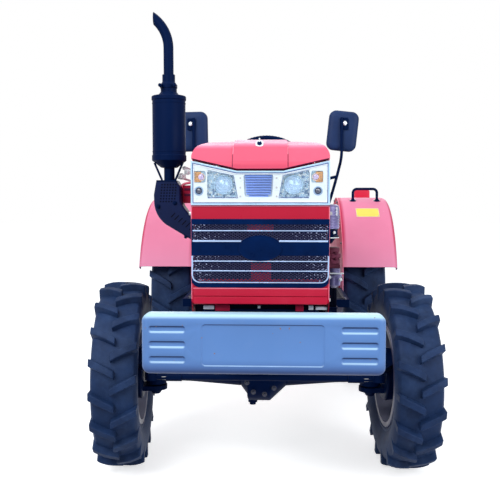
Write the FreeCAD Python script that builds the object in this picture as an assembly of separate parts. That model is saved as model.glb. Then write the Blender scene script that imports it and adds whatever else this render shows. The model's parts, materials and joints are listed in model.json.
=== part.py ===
"""Compact four-wheel-drive farm tractor, open station, built as separate named pieces.

Millimetres, +Z up, the floor at Z = 0. The front of the tractor faces -Y, and its left side is +X.
The origin is on the floor, midway between the bumper's face and the ends of the lower links.
"""
import FreeCAD
import Part

import math
import os

Vector = FreeCAD.Vector
X_AXIS = Vector(1, 0, 0)
Y_AXIS = Vector(0, 1, 0)
Z_AXIS = Vector(0, 0, 1)

# ---- driving dimensions -------------------------------------------------------------------
wheelbase = 1600.0
front_track = 1147.0
rear_track = 1105.0

front_tyre_radius = 377.5      # over the lugs
front_tyre_width = 180.0
front_seat_radius = 203.0      # bead seat of a 16 inch rim
front_lugs = 18                # lugs on each side of the tread
rear_tyre_radius = 525.0
rear_tyre_width = 241.0
rear_seat_radius = 305.0       # bead seat of a 24 inch rim
rear_lugs = 20

bumper_ahead = 650.0           # front axle to the bumper's face
hood_ahead = 350.0             # front axle to the grille's face
hood_behind = 620.0            # front axle to the hood's rear edge
hood_width = 506.0
hood_top = 1325.0
hood_bulge = 7.0               # the raised middle of the hood over its flanks
bulge_half = 92.0
hood_corner = 62.0             # radius of the hood's upper corners
sheet = 5.0                    # pressed sheet steel
lamp_bottom = 1076.0           # top of the mask, lower edge of the lamp panel
hood_gap = 5.0                 # the closed hood clears what it covers by this
grille_top = 1027.0
grille_bottom = 776.0
mask_bottom = 711.0

bumper_width = 800.0
bumper_height = 200.0
bumper_bottom = 523.0
bumper_depth = 62.0
bumper_shift = 18.0            # the guard is bolted on a little to the left
slot_length = 115.0
slot_height = 23.0
slot_pitch = 51.0
panel_half = 198.0

kingpin_x = 445.0
kingpin_radius = 18.0
steering_arm = 185.0           # kingpin to tie rod, straight ahead
tie_rod_z = 405.0
steer_at_rest = 4.0            # degrees to the left, as it is parked

fender_gap = 14.0              # side panel's outer face inboard of the rear tyre
fender_cover = 51.0            # the fender reaches past the tyre by this
fender_radius = 585.0          # about the rear wheel's centre
fender_roll = 34.0             # radius of the rolled outer edge
fender_lip = 62.0              # depth of that edge
fender_start = 20.0            # degrees above level, front end
fender_end = 152.0
platform_top = 600.0

column_tilt = 38.0             # steering column, degrees from upright
steering_wheel_radius = 190.0
column_radius = 28.0
column_length = 230.0
wheel_behind = 300.0           # hood's rear edge to the steering wheel
wheel_height = 1304.0
wheel_boss = 44.0
wheel_rim = 12.0               # half the thickness of its rim

lift_arm_length = 250.0        # cross shaft to lift rod pin
lower_link_length = 640.0
link_drop = 12.0               # degrees below level at rest
hitch_pin_radius = 11.2        # category 1 lower hitch pin, 22.4 mm
top_pin_radius = 9.65          # category 1 top pin, 19.3 mm
hitch_spread = 341.0           # half the distance between the lower hitch points
pto_radius = 17.5
pto_z = 560.0
pto_journal = 21.0
pto_clearance = 0.06
pto_cap = 30.0                 # depth of the bearing cap round the journal
running_gap = 0.3              # between a pin and its eye
seat_gap = 0.3                 # between pieces that are bolted face to face
gearbox_top = 740.0
gearbox_bottom = 440.0
gearbox_half = 118.0
axle_case_half = 160.0
axle_case_bottom = 400.0
pivot_y_behind = 120.0         # rear axle to the lower links' pins

# ---- layout that follows from the driving dimensions --------------------------------------
link_rise = math.radians(link_drop)
hitch_behind = pivot_y_behind + lower_link_length * math.cos(link_rise) + 28.0
front_axle_y = (bumper_ahead - wheelbase - hitch_behind) / 2
rear_axle_y = front_axle_y + wheelbase
front_axle_z = front_tyre_radius
rear_axle_z = rear_tyre_radius
front_wheel_x = front_track / 2
rear_wheel_x = rear_track / 2
fender_inner = rear_wheel_x - rear_tyre_width / 2 - fender_gap
fender_outer = rear_wheel_x + rear_tyre_width / 2 + fender_cover
hood_front = front_axle_y - hood_ahead
hood_rear = front_axle_y + hood_behind
hood_half = hood_width / 2


# ---- helpers ------------------------------------------------------------------------------
def box(x0, x1, y0, y1, z0, z1):
    """A block between two corners."""
    return Part.makeBox(x1 - x0, y1 - y0, z1 - z0, Vector(x0, y0, z0))


def rod(start, end, radius):
    """A round bar from start to end."""
    start, end = Vector(*start), Vector(*end)
    return Part.makeCylinder(radius, (end - start).Length, start, end - start)


def outline(points, place):
    """A flat wire through points (u, v) or (u, v, corner radius), put in space by place(u, v)."""
    count = len(points)
    edges = []
    ends = []
    for i in range(count):
        here = Vector(points[i][0], points[i][1], 0)
        radius = points[i][2] if len(points[i]) > 2 else 0
        if not radius:
            ends.append((here, here, None))
            continue
        before = Vector(points[i - 1][0], points[i - 1][1], 0) - here
        after = Vector(points[(i + 1) % count][0], points[(i + 1) % count][1], 0) - here
        half = before.getAngle(after) / 2
        reach = radius / math.tan(half)
        before.normalize()
        after.normalize()
        bisector = (before + after).normalize()
        middle = here + bisector * (radius / math.sin(half) - radius)
        ends.append((here + before * reach, here + after * reach, middle))

    def put(v):
        return place(v.x, v.y)

    for i in range(count):
        start, end, middle = ends[i]
        if middle is not None:
            edges.append(Part.Arc(put(start), put(middle), put(end)).toShape())
        following = ends[(i + 1) % count][0]
        if (following - end).Length > 1e-6:
            edges.append(Part.LineSegment(put(end), put(following)).toShape())
    return Part.Wire(edges)


def prism_x(points, x0, x1):
    """A profile in the YZ plane, drawn out along X."""
    wire = outline(points, lambda u, v: Vector(x0, u, v))
    return Part.Face(wire).extrude(Vector(x1 - x0, 0, 0))


def prism_y(points, y0, y1):
    """A profile in the XZ plane, drawn out along Y."""
    wire = outline(points, lambda u, v: Vector(u, y0, v))
    return Part.Face(wire).extrude(Vector(0, y1 - y0, 0))


def prism_z(points, z0, z1):
    """A profile in the XY plane, drawn out along Z."""
    wire = outline(points, lambda u, v: Vector(u, v, z0))
    return Part.Face(wire).extrude(Vector(0, 0, z1 - z0))


def rectangle(u0, u1, v0, v1, radius=0):
    """Corner points of a rectangle with rounded corners, for outline()."""
    return [(u0, v0, radius), (u1, v0, radius), (u1, v1, radius), (u0, v1, radius)]


def turned(points, centre, axis=X_AXIS):
    """A profile of (distance along axis, radius) pairs, turned about the axis through centre."""
    across = Z_AXIS if abs(axis.z) < 0.9 else X_AXIS
    across = (across - axis * across.dot(axis)).normalize()
    wire = outline(points, lambda u, v: centre + axis * u + across * v)
    return Part.Face(wire).revolve(centre, axis, 360)


def bent_bar(points, radius, bend):
    """A round bar along straight runs that are joined by tangent arcs of radius bend."""
    stations = [Vector(*p) for p in points]
    edges = []
    start = stations[0]
    for before, here, after in zip(stations, stations[1:], stations[2:]):
        back = (before - here).normalize()
        ahead = (after - here).normalize()
        half = back.getAngle(ahead) / 2
        reach = bend / math.tan(half)
        middle = here + (back + ahead).normalize() * (bend / math.sin(half) - bend)
        edges.append(Part.LineSegment(start, here + back * reach).toShape())
        edges.append(Part.Arc(here + back * reach, middle, here + ahead * reach).toShape())
        start = here + ahead * reach
    edges.append(Part.LineSegment(start, stations[-1]).toShape())
    path = Part.Wire(edges)
    first = (stations[1] - stations[0]).normalize()
    section = Part.Wire([Part.Circle(stations[0], first, radius).toShape()])
    return path.makePipeShell([section], True, True)


def polyhedron(faces):
    """A solid from flat faces, each given by its corners."""
    made = [Part.Face(Part.makePolygon(corners + [corners[0]])) for corners in faces]
    shell = Part.makeShell(made)
    shell.sewShape()
    solid = Part.makeSolid(shell)
    if solid.Volume < 0:
        solid.reverse()
    return solid


def mirrored(shape):
    """The same piece on the other side of the tractor."""
    return shape.mirror(Vector(0, 0, 0), X_AXIS)


def both_sides(shape):
    """The piece and its mirror image, as one shape."""
    return [shape, mirrored(shape)]


def fused(shapes):
    """One solid from pieces that overlap."""
    return shapes[0].multiFuse(shapes[1:]).removeSplitter()


def write(name, *shapes):
    """Writes one sub-part: each shape is one or more closed solids."""
    solids = [solid for shape in shapes for solid in shape.Solids]
    made = solids[0] if len(solids) == 1 else Part.makeCompound(solids)
    made.exportStep("parts/" + name + ".step")


# ---- wheels -------------------------------------------------------------------------------
def tread_lug(centre, outer_radius, half_width, lug, side, angle):
    """One bar of the tread: a wedge from just past the centre line to the shoulder."""
    radial = Vector(0, -math.cos(angle), math.sin(angle))
    ahead = Vector(0, -math.sin(angle), -math.cos(angle))
    nose_x = -side * lug["past_centre"]
    end_x = side * half_width
    half_bar = lug["bar"] / 2
    lead = lug["lead"] / 2
    top_nose = math.sqrt(outer_radius ** 2 - (lead + half_bar) ** 2)
    top_end = outer_radius - lug["crown_drop"]
    foot = outer_radius - lug["foot"]

    def corner(x, t, r):
        return centre + X_AXIS * x + ahead * t + radial * r

    nose = [corner(nose_x, lead + half_bar * s, r) for s, r in
            ((-1, foot), (1, foot), (1, top_nose), (-1, top_nose))]
    end = [corner(end_x, -lead + half_bar * s, r) for s, r in
           ((-1, foot), (1, foot), (1, top_end), (-1, top_end))]
    sides = [[nose[i], nose[(i + 1) % 4], end[(i + 1) % 4], end[i]] for i in range(4)]
    return polyhedron([nose, end] + sides)


def tyre(centre, radius, width, seat, bead, lug, lugs):
    """A lugged drive tyre with a flat-sided carcass, solid down to the rim it sits on."""
    facets = 2 * lugs
    step = 2 * math.pi / facets
    crown = radius - lug["height"]
    profile = [(bead, seat / math.cos(step / 2) + running_gap),
               (width / 2, lug["side_radius"]),
               (lug["shoulder"], crown - lug["shoulder_drop"]),
               (lug["shoulder"] * 0.45, crown)]
    profile = profile + [(-x, r) for x, r in reversed(profile)]
    rings = []
    for i in range(facets):
        angle = (i + 0.5) * step
        radial = Vector(0, -math.cos(angle), math.sin(angle))
        rings.append([centre + X_AXIS * x + radial * r for x, r in profile])
    faces = []
    for i in range(facets):
        here, following = rings[i], rings[(i + 1) % facets]
        for k in range(len(profile)):
            n = (k + 1) % len(profile)
            faces.append([here[k], here[n], following[n], following[k]])
    carcass = polyhedron(faces)
    bars = []
    for i in range(lugs):
        for side in (1, -1):
            angle = (2 * i + (0.5 if side > 0 else -0.5)) * step
            bars.append(tread_lug(centre, radius, width / 2, lug, side, angle))
    return carcass.multiFuse(bars)


front_lug = {"height": 27.0, "bar": 29.0, "lead": 50.0, "past_centre": 8.0, "crown_drop": 13.0,
             "foot": 74.0, "side_radius": 292.0, "shoulder": 77.0, "shoulder_drop": 14.0}
rear_lug = {"height": 31.0, "bar": 36.0, "lead": 80.0, "past_centre": 10.0, "crown_drop": 18.0,
            "foot": 96.0, "side_radius": 420.0, "shoulder": 104.0, "shoulder_drop": 20.0}
front_bead = 62.0
rear_bead = 98.0
flange_gap = 5.0               # bead edge to rim flange
flange_width = 7.0
flange_height = 11.0
rim_wall = 8.0


def rim(centre, side, seat, bead, disc_x, hub_radius, hub_face, holes, hole_radius):
    """A drop-centre rim with its dished disc: disc_x and hub_face are measured outboard."""
    out = X_AXIS * side
    edge = bead + flange_gap + flange_width
    barrel = [(-edge, seat - rim_wall), (edge, seat - rim_wall), (edge, seat + flange_height, 3),
              (edge - flange_width, seat + flange_height, 3), (edge - flange_width, seat),
              (flange_width - edge, seat), (flange_width - edge, seat + flange_height, 3),
              (-edge, seat + flange_height, 3)]
    well = seat - rim_wall
    dish = [(hub_face, 30), (hub_face + rim_wall, 30), (hub_face + rim_wall, hub_radius, 12),
            (disc_x + rim_wall, well - 48, 14), (disc_x + rim_wall, well + 1), (disc_x, well + 1),
            (disc_x, well - 48, 14), (hub_face, hub_radius, 12)]
    made = turned(barrel, centre, out).fuse(turned(dish, centre, out))
    ring = (hub_radius + well - 48) / 2 + 8
    for i in range(holes):
        angle = 2 * math.pi * i / holes
        at = centre + Vector(0, math.cos(angle), math.sin(angle)) * ring
        start = at + out * (min(disc_x, hub_face) - 20)
        made = made.cut(Part.makeCylinder(hole_radius, abs(disc_x - hub_face) + 60, start, out))
    return made.removeSplitter()


def wheel_hub(centre, side, inner, face, radius, cap_radius, cap_length, stub_radius):
    """Hub flange with its cap outboard and, inboard, the half shaft that carries it."""
    profile = [(inner - stub_length, 0), (face + cap_length, 0),
               (face + cap_length, cap_radius, 8), (face + rim_wall - 1, cap_radius),
               (face + 1, radius), (inner, radius), (inner, stub_radius),
               (inner - stub_length, stub_radius)]
    return turned(profile, centre, X_AXIS * side)


front_disc_x = 26.0            # outboard of the wheel's middle plane
front_hub_face = 14.0
front_hub_radius = 92.0
rear_disc_x = 20.0
rear_hub_face = -42.0
rear_hub_radius = 118.0
front_hub_flange = 16.0
rear_hub_flange = 18.0
front_stub_radius = 24.0
rear_stub_radius = 30.0
stub_length = 58.0
hub_gap = 6.0                  # wheel hub to its carrier


def steered(shape, side):
    """A front wheel's piece, turned about its kingpin to the parked angle."""
    turned_shape = shape.copy()
    turned_shape.rotate(Vector(side * kingpin_x, front_axle_y, 0), Z_AXIS, steer_at_rest)
    return turned_shape


def make_wheels():
    """Tyres, and rims with their hubs."""
    for side, name in ((1, "left"), (-1, "right")):
        front = Vector(side * front_wheel_x, front_axle_y, front_axle_z)
        rear = Vector(side * rear_wheel_x, rear_axle_y, rear_axle_z)
        front_tyre = tyre(front, front_tyre_radius, front_tyre_width, front_seat_radius,
                          front_bead, front_lug, front_lugs)
        write("front_tyre_" + name, steered(front_tyre, side))
        write("rear_tyre_" + name, tyre(rear, rear_tyre_radius, rear_tyre_width,
                                        rear_seat_radius, rear_bead, rear_lug, rear_lugs))
        front_hub = wheel_hub(front, side, front_hub_face - front_hub_flange, front_hub_face,
                              84, 48, 52, front_stub_radius)
        rear_hub = wheel_hub(rear, side, rear_hub_face - rear_hub_flange, rear_hub_face,
                             108, 62, 46, rear_stub_radius)
        front_rim = rim(front, side, front_seat_radius, front_bead, front_disc_x,
                        front_hub_radius, front_hub_face, 6, 17)
        rear_rim = rim(rear, side, rear_seat_radius, rear_bead, rear_disc_x,
                       rear_hub_radius, rear_hub_face, 8, 24)
        write("front_rim_" + name, steered(fused([front_rim, front_hub]), side))
        write("rear_rim_" + name, fused([rear_rim, rear_hub]))


# ---- front axle and steering --------------------------------------------------------------
kingpin_tube_radius = 42.0
kingpin_tube_bottom = 332.0
kingpin_tube_top = 463.0
yoke_gap = 6.0
yoke_plate = 18.0
pin_depth = 40.0
beam_z = front_axle_z + 8.0
axle_case_radius = 120.0
drain_x = -40.0                # drain plug under the case
drain_radius = 19.0
pinion_reach = 168.0           # axle centre to the end of the pinion housing
hanger_z = 545.0               # pin that the axle hangs from
hanger_pin = 20.0
hanger_half = 92.0
hanger_ear = 20.0
tie_rod_radius = 15.0
tie_rod_drop = 25.0            # steering arm down to the tie rod
tie_rod_eye = 26.0


def make_front_axle():
    """Live axle: a central differential case, tapered arms and a kingpin tube at each end."""
    centre = Vector(0, front_axle_y, beam_z)
    case = turned([(-104, 0), (122, 0), (112, 46, 12), (32, axle_case_radius, 12),
                   (-60, axle_case_radius, 10), (-60, 96, 12), (-98, 46, 12)], centre)
    drain = Vector(drain_x, front_axle_y, beam_z - axle_case_radius)
    boss = rod(drain - Z_AXIS * 10, drain + Z_AXIS * 14, drain_radius)
    plug = rod(drain - Z_AXIS * 20, drain, drain_radius - 6)
    nose = turned([(-20, 0), (pinion_reach, 0), (pinion_reach, 46, 8), (60, 88, 20), (-20, 88)],
                  centre, Y_AXIS)
    pieces = [case, nose, boss, plug]
    # ears on the case, which hang the axle from the frame by a lengthwise pin
    for y in (front_axle_y - hanger_half - hanger_ear, front_axle_y + hanger_half):
        pieces.append(prism_y([(-62, beam_z + 10), (62, beam_z + 10), (34, hanger_z, 10),
                               (34, hanger_z + 30, 16), (-34, hanger_z + 30, 16),
                               (-34, hanger_z, 10)], y, y + hanger_ear))
    pieces.append(rod((0, front_axle_y - hanger_half - 1, hanger_z),
                      (0, front_axle_y + hanger_half + 1, hanger_z), hanger_pin))
    for side in (1, -1):
        arm = turned([(90, 0), (kingpin_x, 0), (kingpin_x, 40), (300, 44, 40), (90, 60)],
                     centre, X_AXIS * side)
        tube = rod((side * kingpin_x, front_axle_y, kingpin_tube_bottom),
                   (side * kingpin_x, front_axle_y, kingpin_tube_top), kingpin_tube_radius)
        pieces += [arm, tube]
    axle = fused(pieces)
    for side in (1, -1):
        for z0, z1 in ((kingpin_tube_bottom - 1, kingpin_tube_bottom + pin_depth + 3),
                       (kingpin_tube_top - pin_depth - 3, kingpin_tube_top + 1)):
            axle = axle.cut(rod((side * kingpin_x, front_axle_y, z0),
                                (side * kingpin_x, front_axle_y, z1),
                                kingpin_radius + running_gap))
    write("front_axle", axle)


def knuckle(side):
    """Steered hub carrier: a yoke round the kingpin tube, the hub case and the steering arm."""
    x = side * kingpin_x
    y = front_axle_y
    low_plate_top = kingpin_tube_bottom - yoke_gap
    high_plate_bottom = kingpin_tube_top + yoke_gap
    hub_inner = kingpin_x + kingpin_tube_radius + 8
    hub_outer = front_wheel_x + front_hub_face - front_hub_flange - hub_gap
    arm_z = tie_rod_z + tie_rod_drop
    centre = Vector(0, y, front_axle_z)
    case = turned([(hub_inner, 0), (hub_outer, 0), (hub_outer, 78, 6), (hub_outer - 26, 104, 12),
                   (hub_inner, 108, 8)], centre, X_AXIS * side)
    pieces = [case]
    for z0, pin0, pin1 in ((low_plate_top - yoke_plate, low_plate_top - 2,
                            kingpin_tube_bottom + pin_depth),
                           (high_plate_bottom, kingpin_tube_top - pin_depth,
                            high_plate_bottom + 2)):
        u0, u1 = sorted((x, side * (hub_inner + 16)))
        plate = box(u0, u1, y - 46, y + 46, z0, z0 + yoke_plate)
        plate = plate.fuse(rod((x, y, z0), (x, y, z0 + yoke_plate), 46))
        pieces += [plate, rod((x, y, pin0), (x, y, pin1), kingpin_radius)]
    cover = Part.makeCone(16, 30, 20, Vector(x, y, low_plate_top - yoke_plate - 20))
    pieces.append(cover)
    # steering arm: a flat bar in front, its eye in line with the kingpin
    arm_y = y - steering_arm
    arm = prism_z([(side * (hub_inner + 2), y - 60), (side * (hub_inner + 28), y - 60),
                   (side * (hub_inner + 28), y - 92, 16), (x + side * 20, arm_y),
                   (x - side * 20, arm_y), (x - side * 12, arm_y + 38, 10),
                   (side * (hub_inner + 2), y - 84, 10)],
                  arm_z - 9, arm_z + 9)
    eye = rod((x, arm_y, arm_z - 9), (x, arm_y, arm_z + 9), 22)
    stud = rod((x, arm_y, tie_rod_z - 15), (x, arm_y, arm_z), 9)
    pieces += [arm, eye, stud]
    bore_end = hub_outer - stub_length + hub_gap - 4
    return fused(pieces).cut(rod((side * bore_end, y, front_axle_z),
                                 (side * (hub_outer + 1), y, front_axle_z),
                                 front_stub_radius + running_gap))


def make_steering():
    """Both knuckles and the tie rod in front of the axle, at the parked angle."""
    for side, name in ((1, "left"), (-1, "right")):
        write("knuckle_" + name, steered(knuckle(side), side))
    y = front_axle_y - steering_arm
    z = tie_rod_z
    body = rod((-kingpin_x, y, z), (kingpin_x, y, z), tie_rod_radius)
    pieces = [body]
    for side in (1, -1):
        x = side * kingpin_x
        pieces.append(rod((x, y, z - 14), (x, y, z + 14), tie_rod_eye))
        pieces.append(rod((x - side * 60, y, z), (x - side * 120, y, z), tie_rod_radius + 5))
    made = fused(pieces)
    for side in (1, -1):
        x = side * kingpin_x
        made = made.cut(rod((x, y, z - 20), (x, y, z + 20), 9 + running_gap))
    angle = math.radians(steer_at_rest)
    made.translate(Vector(math.sin(angle), 1 - math.cos(angle), 0) * steering_arm)
    write("tie_rod", made)


# ---- front frame, bumper ------------------------------------------------------------------
rail_outer = 175.0
rail_inner = 160.0
rail_bottom = 535.0
rail_top = 640.0
frame_front = hood_front - 96.0
engine_front_y = front_axle_y - 120.0
engine_rear_y = front_axle_y + 470.0
bumper_front = front_axle_y - bumper_ahead


def make_front_frame():
    """Two side plates from the engine forward, cross plates, and the block the axle hangs from."""
    y0 = frame_front
    y1 = front_axle_y + 300
    plate = prism_x([(y0, rail_bottom + 20, 12), (front_axle_y - 190, rail_bottom, 30),
                     (y1, rail_bottom, 10), (y1, rail_top, 10), (y0, rail_top, 12)],
                    rail_inner, rail_outer)
    pieces = both_sides(plate)
    pieces.append(box(-rail_outer, rail_outer, y0, y0 + 16, rail_bottom + 20, rail_top))
    pieces.append(box(-rail_outer, rail_outer, y0, hood_front + 190, rail_top - 14, rail_top))
    boss_half = hanger_half - 2
    saddle = prism_y([(-rail_inner - 1, rail_top), (-rail_inner - 1, rail_top - 60),
                      (-80, rail_top - 60, 20), (-36, hanger_z, 10), (-36, hanger_z - 36, 34),
                      (36, hanger_z - 36, 34), (36, hanger_z, 10), (80, rail_top - 60, 20),
                      (rail_inner + 1, rail_top - 60), (rail_inner + 1, rail_top)],
                     front_axle_y - boss_half, front_axle_y + boss_half)
    pieces.append(saddle)
    frame = fused(pieces)
    frame = frame.cut(rod((0, front_axle_y - 200, hanger_z), (0, front_axle_y + 200, hanger_z),
                          hanger_pin + running_gap))
    # pads that the engine's sides are bolted to
    pads = [box(engine_half + seat_gap, rail_inner + 1, y1 - 150, y1 - 40, rail_bottom + 20,
                rail_top - 10)]
    pads.append(mirrored(pads[0]))
    write("front_frame", fused([frame] + pads))


def make_bumper():
    """Pressed guard: a shallow tray with rounded edges, open behind, on two arms."""
    half = bumper_width / 2
    top = bumper_bottom + bumper_height
    back = bumper_front + bumper_depth
    outer = prism_y(rectangle(-half, half, bumper_bottom, top, 26), bumper_front, back)
    rim_edges = [e for e in outer.Edges if abs(e.BoundBox.YMax - bumper_front) < 0.01
                 and abs(e.BoundBox.YMin - bumper_front) < 0.01]
    outer = outer.makeFillet(22, rim_edges)
    inner = prism_y(rectangle(-half + sheet, half - sheet, bumper_bottom + sheet, top - sheet, 21),
                    bumper_front + sheet + 7, back + 1)
    tray = outer.cut(inner)
    # three pressed slots at each end and a shallow panel between them
    middle = bumper_bottom + bumper_height / 2
    for side in (1, -1):
        x0, x1 = sorted((side * (half - 26), side * (half - 26 - slot_length)))
        for i in (-1, 0, 1):
            z = middle + i * slot_pitch
            tray = tray.cut(prism_y(rectangle(x0, x1, z - slot_height / 2, z + slot_height / 2, 9),
                                    bumper_front - 1, bumper_front + sheet))
    tray = tray.cut(prism_y(rectangle(-panel_half, panel_half, middle - 74, middle + 60, 8),
                            bumper_front - 1, bumper_front + 4))
    write("front_bumper", tray.translated(Vector(bumper_shift, 0, 0)))
    arm_y0 = frame_front
    arms = []
    for side in (1, -1):
        x0, x1 = sorted((side * 130, side * 142))
        arms.append(prism_x([(bumper_front + sheet + 7.3, bumper_bottom + 40),
                             (arm_y0 - seat_gap, rail_bottom + 24), (arm_y0 - seat_gap, rail_top - 4),
                             (bumper_front + sheet + 7.3, top - 50)], x0, x1))
    write("bumper_arms", *arms)


# ---- front mask: red surround, grille and lamp panel ---------------------------------------
mask_depth = 176.0
v_side_z = 1243.0              # the hood's front edge at the corners
v_middle_z = 1206.0            # and across the middle
v_half = 84.0
vent_half = 45.0               # louvred recess between the lamps
vent_flare = 5.0               # wider by this at its head, each side
mask_wall = 6.0


def make_front_mask():
    """Red steel surround: side walls, the band under the lamps and the panel under the grille."""
    shell = prism_z([(-hood_half, hood_front, 16), (hood_half, hood_front, 16),
                     (hood_half, hood_front + mask_depth), (-hood_half, hood_front + mask_depth)],
                    mask_bottom, lamp_bottom)
    inside = prism_z([(-hood_half + mask_wall, hood_front + mask_wall, 10),
                      (hood_half - mask_wall, hood_front + mask_wall, 10),
                      (hood_half - mask_wall, hood_front + mask_depth + 1),
                      (-hood_half + mask_wall, hood_front + mask_depth + 1)],
                     mask_bottom - 1, lamp_bottom + 1)
    window = prism_y([(-grille_half, grille_bottom, grille_corner),
                      (grille_half, grille_bottom, grille_corner),
                      (grille_half, grille_top), (-grille_half, grille_top)],
                     hood_front - 1, hood_front + 40)
    made = shell.cut(inside).cut(window)
    # feet on the front frame
    for side in (1, -1):
        x0, x1 = sorted((side * 109, side * 160))
        made = made.fuse(box(x0, x1, hood_front + mask_wall - 1, hood_front + 45,
                             rail_top + seat_gap, mask_bottom + 14))
    write("front_mask", made.removeSplitter())


grille_half = hood_half - 10.0
grille_corner = 30.0
grille_bars = (980.0, 874.0, 838.0)
band_z = 920.0                 # middle band of the grille
band_half = 27.0
oval_half = 80.0
oval_rise = 47.0


def grille_outline(inset, foot, head, corner=grille_corner):
    """The grille's outline with rounded lower corners, moved in by inset, foot and head."""
    half = grille_half - inset
    return [(-half, grille_bottom + foot, corner), (half, grille_bottom + foot, corner),
            (half, grille_top - head), (-half, grille_top - head)]


def make_grille():
    """Black grille: a frame, cross bars, a wide middle band with a blank oval, and the mesh."""
    y0 = hood_front + 2
    y1 = y0 + 20
    gap = seat_gap
    outer = prism_y(grille_outline(gap, gap, gap), y0, y1)
    pieces = [outer.cut(prism_y(grille_outline(16, 22, 20), y0 - 1, y1 + 1))]
    bar_half = grille_half - 10
    for z in grille_bars:
        pieces.append(box(-bar_half, bar_half, y0, y1 - 6, z - 4, z + 4))
    pieces.append(box(-bar_half, bar_half, y0, y1 - 6, band_z - band_half, band_z + band_half))
    front = Vector(0, y0 - 5, band_z)
    oval = Part.Face(Part.Wire([Part.Ellipse(front, oval_half, oval_rise).toShape()]))
    oval.rotate(front, X_AXIS, 90)
    pieces.append(oval.extrude(Vector(0, 22, 0)))
    write("grille", fused(pieces))
    write("grille_mesh", prism_y(grille_outline(gap, gap, gap), y1 + gap, y1 + 4))


def make_lamp_panel():
    """Bright panel whose top edge follows the hood's V, with lamp bays and a louvred centre."""
    y0 = hood_front - 4
    y1 = hood_front + 46
    foot = lamp_bottom + seat_gap
    outline_points = [(-hood_half + 1, foot, 5), (hood_half - 1, foot, 5),
                      (hood_half - 1, v_side_z - 4, 5), (v_half, v_middle_z - 4),
                      (-v_half, v_middle_z - 4), (-hood_half + 1, v_side_z - 4, 5)]
    panel = prism_y(outline_points, y0, y1)
    back = prism_y([(-hood_half + 9, lamp_bottom + 9), (hood_half - 9, lamp_bottom + 9),
                    (hood_half - 9, v_side_z - 14), (v_half, v_middle_z - 13),
                    (-v_half, v_middle_z - 13), (-hood_half + 9, v_side_z - 14)],
                   y0 + 28, y1 + 1)
    panel = panel.cut(back)
    lenses = []
    ambers = []
    for side in (1, -1):
        bay = [(side * 98, lamp_bottom + 26, 8), (side * 196, lamp_bottom + 26, 8),
               (side * 196, v_side_z - 26, 8), (side * 108, v_middle_z - 12, 8)]
        if side < 0:
            bay.reverse()
        cut = prism_y(bay, y0 - 1, y0 + 20)
        panel = panel.cut(cut)
        lens = prism_y(bay, y0 + 1, y0 + 19.7)
        lenses.append(lens)
        x0, x1 = sorted((side * 206, side * 240))
        turn = rectangle(x0, x1, lamp_bottom + 80, v_side_z - 18, 7)
        panel = panel.cut(prism_y(turn, y0 - 1, y0 + 16))
        ambers.append(prism_y(turn, y0, y0 + 15.7))
        panel = panel.cut(rod((side * 222, y0 - 1, lamp_bottom + 52),
                              (side * 222, y0 + 14, lamp_bottom + 52), 13))
    head = vent_half + vent_flare
    vent = prism_y([(-vent_half, lamp_bottom + 30, 14), (vent_half, lamp_bottom + 30, 14),
                    (head, v_middle_z - 20, 3), (-head, v_middle_z - 20, 3)], y0 - 1, y0 + 12)
    panel = panel.cut(vent)
    write("lamp_panel", panel)
    write("headlamp_lenses", *lenses)
    write("turn_lenses", *ambers)


# ---- hood and cowl ------------------------------------------------------------------------
nose_crease = 24.0             # the crease over the nose lies this far below the top
nose_run = 62.0                # and this far behind the hood's front edge
crown_run = 165.0              # the top is level from here back
nose_corner = 34.0             # upright corners of the nose, seen from above
shoulder_drop = 9.0            # the top falls this much from the middle to the flanks
hinge_x = 160.0
hinge_y = hood_rear + 6.0
hinge_z = hood_top - 26.0
hinge_pin = 6.0


def flank_section(inset, base):
    """Across the hood: upright flanks, rounded shoulders and a gentle crown."""
    half = hood_half - inset
    level = hood_top - hood_bulge - inset
    shoulder = (half, level - shoulder_drop, hood_corner - inset)
    return [(-half, base), (half, base), shoulder, (bulge_half, level, 30),
            (-bulge_half, level, 30), (-half, level - shoulder_drop, hood_corner - inset)]


def bulge_section(inset, base):
    """Across the raised middle, whose edges lean in."""
    half = bulge_half - inset
    wide = half + hood_bulge
    foot = hood_top - hood_bulge - inset
    return [(-wide, base), (wide, base), (wide, foot), (half, hood_top - inset),
            (-half, hood_top - inset), (-wide, foot)]


def hood_lump(section, inset, base, level, proud):
    """A cross-section carried along the hood's side view, with round corners at the nose."""
    front = hood_front - 6 - proud + inset
    rear = hood_rear + inset
    half = hood_half - inset
    across = prism_y(section(inset, base), front, rear)
    along = prism_x([(front, base), (front, v_middle_z + 20 + proud - inset, 26),
                     (front + nose_run, level - nose_crease, 48), (front + crown_run, level, 90),
                     (rear, level), (rear, base)], -half, half)
    plan = prism_z([(-half, front, nose_corner), (half, front, nose_corner), (half, rear),
                    (-half, rear)], base, level)
    return across.common(along).common(plan)


def hood_shape(inset, base):
    """Flanks and the raised middle together, moved in by inset."""
    level = hood_top - hood_bulge - inset
    flanks = hood_lump(flank_section, inset, base, level, 0)
    middle = hood_lump(bulge_section, inset, base, hood_top - inset, hood_bulge / 2)
    return flanks.fuse(middle)


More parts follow.
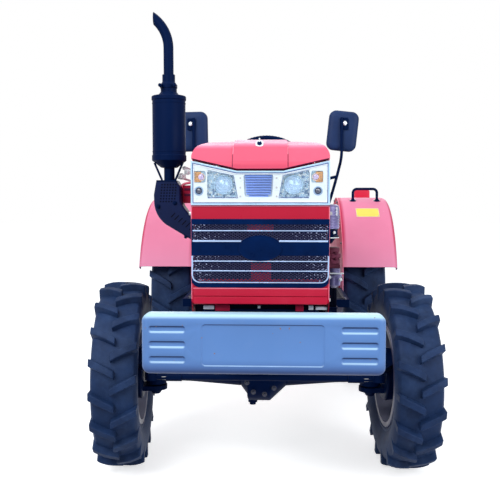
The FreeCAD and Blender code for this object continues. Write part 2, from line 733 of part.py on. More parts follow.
def make_hood():
    """One-piece hood: skirts, rounded top and a sloping nose whose edge follows the lamp panel."""
    base = lamp_bottom + hood_gap
    made = hood_shape(0, base).cut(hood_shape(sheet, base - 6))
    # clear of the lamp panel and the mask
    clear = 2.0
    lamp_room = prism_y([(-hood_half - 1, lamp_bottom - 1), (hood_half + 1, lamp_bottom - 1),
                         (hood_half + 1, v_side_z + clear), (v_half, v_middle_z + clear),
                         (-v_half, v_middle_z + clear), (-hood_half - 1, v_side_z + clear)],
                        hood_front - 40, hood_front + 52)
    pieces = [made.cut(lamp_room)]
    # hinge ears under the top's rear edge
    for side in (1, -1):
        x0, x1 = sorted((side * (hinge_x - 12), side * (hinge_x - 2)))
        pieces.append(rod((x0, hinge_y, hinge_z), (x1, hinge_y, hinge_z), 11))
        pieces.append(box(x0, x1, hood_rear - 40, hinge_y, hinge_z - 8,
                          hood_top - hood_bulge - sheet - 2))
    hood = fused(pieces)
    for side in (1, -1):
        hood = hood.cut(rod((side * (hinge_x - 14), hinge_y, hinge_z),
                            (side * hinge_x, hinge_y, hinge_z), hinge_pin + running_gap))
    write("hood", hood)


cowl_depth = 150.0             # hood's rear edge to the dash
cowl_wall = 6.0
dash_foot_z = 1010.0
dash_top_z = 1230.0


def steering_line():
    """Centre of the steering wheel and the direction of its column."""
    tilt = math.radians(column_tilt)
    return (Vector(0, hood_rear + wheel_behind, wheel_height),
            Vector(0, math.sin(tilt), math.cos(tilt)))


def make_cowl():
    """Instrument cowl behind the hood, closed at the sides, with a sloping dash facing the seat."""
    y0 = hood_rear + 6
    top = hood_top - hood_bulge - 6
    half = hood_half - 14
    foot = gearbox_top + seat_gap
    recess = y0 + 26
    rear = y0 + cowl_depth
    profile = [(y0, foot), (y0 + 96, foot, 10), (rear, dash_foot_z, 60), (rear, dash_top_z, 20),
               (y0 + 60, top, 40), (recess, top), (recess, hinge_z - 20), (y0, hinge_z - 40)]
    solid = prism_x(profile, -half, half)
    back = rear - cowl_wall
    under = top - cowl_wall
    inner = prism_x([(y0 - 1, foot - 1), (y0 + 96 - cowl_wall, foot - 1), (back, dash_foot_z, 56),
                     (back, dash_top_z - 6, 16), (y0 + 57, under, 36), (y0 - 1, under)],
                    cowl_wall - half, half - cowl_wall)
    hub, axis = steering_line()
    column_room = Part.makeCylinder(column_radius + seat_gap, 400, hub - axis * 400, axis)
    cowl = solid.cut(inner).cut(column_room)
    pieces = [cowl]
    for side in (1, -1):
        x0, x1 = sorted((side * hinge_x, side * (hinge_x + 8)))
        p0, p1 = sorted((side * (hinge_x - 12), side * (hinge_x + 1)))
        pieces.append(rod((x0, hinge_y, hinge_z), (x1, hinge_y, hinge_z), 8))
        pieces.append(prism_x([(hinge_y, hinge_z - 8), (hinge_y + 80, hinge_z - 20),
                               (hinge_y + 80, hinge_z + 2), (hinge_y, hinge_z + 2)], x0, x1))
        pieces.append(rod((p0, hinge_y, hinge_z), (p1, hinge_y, hinge_z), hinge_pin))
    write("dash_cowl", fused(pieces))
    column_foot = hub - axis * (column_length + wheel_boss + 0.7)
    write("steering_column", Part.makeCylinder(column_radius, column_length, column_foot, axis))


# ---- engine, radiator, exhaust ------------------------------------------------------------
engine_half = 150.0
block_bottom = 530.0
block_top = 890.0
head_top = 985.0
sump_bottom = 432.0
fan_z = 830.0
fan_radius = 172.0
pump_ahead = 40.0              # front axle to the injection pump
pump_z = 750.0
cleaner_x = 288.0              # air cleaner beside the engine, left
cleaner_radius = 48.0
cleaner_bottom = 938.0
cleaner_height = 137.0
filter_z = 690.0               # oil filter's head
filter_bottom = 580.0
manifold_z = 926.0
manifold_half = 30.0
alternator_z = 790.0
starter_z = 640.0


def make_engine():
    """Three-cylinder diesel: block, sump, head and rocker cover in one lump of castings."""
    y0, y1 = engine_front_y, engine_rear_y
    side = [(y0, rail_top + 20, 10), (front_axle_y + 120, rail_top + 20, 10),
            (front_axle_y + 140, block_bottom, 10), (y1, block_bottom), (y1, block_top),
            (y0, block_top)]
    pieces = [prism_x(side, -engine_half, engine_half),
              box(-engine_half + 18, engine_half - 18, y0 + 20, y1 - 20, block_top, head_top),
              prism_y(rectangle(-84, 84, head_top - 1, head_top + 56, 22), y0 + 45, y1 - 45),
              prism_x([(front_axle_y + 170, block_bottom + 1), (y1 - 20, block_bottom + 1),
                       (y1 - 50, sump_bottom, 24), (front_axle_y + 200, sump_bottom, 24)], -118, 118)]
    hub_z = fan_z
    pieces.append(rod((0, y0 + 1, hub_z), (0, y0 - 40, hub_z), 9))
    write("engine", fused(pieces))
    # fan and belt pulley on the front of the block, behind the radiator
    fan = [rod((0, y0 - 2, hub_z), (0, y0 - 46, hub_z), 42)]
    for i in range(6):
        angle = 60 * i
        blade = box(-26, 26, y0 - 40, y0 - 34, hub_z + 30, hub_z + fan_radius)
        blade.rotate(Vector(0, y0 - 37, hub_z), Z_AXIS, 24)
        blade.rotate(Vector(0, y0 - 37, hub_z), Y_AXIS, angle)
        fan.append(blade)
    bore = rod((0, y0 + 1, hub_z), (0, y0 - 42, hub_z), 9 + running_gap)
    write("cooling_fan", fused(fan).cut(bore))
    write("engine_left_side", *engine_left_side())
    write("engine_right_side", *engine_right_side())


def engine_left_side():
    """Air cleaner on its bracket, injection pump and oil filter."""
    x = engine_half + seat_gap
    y = front_axle_y + 300
    low = cleaner_bottom
    high = cleaner_bottom + cleaner_height
    cleaner = turned([(low, 0), (high, 0), (high, 26, 10), (high - 12, cleaner_radius, 10),
                      (low + 30, cleaner_radius, 4), (low + 24, cleaner_radius - 6),
                      (low + 8, cleaner_radius - 6, 8), (low, 28)],
                     Vector(cleaner_x, y, 0), Z_AXIS)
    bracket = box(x - 18, cleaner_x + cleaner_radius - 4, y - 34, y + 34, low - 8, low + 1)
    foot = box(x - 18, x - 8, y - 40, y + 40, low - 36, low + 40)
    pump_y = front_axle_y + pump_ahead
    pump = [box(x, x + 74, pump_y, pump_y + 200, pump_z - 50, pump_z + 50),
            rod((x + 43, pump_y, pump_z), (x + 43, pump_y - 60, pump_z), 42),
            box(x + 30, x + 104, pump_y + 40, pump_y + 150, pump_z - 44, pump_z + 2)]
    for i in range(3):
        delivery_y = pump_y + 40 + 50 * i
        pump.append(rod((x + 38, delivery_y, pump_z + 48), (x + 38, delivery_y, pump_z + 100), 12))
    filter_y = front_axle_y + 330
    oil_filter = [rod((x, filter_y, filter_z), (x + 60, filter_y, filter_z), 24),
                  rod((x + 60, filter_y, filter_bottom), (x + 60, filter_y, filter_z + 24), 46)]
    return [fused([cleaner, bracket, foot]), fused(pump), fused(oil_filter)]


def engine_right_side():
    """Exhaust manifold, alternator and starter."""
    x = -engine_half - seat_gap
    manifold = [box(-engine_half - 16, -engine_half + 17.7, engine_front_y + 60,
                    engine_rear_y - 60, manifold_z - manifold_half, manifold_z + manifold_half)]
    alternator = turned([(0, 0), (130, 0), (130, 62, 14), (0, 62, 14)],
                        Vector(x - 62, engine_front_y + 20, alternator_z), Y_AXIS)
    rear = engine_rear_y
    solenoid_z = starter_z + 55
    starter = [rod((x - 40, rear - 1, starter_z), (x - 40, rear - 150, starter_z), 40),
               rod((x - 66, rear - 10, solenoid_z), (x - 66, rear - 110, solenoid_z), 24)]
    return [fused(manifold), alternator, fused(starter)]


def make_radiator():
    """Core between a bottom tank on the frame and a rounded top tank with its cap."""
    y0 = hood_front + 60
    half = hood_half - 37
    top = lamp_bottom + 6
    core = box(-half + 10, half - 10, y0, y0 + 56, rail_top + 40, top - 42)
    tanks = [box(-half, half, y0 - 6, y0 + 62, rail_top + seat_gap, rail_top + 44),
             prism_x(rectangle(y0 - 8, y0 + 64, top - 46, top, 14), -half, half)]
    cap = rod((0, y0 + 28, top - 2), (0, y0 + 28, top + 24), 24)
    write("radiator", fused([core, cap] + tanks))


muffler_x = -400.0
muffler_y = front_axle_y + 110.0
muffler_radius = 70.0
muffler_bottom = 1262.0
muffler_top = 1538.0
end_plate = 3.0                # the muffler's rolled ends stand out by this
neck_radius = 22.5
tail_radius = 21.0
tail_bend_z = 1733.0           # the tail pipe is straight up to here
tail_bend = 156.0              # radius of its bend, on the centre line
tail_turn = 66.0
tail_reach = 62.0              # muffler's centre to the slashed mouth
guard_top = 1177.7
guard_depth = 100.0
guard_half = 57.0


def make_muffler():
    """Upright muffler, clamped collar and a tail pipe that curves outward to a slashed mouth."""
    at = Vector(muffler_x, muffler_y, 0)
    rolled = muffler_radius + end_plate
    can = turned([(muffler_bottom - 30, 0), (muffler_top + 10, 0), (muffler_top + 10, 36),
                  (muffler_top, 44, 4), (muffler_top - 6, rolled, 5),
                  (muffler_top - 22, rolled, 3), (muffler_top - 24, muffler_radius),
                  (muffler_bottom + 24, muffler_radius), (muffler_bottom + 22, rolled, 3),
                  (muffler_bottom, rolled, 5), (muffler_bottom - 30, 34, 8)], at, Z_AXIS)
    collar = turned([(muffler_top + 8, 0), (muffler_top + 84, 0), (muffler_top + 84, 27),
                     (muffler_top + 54, 27, 3), (muffler_top + 44, 34, 3),
                     (muffler_top + 8, 34)], at, Z_AXIS)
    straight = rod((muffler_x, muffler_y, muffler_top + 80), (muffler_x, muffler_y, tail_bend_z),
                   tail_radius)
    mouth = Part.Face(Part.Wire([Part.Circle(Vector(muffler_x, muffler_y, tail_bend_z), Z_AXIS,
                                             tail_radius).toShape()]))
    curve = mouth.revolve(Vector(muffler_x - tail_bend, muffler_y, tail_bend_z), -Y_AXIS,
                          tail_turn)
    beyond = box(muffler_x - tail_reach - 200, muffler_x - tail_reach, muffler_y - 60,
                 muffler_y + 60, tail_bend_z, tail_bend_z + 300)
    neck = rod((muffler_x, muffler_y, guard_top + seat_gap),
               (muffler_x, muffler_y, muffler_bottom - 20), neck_radius)
    stays = [rod((muffler_x + side * 28, muffler_y - 20, guard_top + 1),
                 (muffler_x + side * 60, muffler_y - 20, muffler_bottom - 10), 4.5)
             for side in (1, -1)]
    below = box(muffler_x - 90, muffler_x + 90, muffler_y - 90, muffler_y + 90,
                guard_top - 40, guard_top + seat_gap)
    made = fused([can, collar, straight, curve, neck] + stays)
    write("muffler", made.cut(beyond).cut(below))


def make_exhaust():
    """The muffler, and the guarded elbow that joins it to the manifold."""
    make_muffler()
    face = -engine_half - 16 - seat_gap
    wide = guard_half
    band = [(muffler_x + 36, guard_top), (muffler_x - 49, guard_top),
            (muffler_x - wide - 3, guard_top - 60, 40), (muffler_x - wide, manifold_z + 94, 120),
            (muffler_x + 108, manifold_z - 4, 40), (face - 34, manifold_z - 34),
            (face - 34, manifold_z + 34), (muffler_x + 122, manifold_z + 66, 60),
            (muffler_x + wide - 3, manifold_z + 156, 60),
            (muffler_x + wide - 3, guard_top - 30, 20)]
    guard = prism_y(band, muffler_y - guard_depth / 2, muffler_y + guard_depth / 2)
    faces = (muffler_y - guard_depth / 2, muffler_y + guard_depth / 2)
    rims = [e for e in guard.Edges if e.BoundBox.YLength < 0.01
            and min(abs(e.BoundBox.YMin - y) for y in faces) < 0.01
            and e.BoundBox.ZMax < guard_top - 1 and e.BoundBox.XMin < face - 40]
    guard = guard.makeFillet(8, rims)
    flange = box(face - 40, face, muffler_y - 46, muffler_y + 46, manifold_z - 28, manifold_z + 28)
    write("exhaust_elbow", fused([guard, flange]))


# ---- driveline, platform, rear ------------------------------------------------------------
gearbox_front = engine_rear_y + 150.0
axle_case_front = rear_axle_y - 190.0
axle_case_rear = rear_axle_y + 120.0
trumpet_flange = 92.0
panel_arch = 235.0             # axle to the lower edge of the fender's side panel
fender_foot = 54.0
transfer_bottom = 350.0


def make_driveline():
    """Bell housing and gearbox bolted in line, and the drive to the front axle under them."""
    ends = ((engine_half, block_bottom - 60, block_top - 60, 60, engine_rear_y + seat_gap),
            (gearbox_half, gearbox_bottom + 30, gearbox_top - 5, 50, gearbox_front))
    sections = [outline(rectangle(-half, half, low, high, corner),
                        lambda u, v, y=y: Vector(u, y, v)) for half, low, high, corner, y in ends]
    write("bell_housing", Part.makeLoft(sections, True))
    write("gearbox", prism_y(rectangle(-gearbox_half, gearbox_half, gearbox_bottom, gearbox_top,
                                       30), gearbox_front + seat_gap, axle_case_front))
    y0 = gearbox_front + 1
    write("transfer_case", box(-60, 60, y0, y0 + 189, transfer_bottom,
                               gearbox_bottom - seat_gap))
    write("front_drive_shaft", rod((0, front_axle_y + pinion_reach + seat_gap, beam_z),
                                   (0, y0 - seat_gap, beam_z), 24))


def make_rear_axle():
    """Axle case with its bearing cap for the power take-off, and a trumpet to each wheel."""
    hub_inner = rear_wheel_x + rear_hub_face - rear_hub_flange
    end = hub_inner - hub_gap
    inside = axle_case_half - 40
    centre = Vector(0, rear_axle_y, rear_axle_z)
    pieces = [prism_y(rectangle(-axle_case_half, axle_case_half, axle_case_bottom, gearbox_top,
                                44), axle_case_front + seat_gap, axle_case_rear)]
    for side in (1, -1):
        pieces.append(turned([(inside, 0), (end, 0), (end, trumpet_flange, 6),
                              (end - 54, trumpet_flange, 10), (end - 78, 66, 20), (230, 74, 30),
                              (axle_case_half + 15, 90, 20), (inside, 90)],
                             centre, X_AXIS * side))
    pto = Vector(0, axle_case_rear, pto_z)
    bore = pto_journal + pto_clearance
    cap = turned([(-1, bore), (pto_cap, bore), (pto_cap, 52, 6), (12, 66, 4), (-1, 66)],
                 pto, Y_AXIS)
    axle = fused(pieces).cut(rod(pto - Y_AXIS * 3, pto + Y_AXIS * 2, bore)).fuse(cap)
    for side in (1, -1):
        axle = axle.cut(rod((side * (hub_inner - stub_length - 4), rear_axle_y, rear_axle_z),
                            (side * (end + 1), rear_axle_y, rear_axle_z),
                            rear_stub_radius + running_gap))
    write("rear_axle", axle)


def make_platform():
    """Foot boards each side with turned-down edges, on brackets from the gearbox."""
    y0 = hood_rear + 20
    y1 = rear_axle_y - fender_radius + 115
    boards = []
    for side in (1, -1):
        x0, x1 = sorted((side * 124, side * (fender_inner - seat_gap)))
        board = box(x0, x1, y0, y1, platform_top - 5, platform_top)
        edge = box(x0, x1, y0, y0 + 5, platform_top - 40, platform_top)
        u0, u1 = sorted((side * (fender_inner - sheet - seat_gap), side * (fender_inner - seat_gap)))
        rim_edge = box(u0, u1, y0, y1, platform_top - 40, platform_top)
        v0, v1 = sorted((side * (gearbox_half + seat_gap), side * (gearbox_half + 10)))
        inner = box(v0, v1, y0 + 40, y1, platform_top - 60, platform_top)
        boards.append(fused([board, edge, rim_edge, inner]))
    write("platform", *boards)


def wheel_arc_point(radius, degrees):
    """(y, z) of a point about the rear wheel's centre, degrees up from straight ahead."""
    angle = math.radians(degrees)
    return rear_axle_y - radius * math.cos(angle), rear_axle_z + radius * math.sin(angle)


def fender_top(side):
    """Pressed sheet swept over the wheel: level across, its outer edge rolled down."""
    start = math.radians(fender_start)
    hub = Vector(0, rear_axle_y, rear_axle_z)
    radial = Vector(0, -math.cos(start), math.sin(start))
    low = fender_radius - fender_lip
    wire = outline([(fender_inner, fender_radius - sheet), (fender_inner, fender_radius),
                    (fender_outer, fender_radius, fender_roll), (fender_outer, low),
                    (fender_outer - sheet, low),
                    (fender_outer - sheet, fender_radius - sheet, fender_roll - sheet)],
                   lambda u, v: hub + X_AXIS * (side * u) + radial * v)
    return Part.Face(wire).revolve(hub, -X_AXIS, fender_end - fender_start)


def fender_panel(side):
    """Flat side panel beside the seat, cut away over the axle."""
    def at(y, z):
        return Vector(side * fender_inner, y, z)

    low = platform_top - 40
    front = at(*wheel_arc_point(fender_radius, fender_start))
    back = at(*wheel_arc_point(fender_radius, fender_end))
    top = at(*wheel_arc_point(fender_radius, (fender_start + fender_end) / 2))
    arch = rear_axle_z + panel_arch
    corners = [back, at(back.y, back.z - 60), at(rear_axle_y + 300, arch),
               at(rear_axle_y - 300, arch), at(front.y + 150, low), at(front.y, low), front]
    edges = [Part.Arc(front, top, back).toShape()]
    edges += [Part.LineSegment(p, q).toShape() for p, q in zip(corners, corners[1:])]
    return Part.Face(Part.Wire(edges)).extrude(Vector(side * sheet, 0, 0))


def fender(side):
    """One rear fender: top, side panel, and a foot on the axle's flange."""
    foot_z = rear_axle_z + trumpet_flange + seat_gap
    y0, y1 = rear_axle_y - 60, rear_axle_y + 60
    x0, x1 = sorted((side * fender_inner, side * (fender_inner + sheet)))
    leg = box(x0, x1, y0, y1, foot_z, rear_axle_z + panel_arch + 30)
    x0, x1 = sorted((side * fender_inner, side * (fender_inner + fender_foot)))
    foot = box(x0, x1, y0, y1, foot_z, foot_z + sheet + 1)
    return fused([fender_top(side), fender_panel(side), leg, foot])


handle_bar = 8.0
handle_ahead = 150.0           # rear axle to the handle, along the tractor
handle_half = 72.0
handle_height = 69.0
handle_inset = 143.0           # fender's outer edge to the middle of the handle
lamp_behind = 150.0            # rear axle to the tail lamps
lamp_inset = 127.0             # fender's outer edge to the middle of the lamp
lamp_half = 50.0
lamp_depth = 46.0
lamp_height = 70.0


def fender_top_z(away):
    """Height of the fender's top this far before or behind the axle."""
    return rear_axle_z + math.sqrt(fender_radius ** 2 - away ** 2)


def make_fenders():
    """Both fenders, the grab handle on each and the tail lamps."""
    handles = []
    lamps = []
    write("fenders", fender(1), fender(-1))
    for side in (1, -1):
        x = side * (fender_outer - handle_inset)
        y = rear_axle_y - handle_ahead
        base = fender_top_z(handle_ahead - handle_bar) + seat_gap
        top = base + handle_height
        handles.append(bent_bar([(x - handle_half, y, base), (x - handle_half, y, top),
                                 (x + handle_half, y, top), (x + handle_half, y, base)],
                                handle_bar, 24))
        x = side * (fender_outer - lamp_inset)
        y = rear_axle_y + lamp_behind
        seat = fender_top_z(lamp_behind)
        lamps.append(box(x - lamp_half, x + lamp_half, y, y + lamp_depth, seat + seat_gap,
                         seat + lamp_height))
    write("grab_handles", *handles)
    write("tail_lamps", *lamps)


seat_y = rear_axle_y - 95.0
seat_base_top = 900.0
cushion_thickness = 85.0
seat_back_top = 340.0          # above the base
seat_half = 225.0
lever_x = 60.0
lever_lean = 60.0
lever_top = 1000.0


def make_seat():
    """Suspension box on the axle case, with a padded pan and back."""
    write("seat_base", box(-130, 130, seat_y - 150, seat_y + 20, gearbox_top + seat_gap,
                           seat_base_top))
    pan_top = seat_base_top + cushion_thickness
    write("seat_cushion", prism_z(rectangle(-seat_half, seat_half, seat_y - 210, seat_y + 190,
                                            60), seat_base_top + seat_gap, pan_top))
    half = seat_half - 10
    write("seat_back", prism_y(rectangle(-half, half, pan_top + seat_gap,
                                         seat_base_top + seat_back_top, 60),
                               seat_y + 135, seat_y + 205))


def make_steering_wheel():
    """Three-spoked wheel on its boss."""
    hub, axis = steering_line()
    up = axis.cross(X_AXIS)
    middle = steering_wheel_radius - wheel_rim
    pieces = [Part.makeTorus(middle, wheel_rim, hub, axis),
              Part.makeCylinder(38, wheel_boss, hub - axis * wheel_boss, axis)]
    for i in range(3):
        angle = math.radians(90 + 120 * i)
        direction = (X_AXIS * math.cos(angle) + up * math.sin(angle) + axis * 0.05).normalize()
        pieces.append(Part.makeCylinder(8, middle - 2, hub - axis * 12, direction))
    write("steering_wheel", fused(pieces))


def make_levers():
    """Two gear sticks that lean apart, each with a ball."""
    sticks = []
    y = seat_y - 330
    for side in (1, -1):
        tip = Vector(side * (lever_x + lever_lean), y + 40, lever_top)
        stick = rod((side * lever_x, y, gearbox_top - 8), tip, 8)
        stick = stick.cut(box(-200, 200, y - 40, y + 40, gearbox_top - 20, gearbox_top + seat_gap))
        sticks.append(stick.fuse(Part.makeSphere(22, tip)))
    write("control_levers", *sticks)


def pedal(x, side, pad_half):
    """A foot pedal: a cross shaft from the gearbox, a cranked arm and a slanted pad."""
    pivot_y = hood_rear + 56
    pivot_z = platform_top + 52
    pad_y = hood_rear + 104
    pad_z = platform_top + 168
    shaft = rod((side * (gearbox_half + seat_gap), pivot_y, pivot_z),
                (side * (x + 9), pivot_y, pivot_z), 11)
    x0, x1 = sorted((side * (x - 5), side * (x + 5)))
    arm = prism_x([(pivot_y - 14, pivot_z - 4, 8), (pivot_y + 12, pivot_z - 16, 8),
                   (pad_y + 4, pad_z - 22), (pad_y - 10, pad_z + 6),
                   (pivot_y - 8, pivot_z + 60, 30)], x0, x1)
    u0, u1 = sorted((side * (x - pad_half), side * (x + pad_half)))
    pad = prism_x([(pad_y + 20, pad_z - 32, 3), (pad_y + 27, pad_z - 25, 3),
                   (pad_y - 17, pad_z + 27, 3), (pad_y - 24, pad_z + 20, 3)], u0, u1)
    return fused([shaft, arm, pad])


def make_pedals():
    """Clutch on the left, the two brakes on the right."""
    write("pedals", pedal(288, 1, 34), pedal(280, -1, 30), pedal(348, -1, 30))


# ---- mirrors ------------------------------------------------------------------------------
mirror_y = hood_rear + 60.0
mirror_x = 380.0
mirror_tuck = 15.0             # the right-hand arm is set further in
mirror_half = 76.0
mirror_bottom = 1330.0
mirror_top = 1538.0
arm_foot_z = 1056.0
brace_z = 1196.0


def make_mirrors():
    """A head on each side, on a braced arm from the cowl's flank."""
    arms = []
    heads = []
    for side, reach in ((1, mirror_x), (-1, mirror_x - mirror_tuck)):
        root = side * (hood_half - 14 + seat_gap)
        x = side * reach
        arm = bent_bar([(root, mirror_y, arm_foot_z), (x - side * 80, mirror_y, arm_foot_z),
                        (x - side * 14, mirror_y, brace_z + 40),
                        (x - side * 11, mirror_y, mirror_top - 86)], 7, 22)
        brace = bent_bar([(root, mirror_y, brace_z), (root + side * 23, mirror_y, brace_z),
                          (root + side * 67, mirror_y, brace_z + 38),
                          (x - side * 16, mirror_y, brace_z + 50)], 6, 16)
        arms.append(fused([arm, brace]))
        face = [(x - side * mirror_half, mirror_bottom + 12, 34),
                (x + side * (mirror_half - 4), mirror_bottom, 40),
                (x + side * mirror_half, mirror_top, 34), (x - side * mirror_half, mirror_top, 34)]
        head = prism_y(face, mirror_y - 33, mirror_y - 7 - seat_gap)
        rims = [e for e in head.Edges if abs(e.BoundBox.YMin - mirror_y + 33) < 0.01
                and e.BoundBox.YLength < 0.01]
        heads.append(head.makeFillet(9, rims))
    write("mirror_arms", *arms)
    write("mirrors", *heads)


# ---- three-point hitch --------------------------------------------------------------------
link_x = 235.0                 # lower links, lift rods and arms, from the centre plane
link_half = 27.0               # half depth of a lower link
link_bar = 8.0                 # half its thickness
link_pin_radius = 12.0
link_tail = 110.0              # straight run before the hitch point
hitch_eye_half = 17.5
arm_half = 28.0                # half depth of a lift arm
arm_bar = 13.0                 # half its thickness
shaft_radius = 26.0
rod_pin_radius = 10.0
fork_gap = 1.5
fork_ear = 10.0
fork_half = 18.0
fork_reach = 68.0              # pin to the far side of a fork's bridge
pin_past = fork_gap + fork_ear + 4.0
top_link_length = 520.0
top_link_lean = math.radians(5)
top_link_half = 22.0
housing_half = 126.0
drawbar_half = 38.0
drawbar_thick = 19.7
drawbar_hole_radius = 13.0
link_pivot = Vector(0, rear_axle_y + pivot_y_behind, 440)
lift_shaft = link_pivot + Vector(0, -30, 400)
link_along = Vector(0, math.cos(link_rise), -math.sin(link_rise))
link_up = Vector(0, math.sin(link_rise), math.cos(link_rise))
top_link_foot = Vector(0, axle_case_rear + 84, 800)


def cross_pin(at, reach, radius):
    """A pin or a bore along X through a point, reaching the same way to each side."""
    return rod((at.x - reach, at.y, at.z), (at.x + reach, at.y, at.z), radius)


def side_plate(corners, x0, x1):
    """A plate that stands lengthwise between x0 and x1."""
    return prism_x([(c.y, c.z) for c in corners], x0, x1)


def link_plate(start, length, half, bar):
    """Pieces of a flat bar that runs from start along the links, round at both ends."""
    end = start + link_along * length
    wide = link_up * half
    return [cross_pin(start, bar, half), cross_pin(end, bar, half),
            side_plate([start + wide, end + wide, end - wide, start - wide],
                       start.x - bar, start.x + bar)]


def make_lift_housing():
    """Hydraulic lift on the axle case, with the bracket that carries the top link."""
    y0 = rear_axle_y - 60
    y1 = axle_case_rear
    top = lift_shaft.z + 44
    foot = top_link_foot
    pieces = [prism_x([(y0, gearbox_top + seat_gap), (y1 + 40, gearbox_top + seat_gap),
                       (y1 + 60, foot.z, 20), (y1 + 40, top, 30), (y0 + 80, top, 30),
                       (y0, top - 64, 30)], -housing_half, housing_half)]
    pieces[0] = pieces[0].cut(cross_pin(lift_shaft, housing_half + 14,
                                        shaft_radius + running_gap))
    for side in (1, -1):
        x0, x1 = sorted((side * (top_link_half + 2), side * (top_link_half + 12)))
        pieces.append(prism_x([(y1 + 20, foot.z - 40), (y1 + 20, foot.z + 46),
                               (foot.y, foot.z + 24, 22), (foot.y + 24, foot.z, 18),
                               (foot.y, foot.z - 24, 22)], x0, x1))
    pieces.append(cross_pin(foot, top_link_half + 12, top_pin_radius))
    write("lift_housing", fused(pieces))


def make_lift_arms():
    """Two arms on one cross shaft, parallel to the lower links, each with its rod's pin."""
    pieces = [cross_pin(lift_shaft, link_x + arm_bar, shaft_radius)]
    for side in (1, -1):
        root = lift_shaft + X_AXIS * (side * link_x)
        pieces += link_plate(root, lift_arm_length, arm_half, arm_bar)
        x0, x1 = sorted((side * (housing_half + 24), side * (link_x + arm_bar)))
        pieces.append(rod((x0, root.y, root.z), (x1, root.y, root.z), shaft_radius + 18))
        pin = root + link_along * lift_arm_length
        pieces.append(cross_pin(pin, arm_bar + pin_past, rod_pin_radius))
    write("lift_arms", fused(pieces))


def lower_link(side):
    """Straight from its pivot past the lift rod's pin, then set outward to the hitch point."""
    start = link_pivot + X_AXIS * (side * link_x)
    straight = lift_arm_length + 60
    end = link_pivot + X_AXIS * (side * hitch_spread) + link_along * lower_link_length
    bend = end - link_along * link_tail
    narrow = link_half - 3

    def section(at, half):
        corners = [at + X_AXIS * (link_bar * s) + link_up * (half * t)
                   for s, t in ((-1, -1), (1, -1), (1, 1), (-1, 1))]
        return Part.makePolygon(corners + [corners[0]])

    knee = section(start + link_along * straight, link_half)
    pieces = link_plate(start, straight, link_half, link_bar)
    pieces += [Part.makeLoft([knee, section(bend, narrow)], True),
               Part.makeLoft([section(bend, narrow), section(end, narrow)], True),
               cross_pin(end, hitch_eye_half, link_half + 1),
               cross_pin(start + link_along * lift_arm_length, link_bar + pin_past,
                         rod_pin_radius)]
    link = fused(pieces).cut(cross_pin(end, hitch_eye_half + 2, hitch_pin_radius))
    return link.cut(cross_pin(start, 20, link_pin_radius + running_gap))


def rod_fork(at, inward, half_gap):
    """Two ears about a pin and the bridge that joins them, on the inward side."""
    wide = Vector(0, inward.z, -inward.y) * fork_half
    near = at + inward * (fork_reach - 16)
    far = at + inward * fork_reach
    pieces = []
    for side in (1, -1):
        x0, x1 = sorted((at.x + side * half_gap, at.x + side * (half_gap + fork_ear)))
        pieces.append(rod((x0, at.y, at.z), (x1, at.y, at.z), fork_half + 2))
        pieces.append(side_plate([at + wide, far + wide, far - wide, at - wide], x0, x1))
    pieces.append(side_plate([near + wide, far + wide, far - wide, near - wide],
                             at.x - half_gap - 1, at.x + half_gap + 1))
    return fused(pieces).cut(cross_pin(at, 60, rod_pin_radius + running_gap))


def lift_rod(side):
    """Screw-adjusted rod with a fork at each end, from a lift arm's pin to a lower link's."""
    reach = link_along * lift_arm_length + X_AXIS * (side * link_x)
    top = lift_shaft + reach
    low = link_pivot + reach
    length = (low - top).Length
    along = (low - top).normalize()
    stem = Part.makeCylinder(13, length - 116, top + along * 58, along)
    sleeve = Part.makeCylinder(19, 120, top + along * 120, along)
    return fused([rod_fork(top, along, arm_bar + fork_gap),
                  rod_fork(low, along * -1, link_bar + fork_gap), stem, sleeve])


def link_bracket(side):
    """A cheek on the axle case with the lower link's pin through it."""
    y, z = link_pivot.y, link_pivot.z
    x0, x1 = sorted((side * (axle_case_half + seat_gap), side * (link_x - link_bar - 5)))
    cheek = prism_x([(y - 24, z - 16, 8), (y - 24, z + 120), (y - 4, z + 120),
                     (y + 36, z + 10, 20), (y + 10, z - 30, 16), (y - 10, z - 30, 16)], x0, x1)
    pin = rod((side * (link_x - link_bar - 34), y, z), (side * (link_x + link_bar + 10), y, z),
              link_pin_radius)
    return fused([pin, cheek])


def make_top_link():
    """Turnbuckle link, stowed upright against its clip."""
    foot = top_link_foot
    up = Vector(0, -math.sin(top_link_lean), math.cos(top_link_lean))
    tip = foot + up * top_link_length
    link = fused([Part.makeCylinder(20, 300, foot + up * 110, up),
                  Part.makeCylinder(12, top_link_length - 40, foot + up * 20, up),
                  cross_pin(foot, top_link_half, 24), cross_pin(tip, top_link_half, 25)])
    link = link.cut(cross_pin(foot, 30, top_pin_radius + running_gap))
    write("top_link", link.cut(cross_pin(tip, 30, top_pin_radius)))


def make_drawbar():
    top = axle_case_bottom - seat_gap
    plate = box(-drawbar_half, drawbar_half, rear_axle_y - 60, axle_case_rear + 190,
                top - drawbar_thick, top)
    hole_y = axle_case_rear + 150
    write("drawbar", plate.cut(rod((0, hole_y, top - 30), (0, hole_y, top + 10),
                                   drawbar_hole_radius)))


def make_pto_shaft():
    """Power take-off stub, its journal in the axle case's bearing cap."""
    end = pto_cap + 88
    shaft = turned([(-2, 0), (end, 0), (end, pto_radius, 3), (pto_cap + 2, pto_radius),
                    (pto_cap + 2, pto_journal), (-2, pto_journal)],
                   Vector(0, axle_case_rear, pto_z), Y_AXIS)
    write("pto_shaft", shaft)


def make_hitch():
    """The rear linkage in its lowered position, the drawbar and the power take-off."""
    make_lift_housing()
    make_lift_arms()
    for side, name in ((1, "left"), (-1, "right")):
        write("lower_link_" + name, lower_link(side))
        write("lift_rod_" + name, lift_rod(side))
    write("link_brackets", link_bracket(1), link_bracket(-1))
    make_top_link()
    make_drawbar()
    make_pto_shaft()


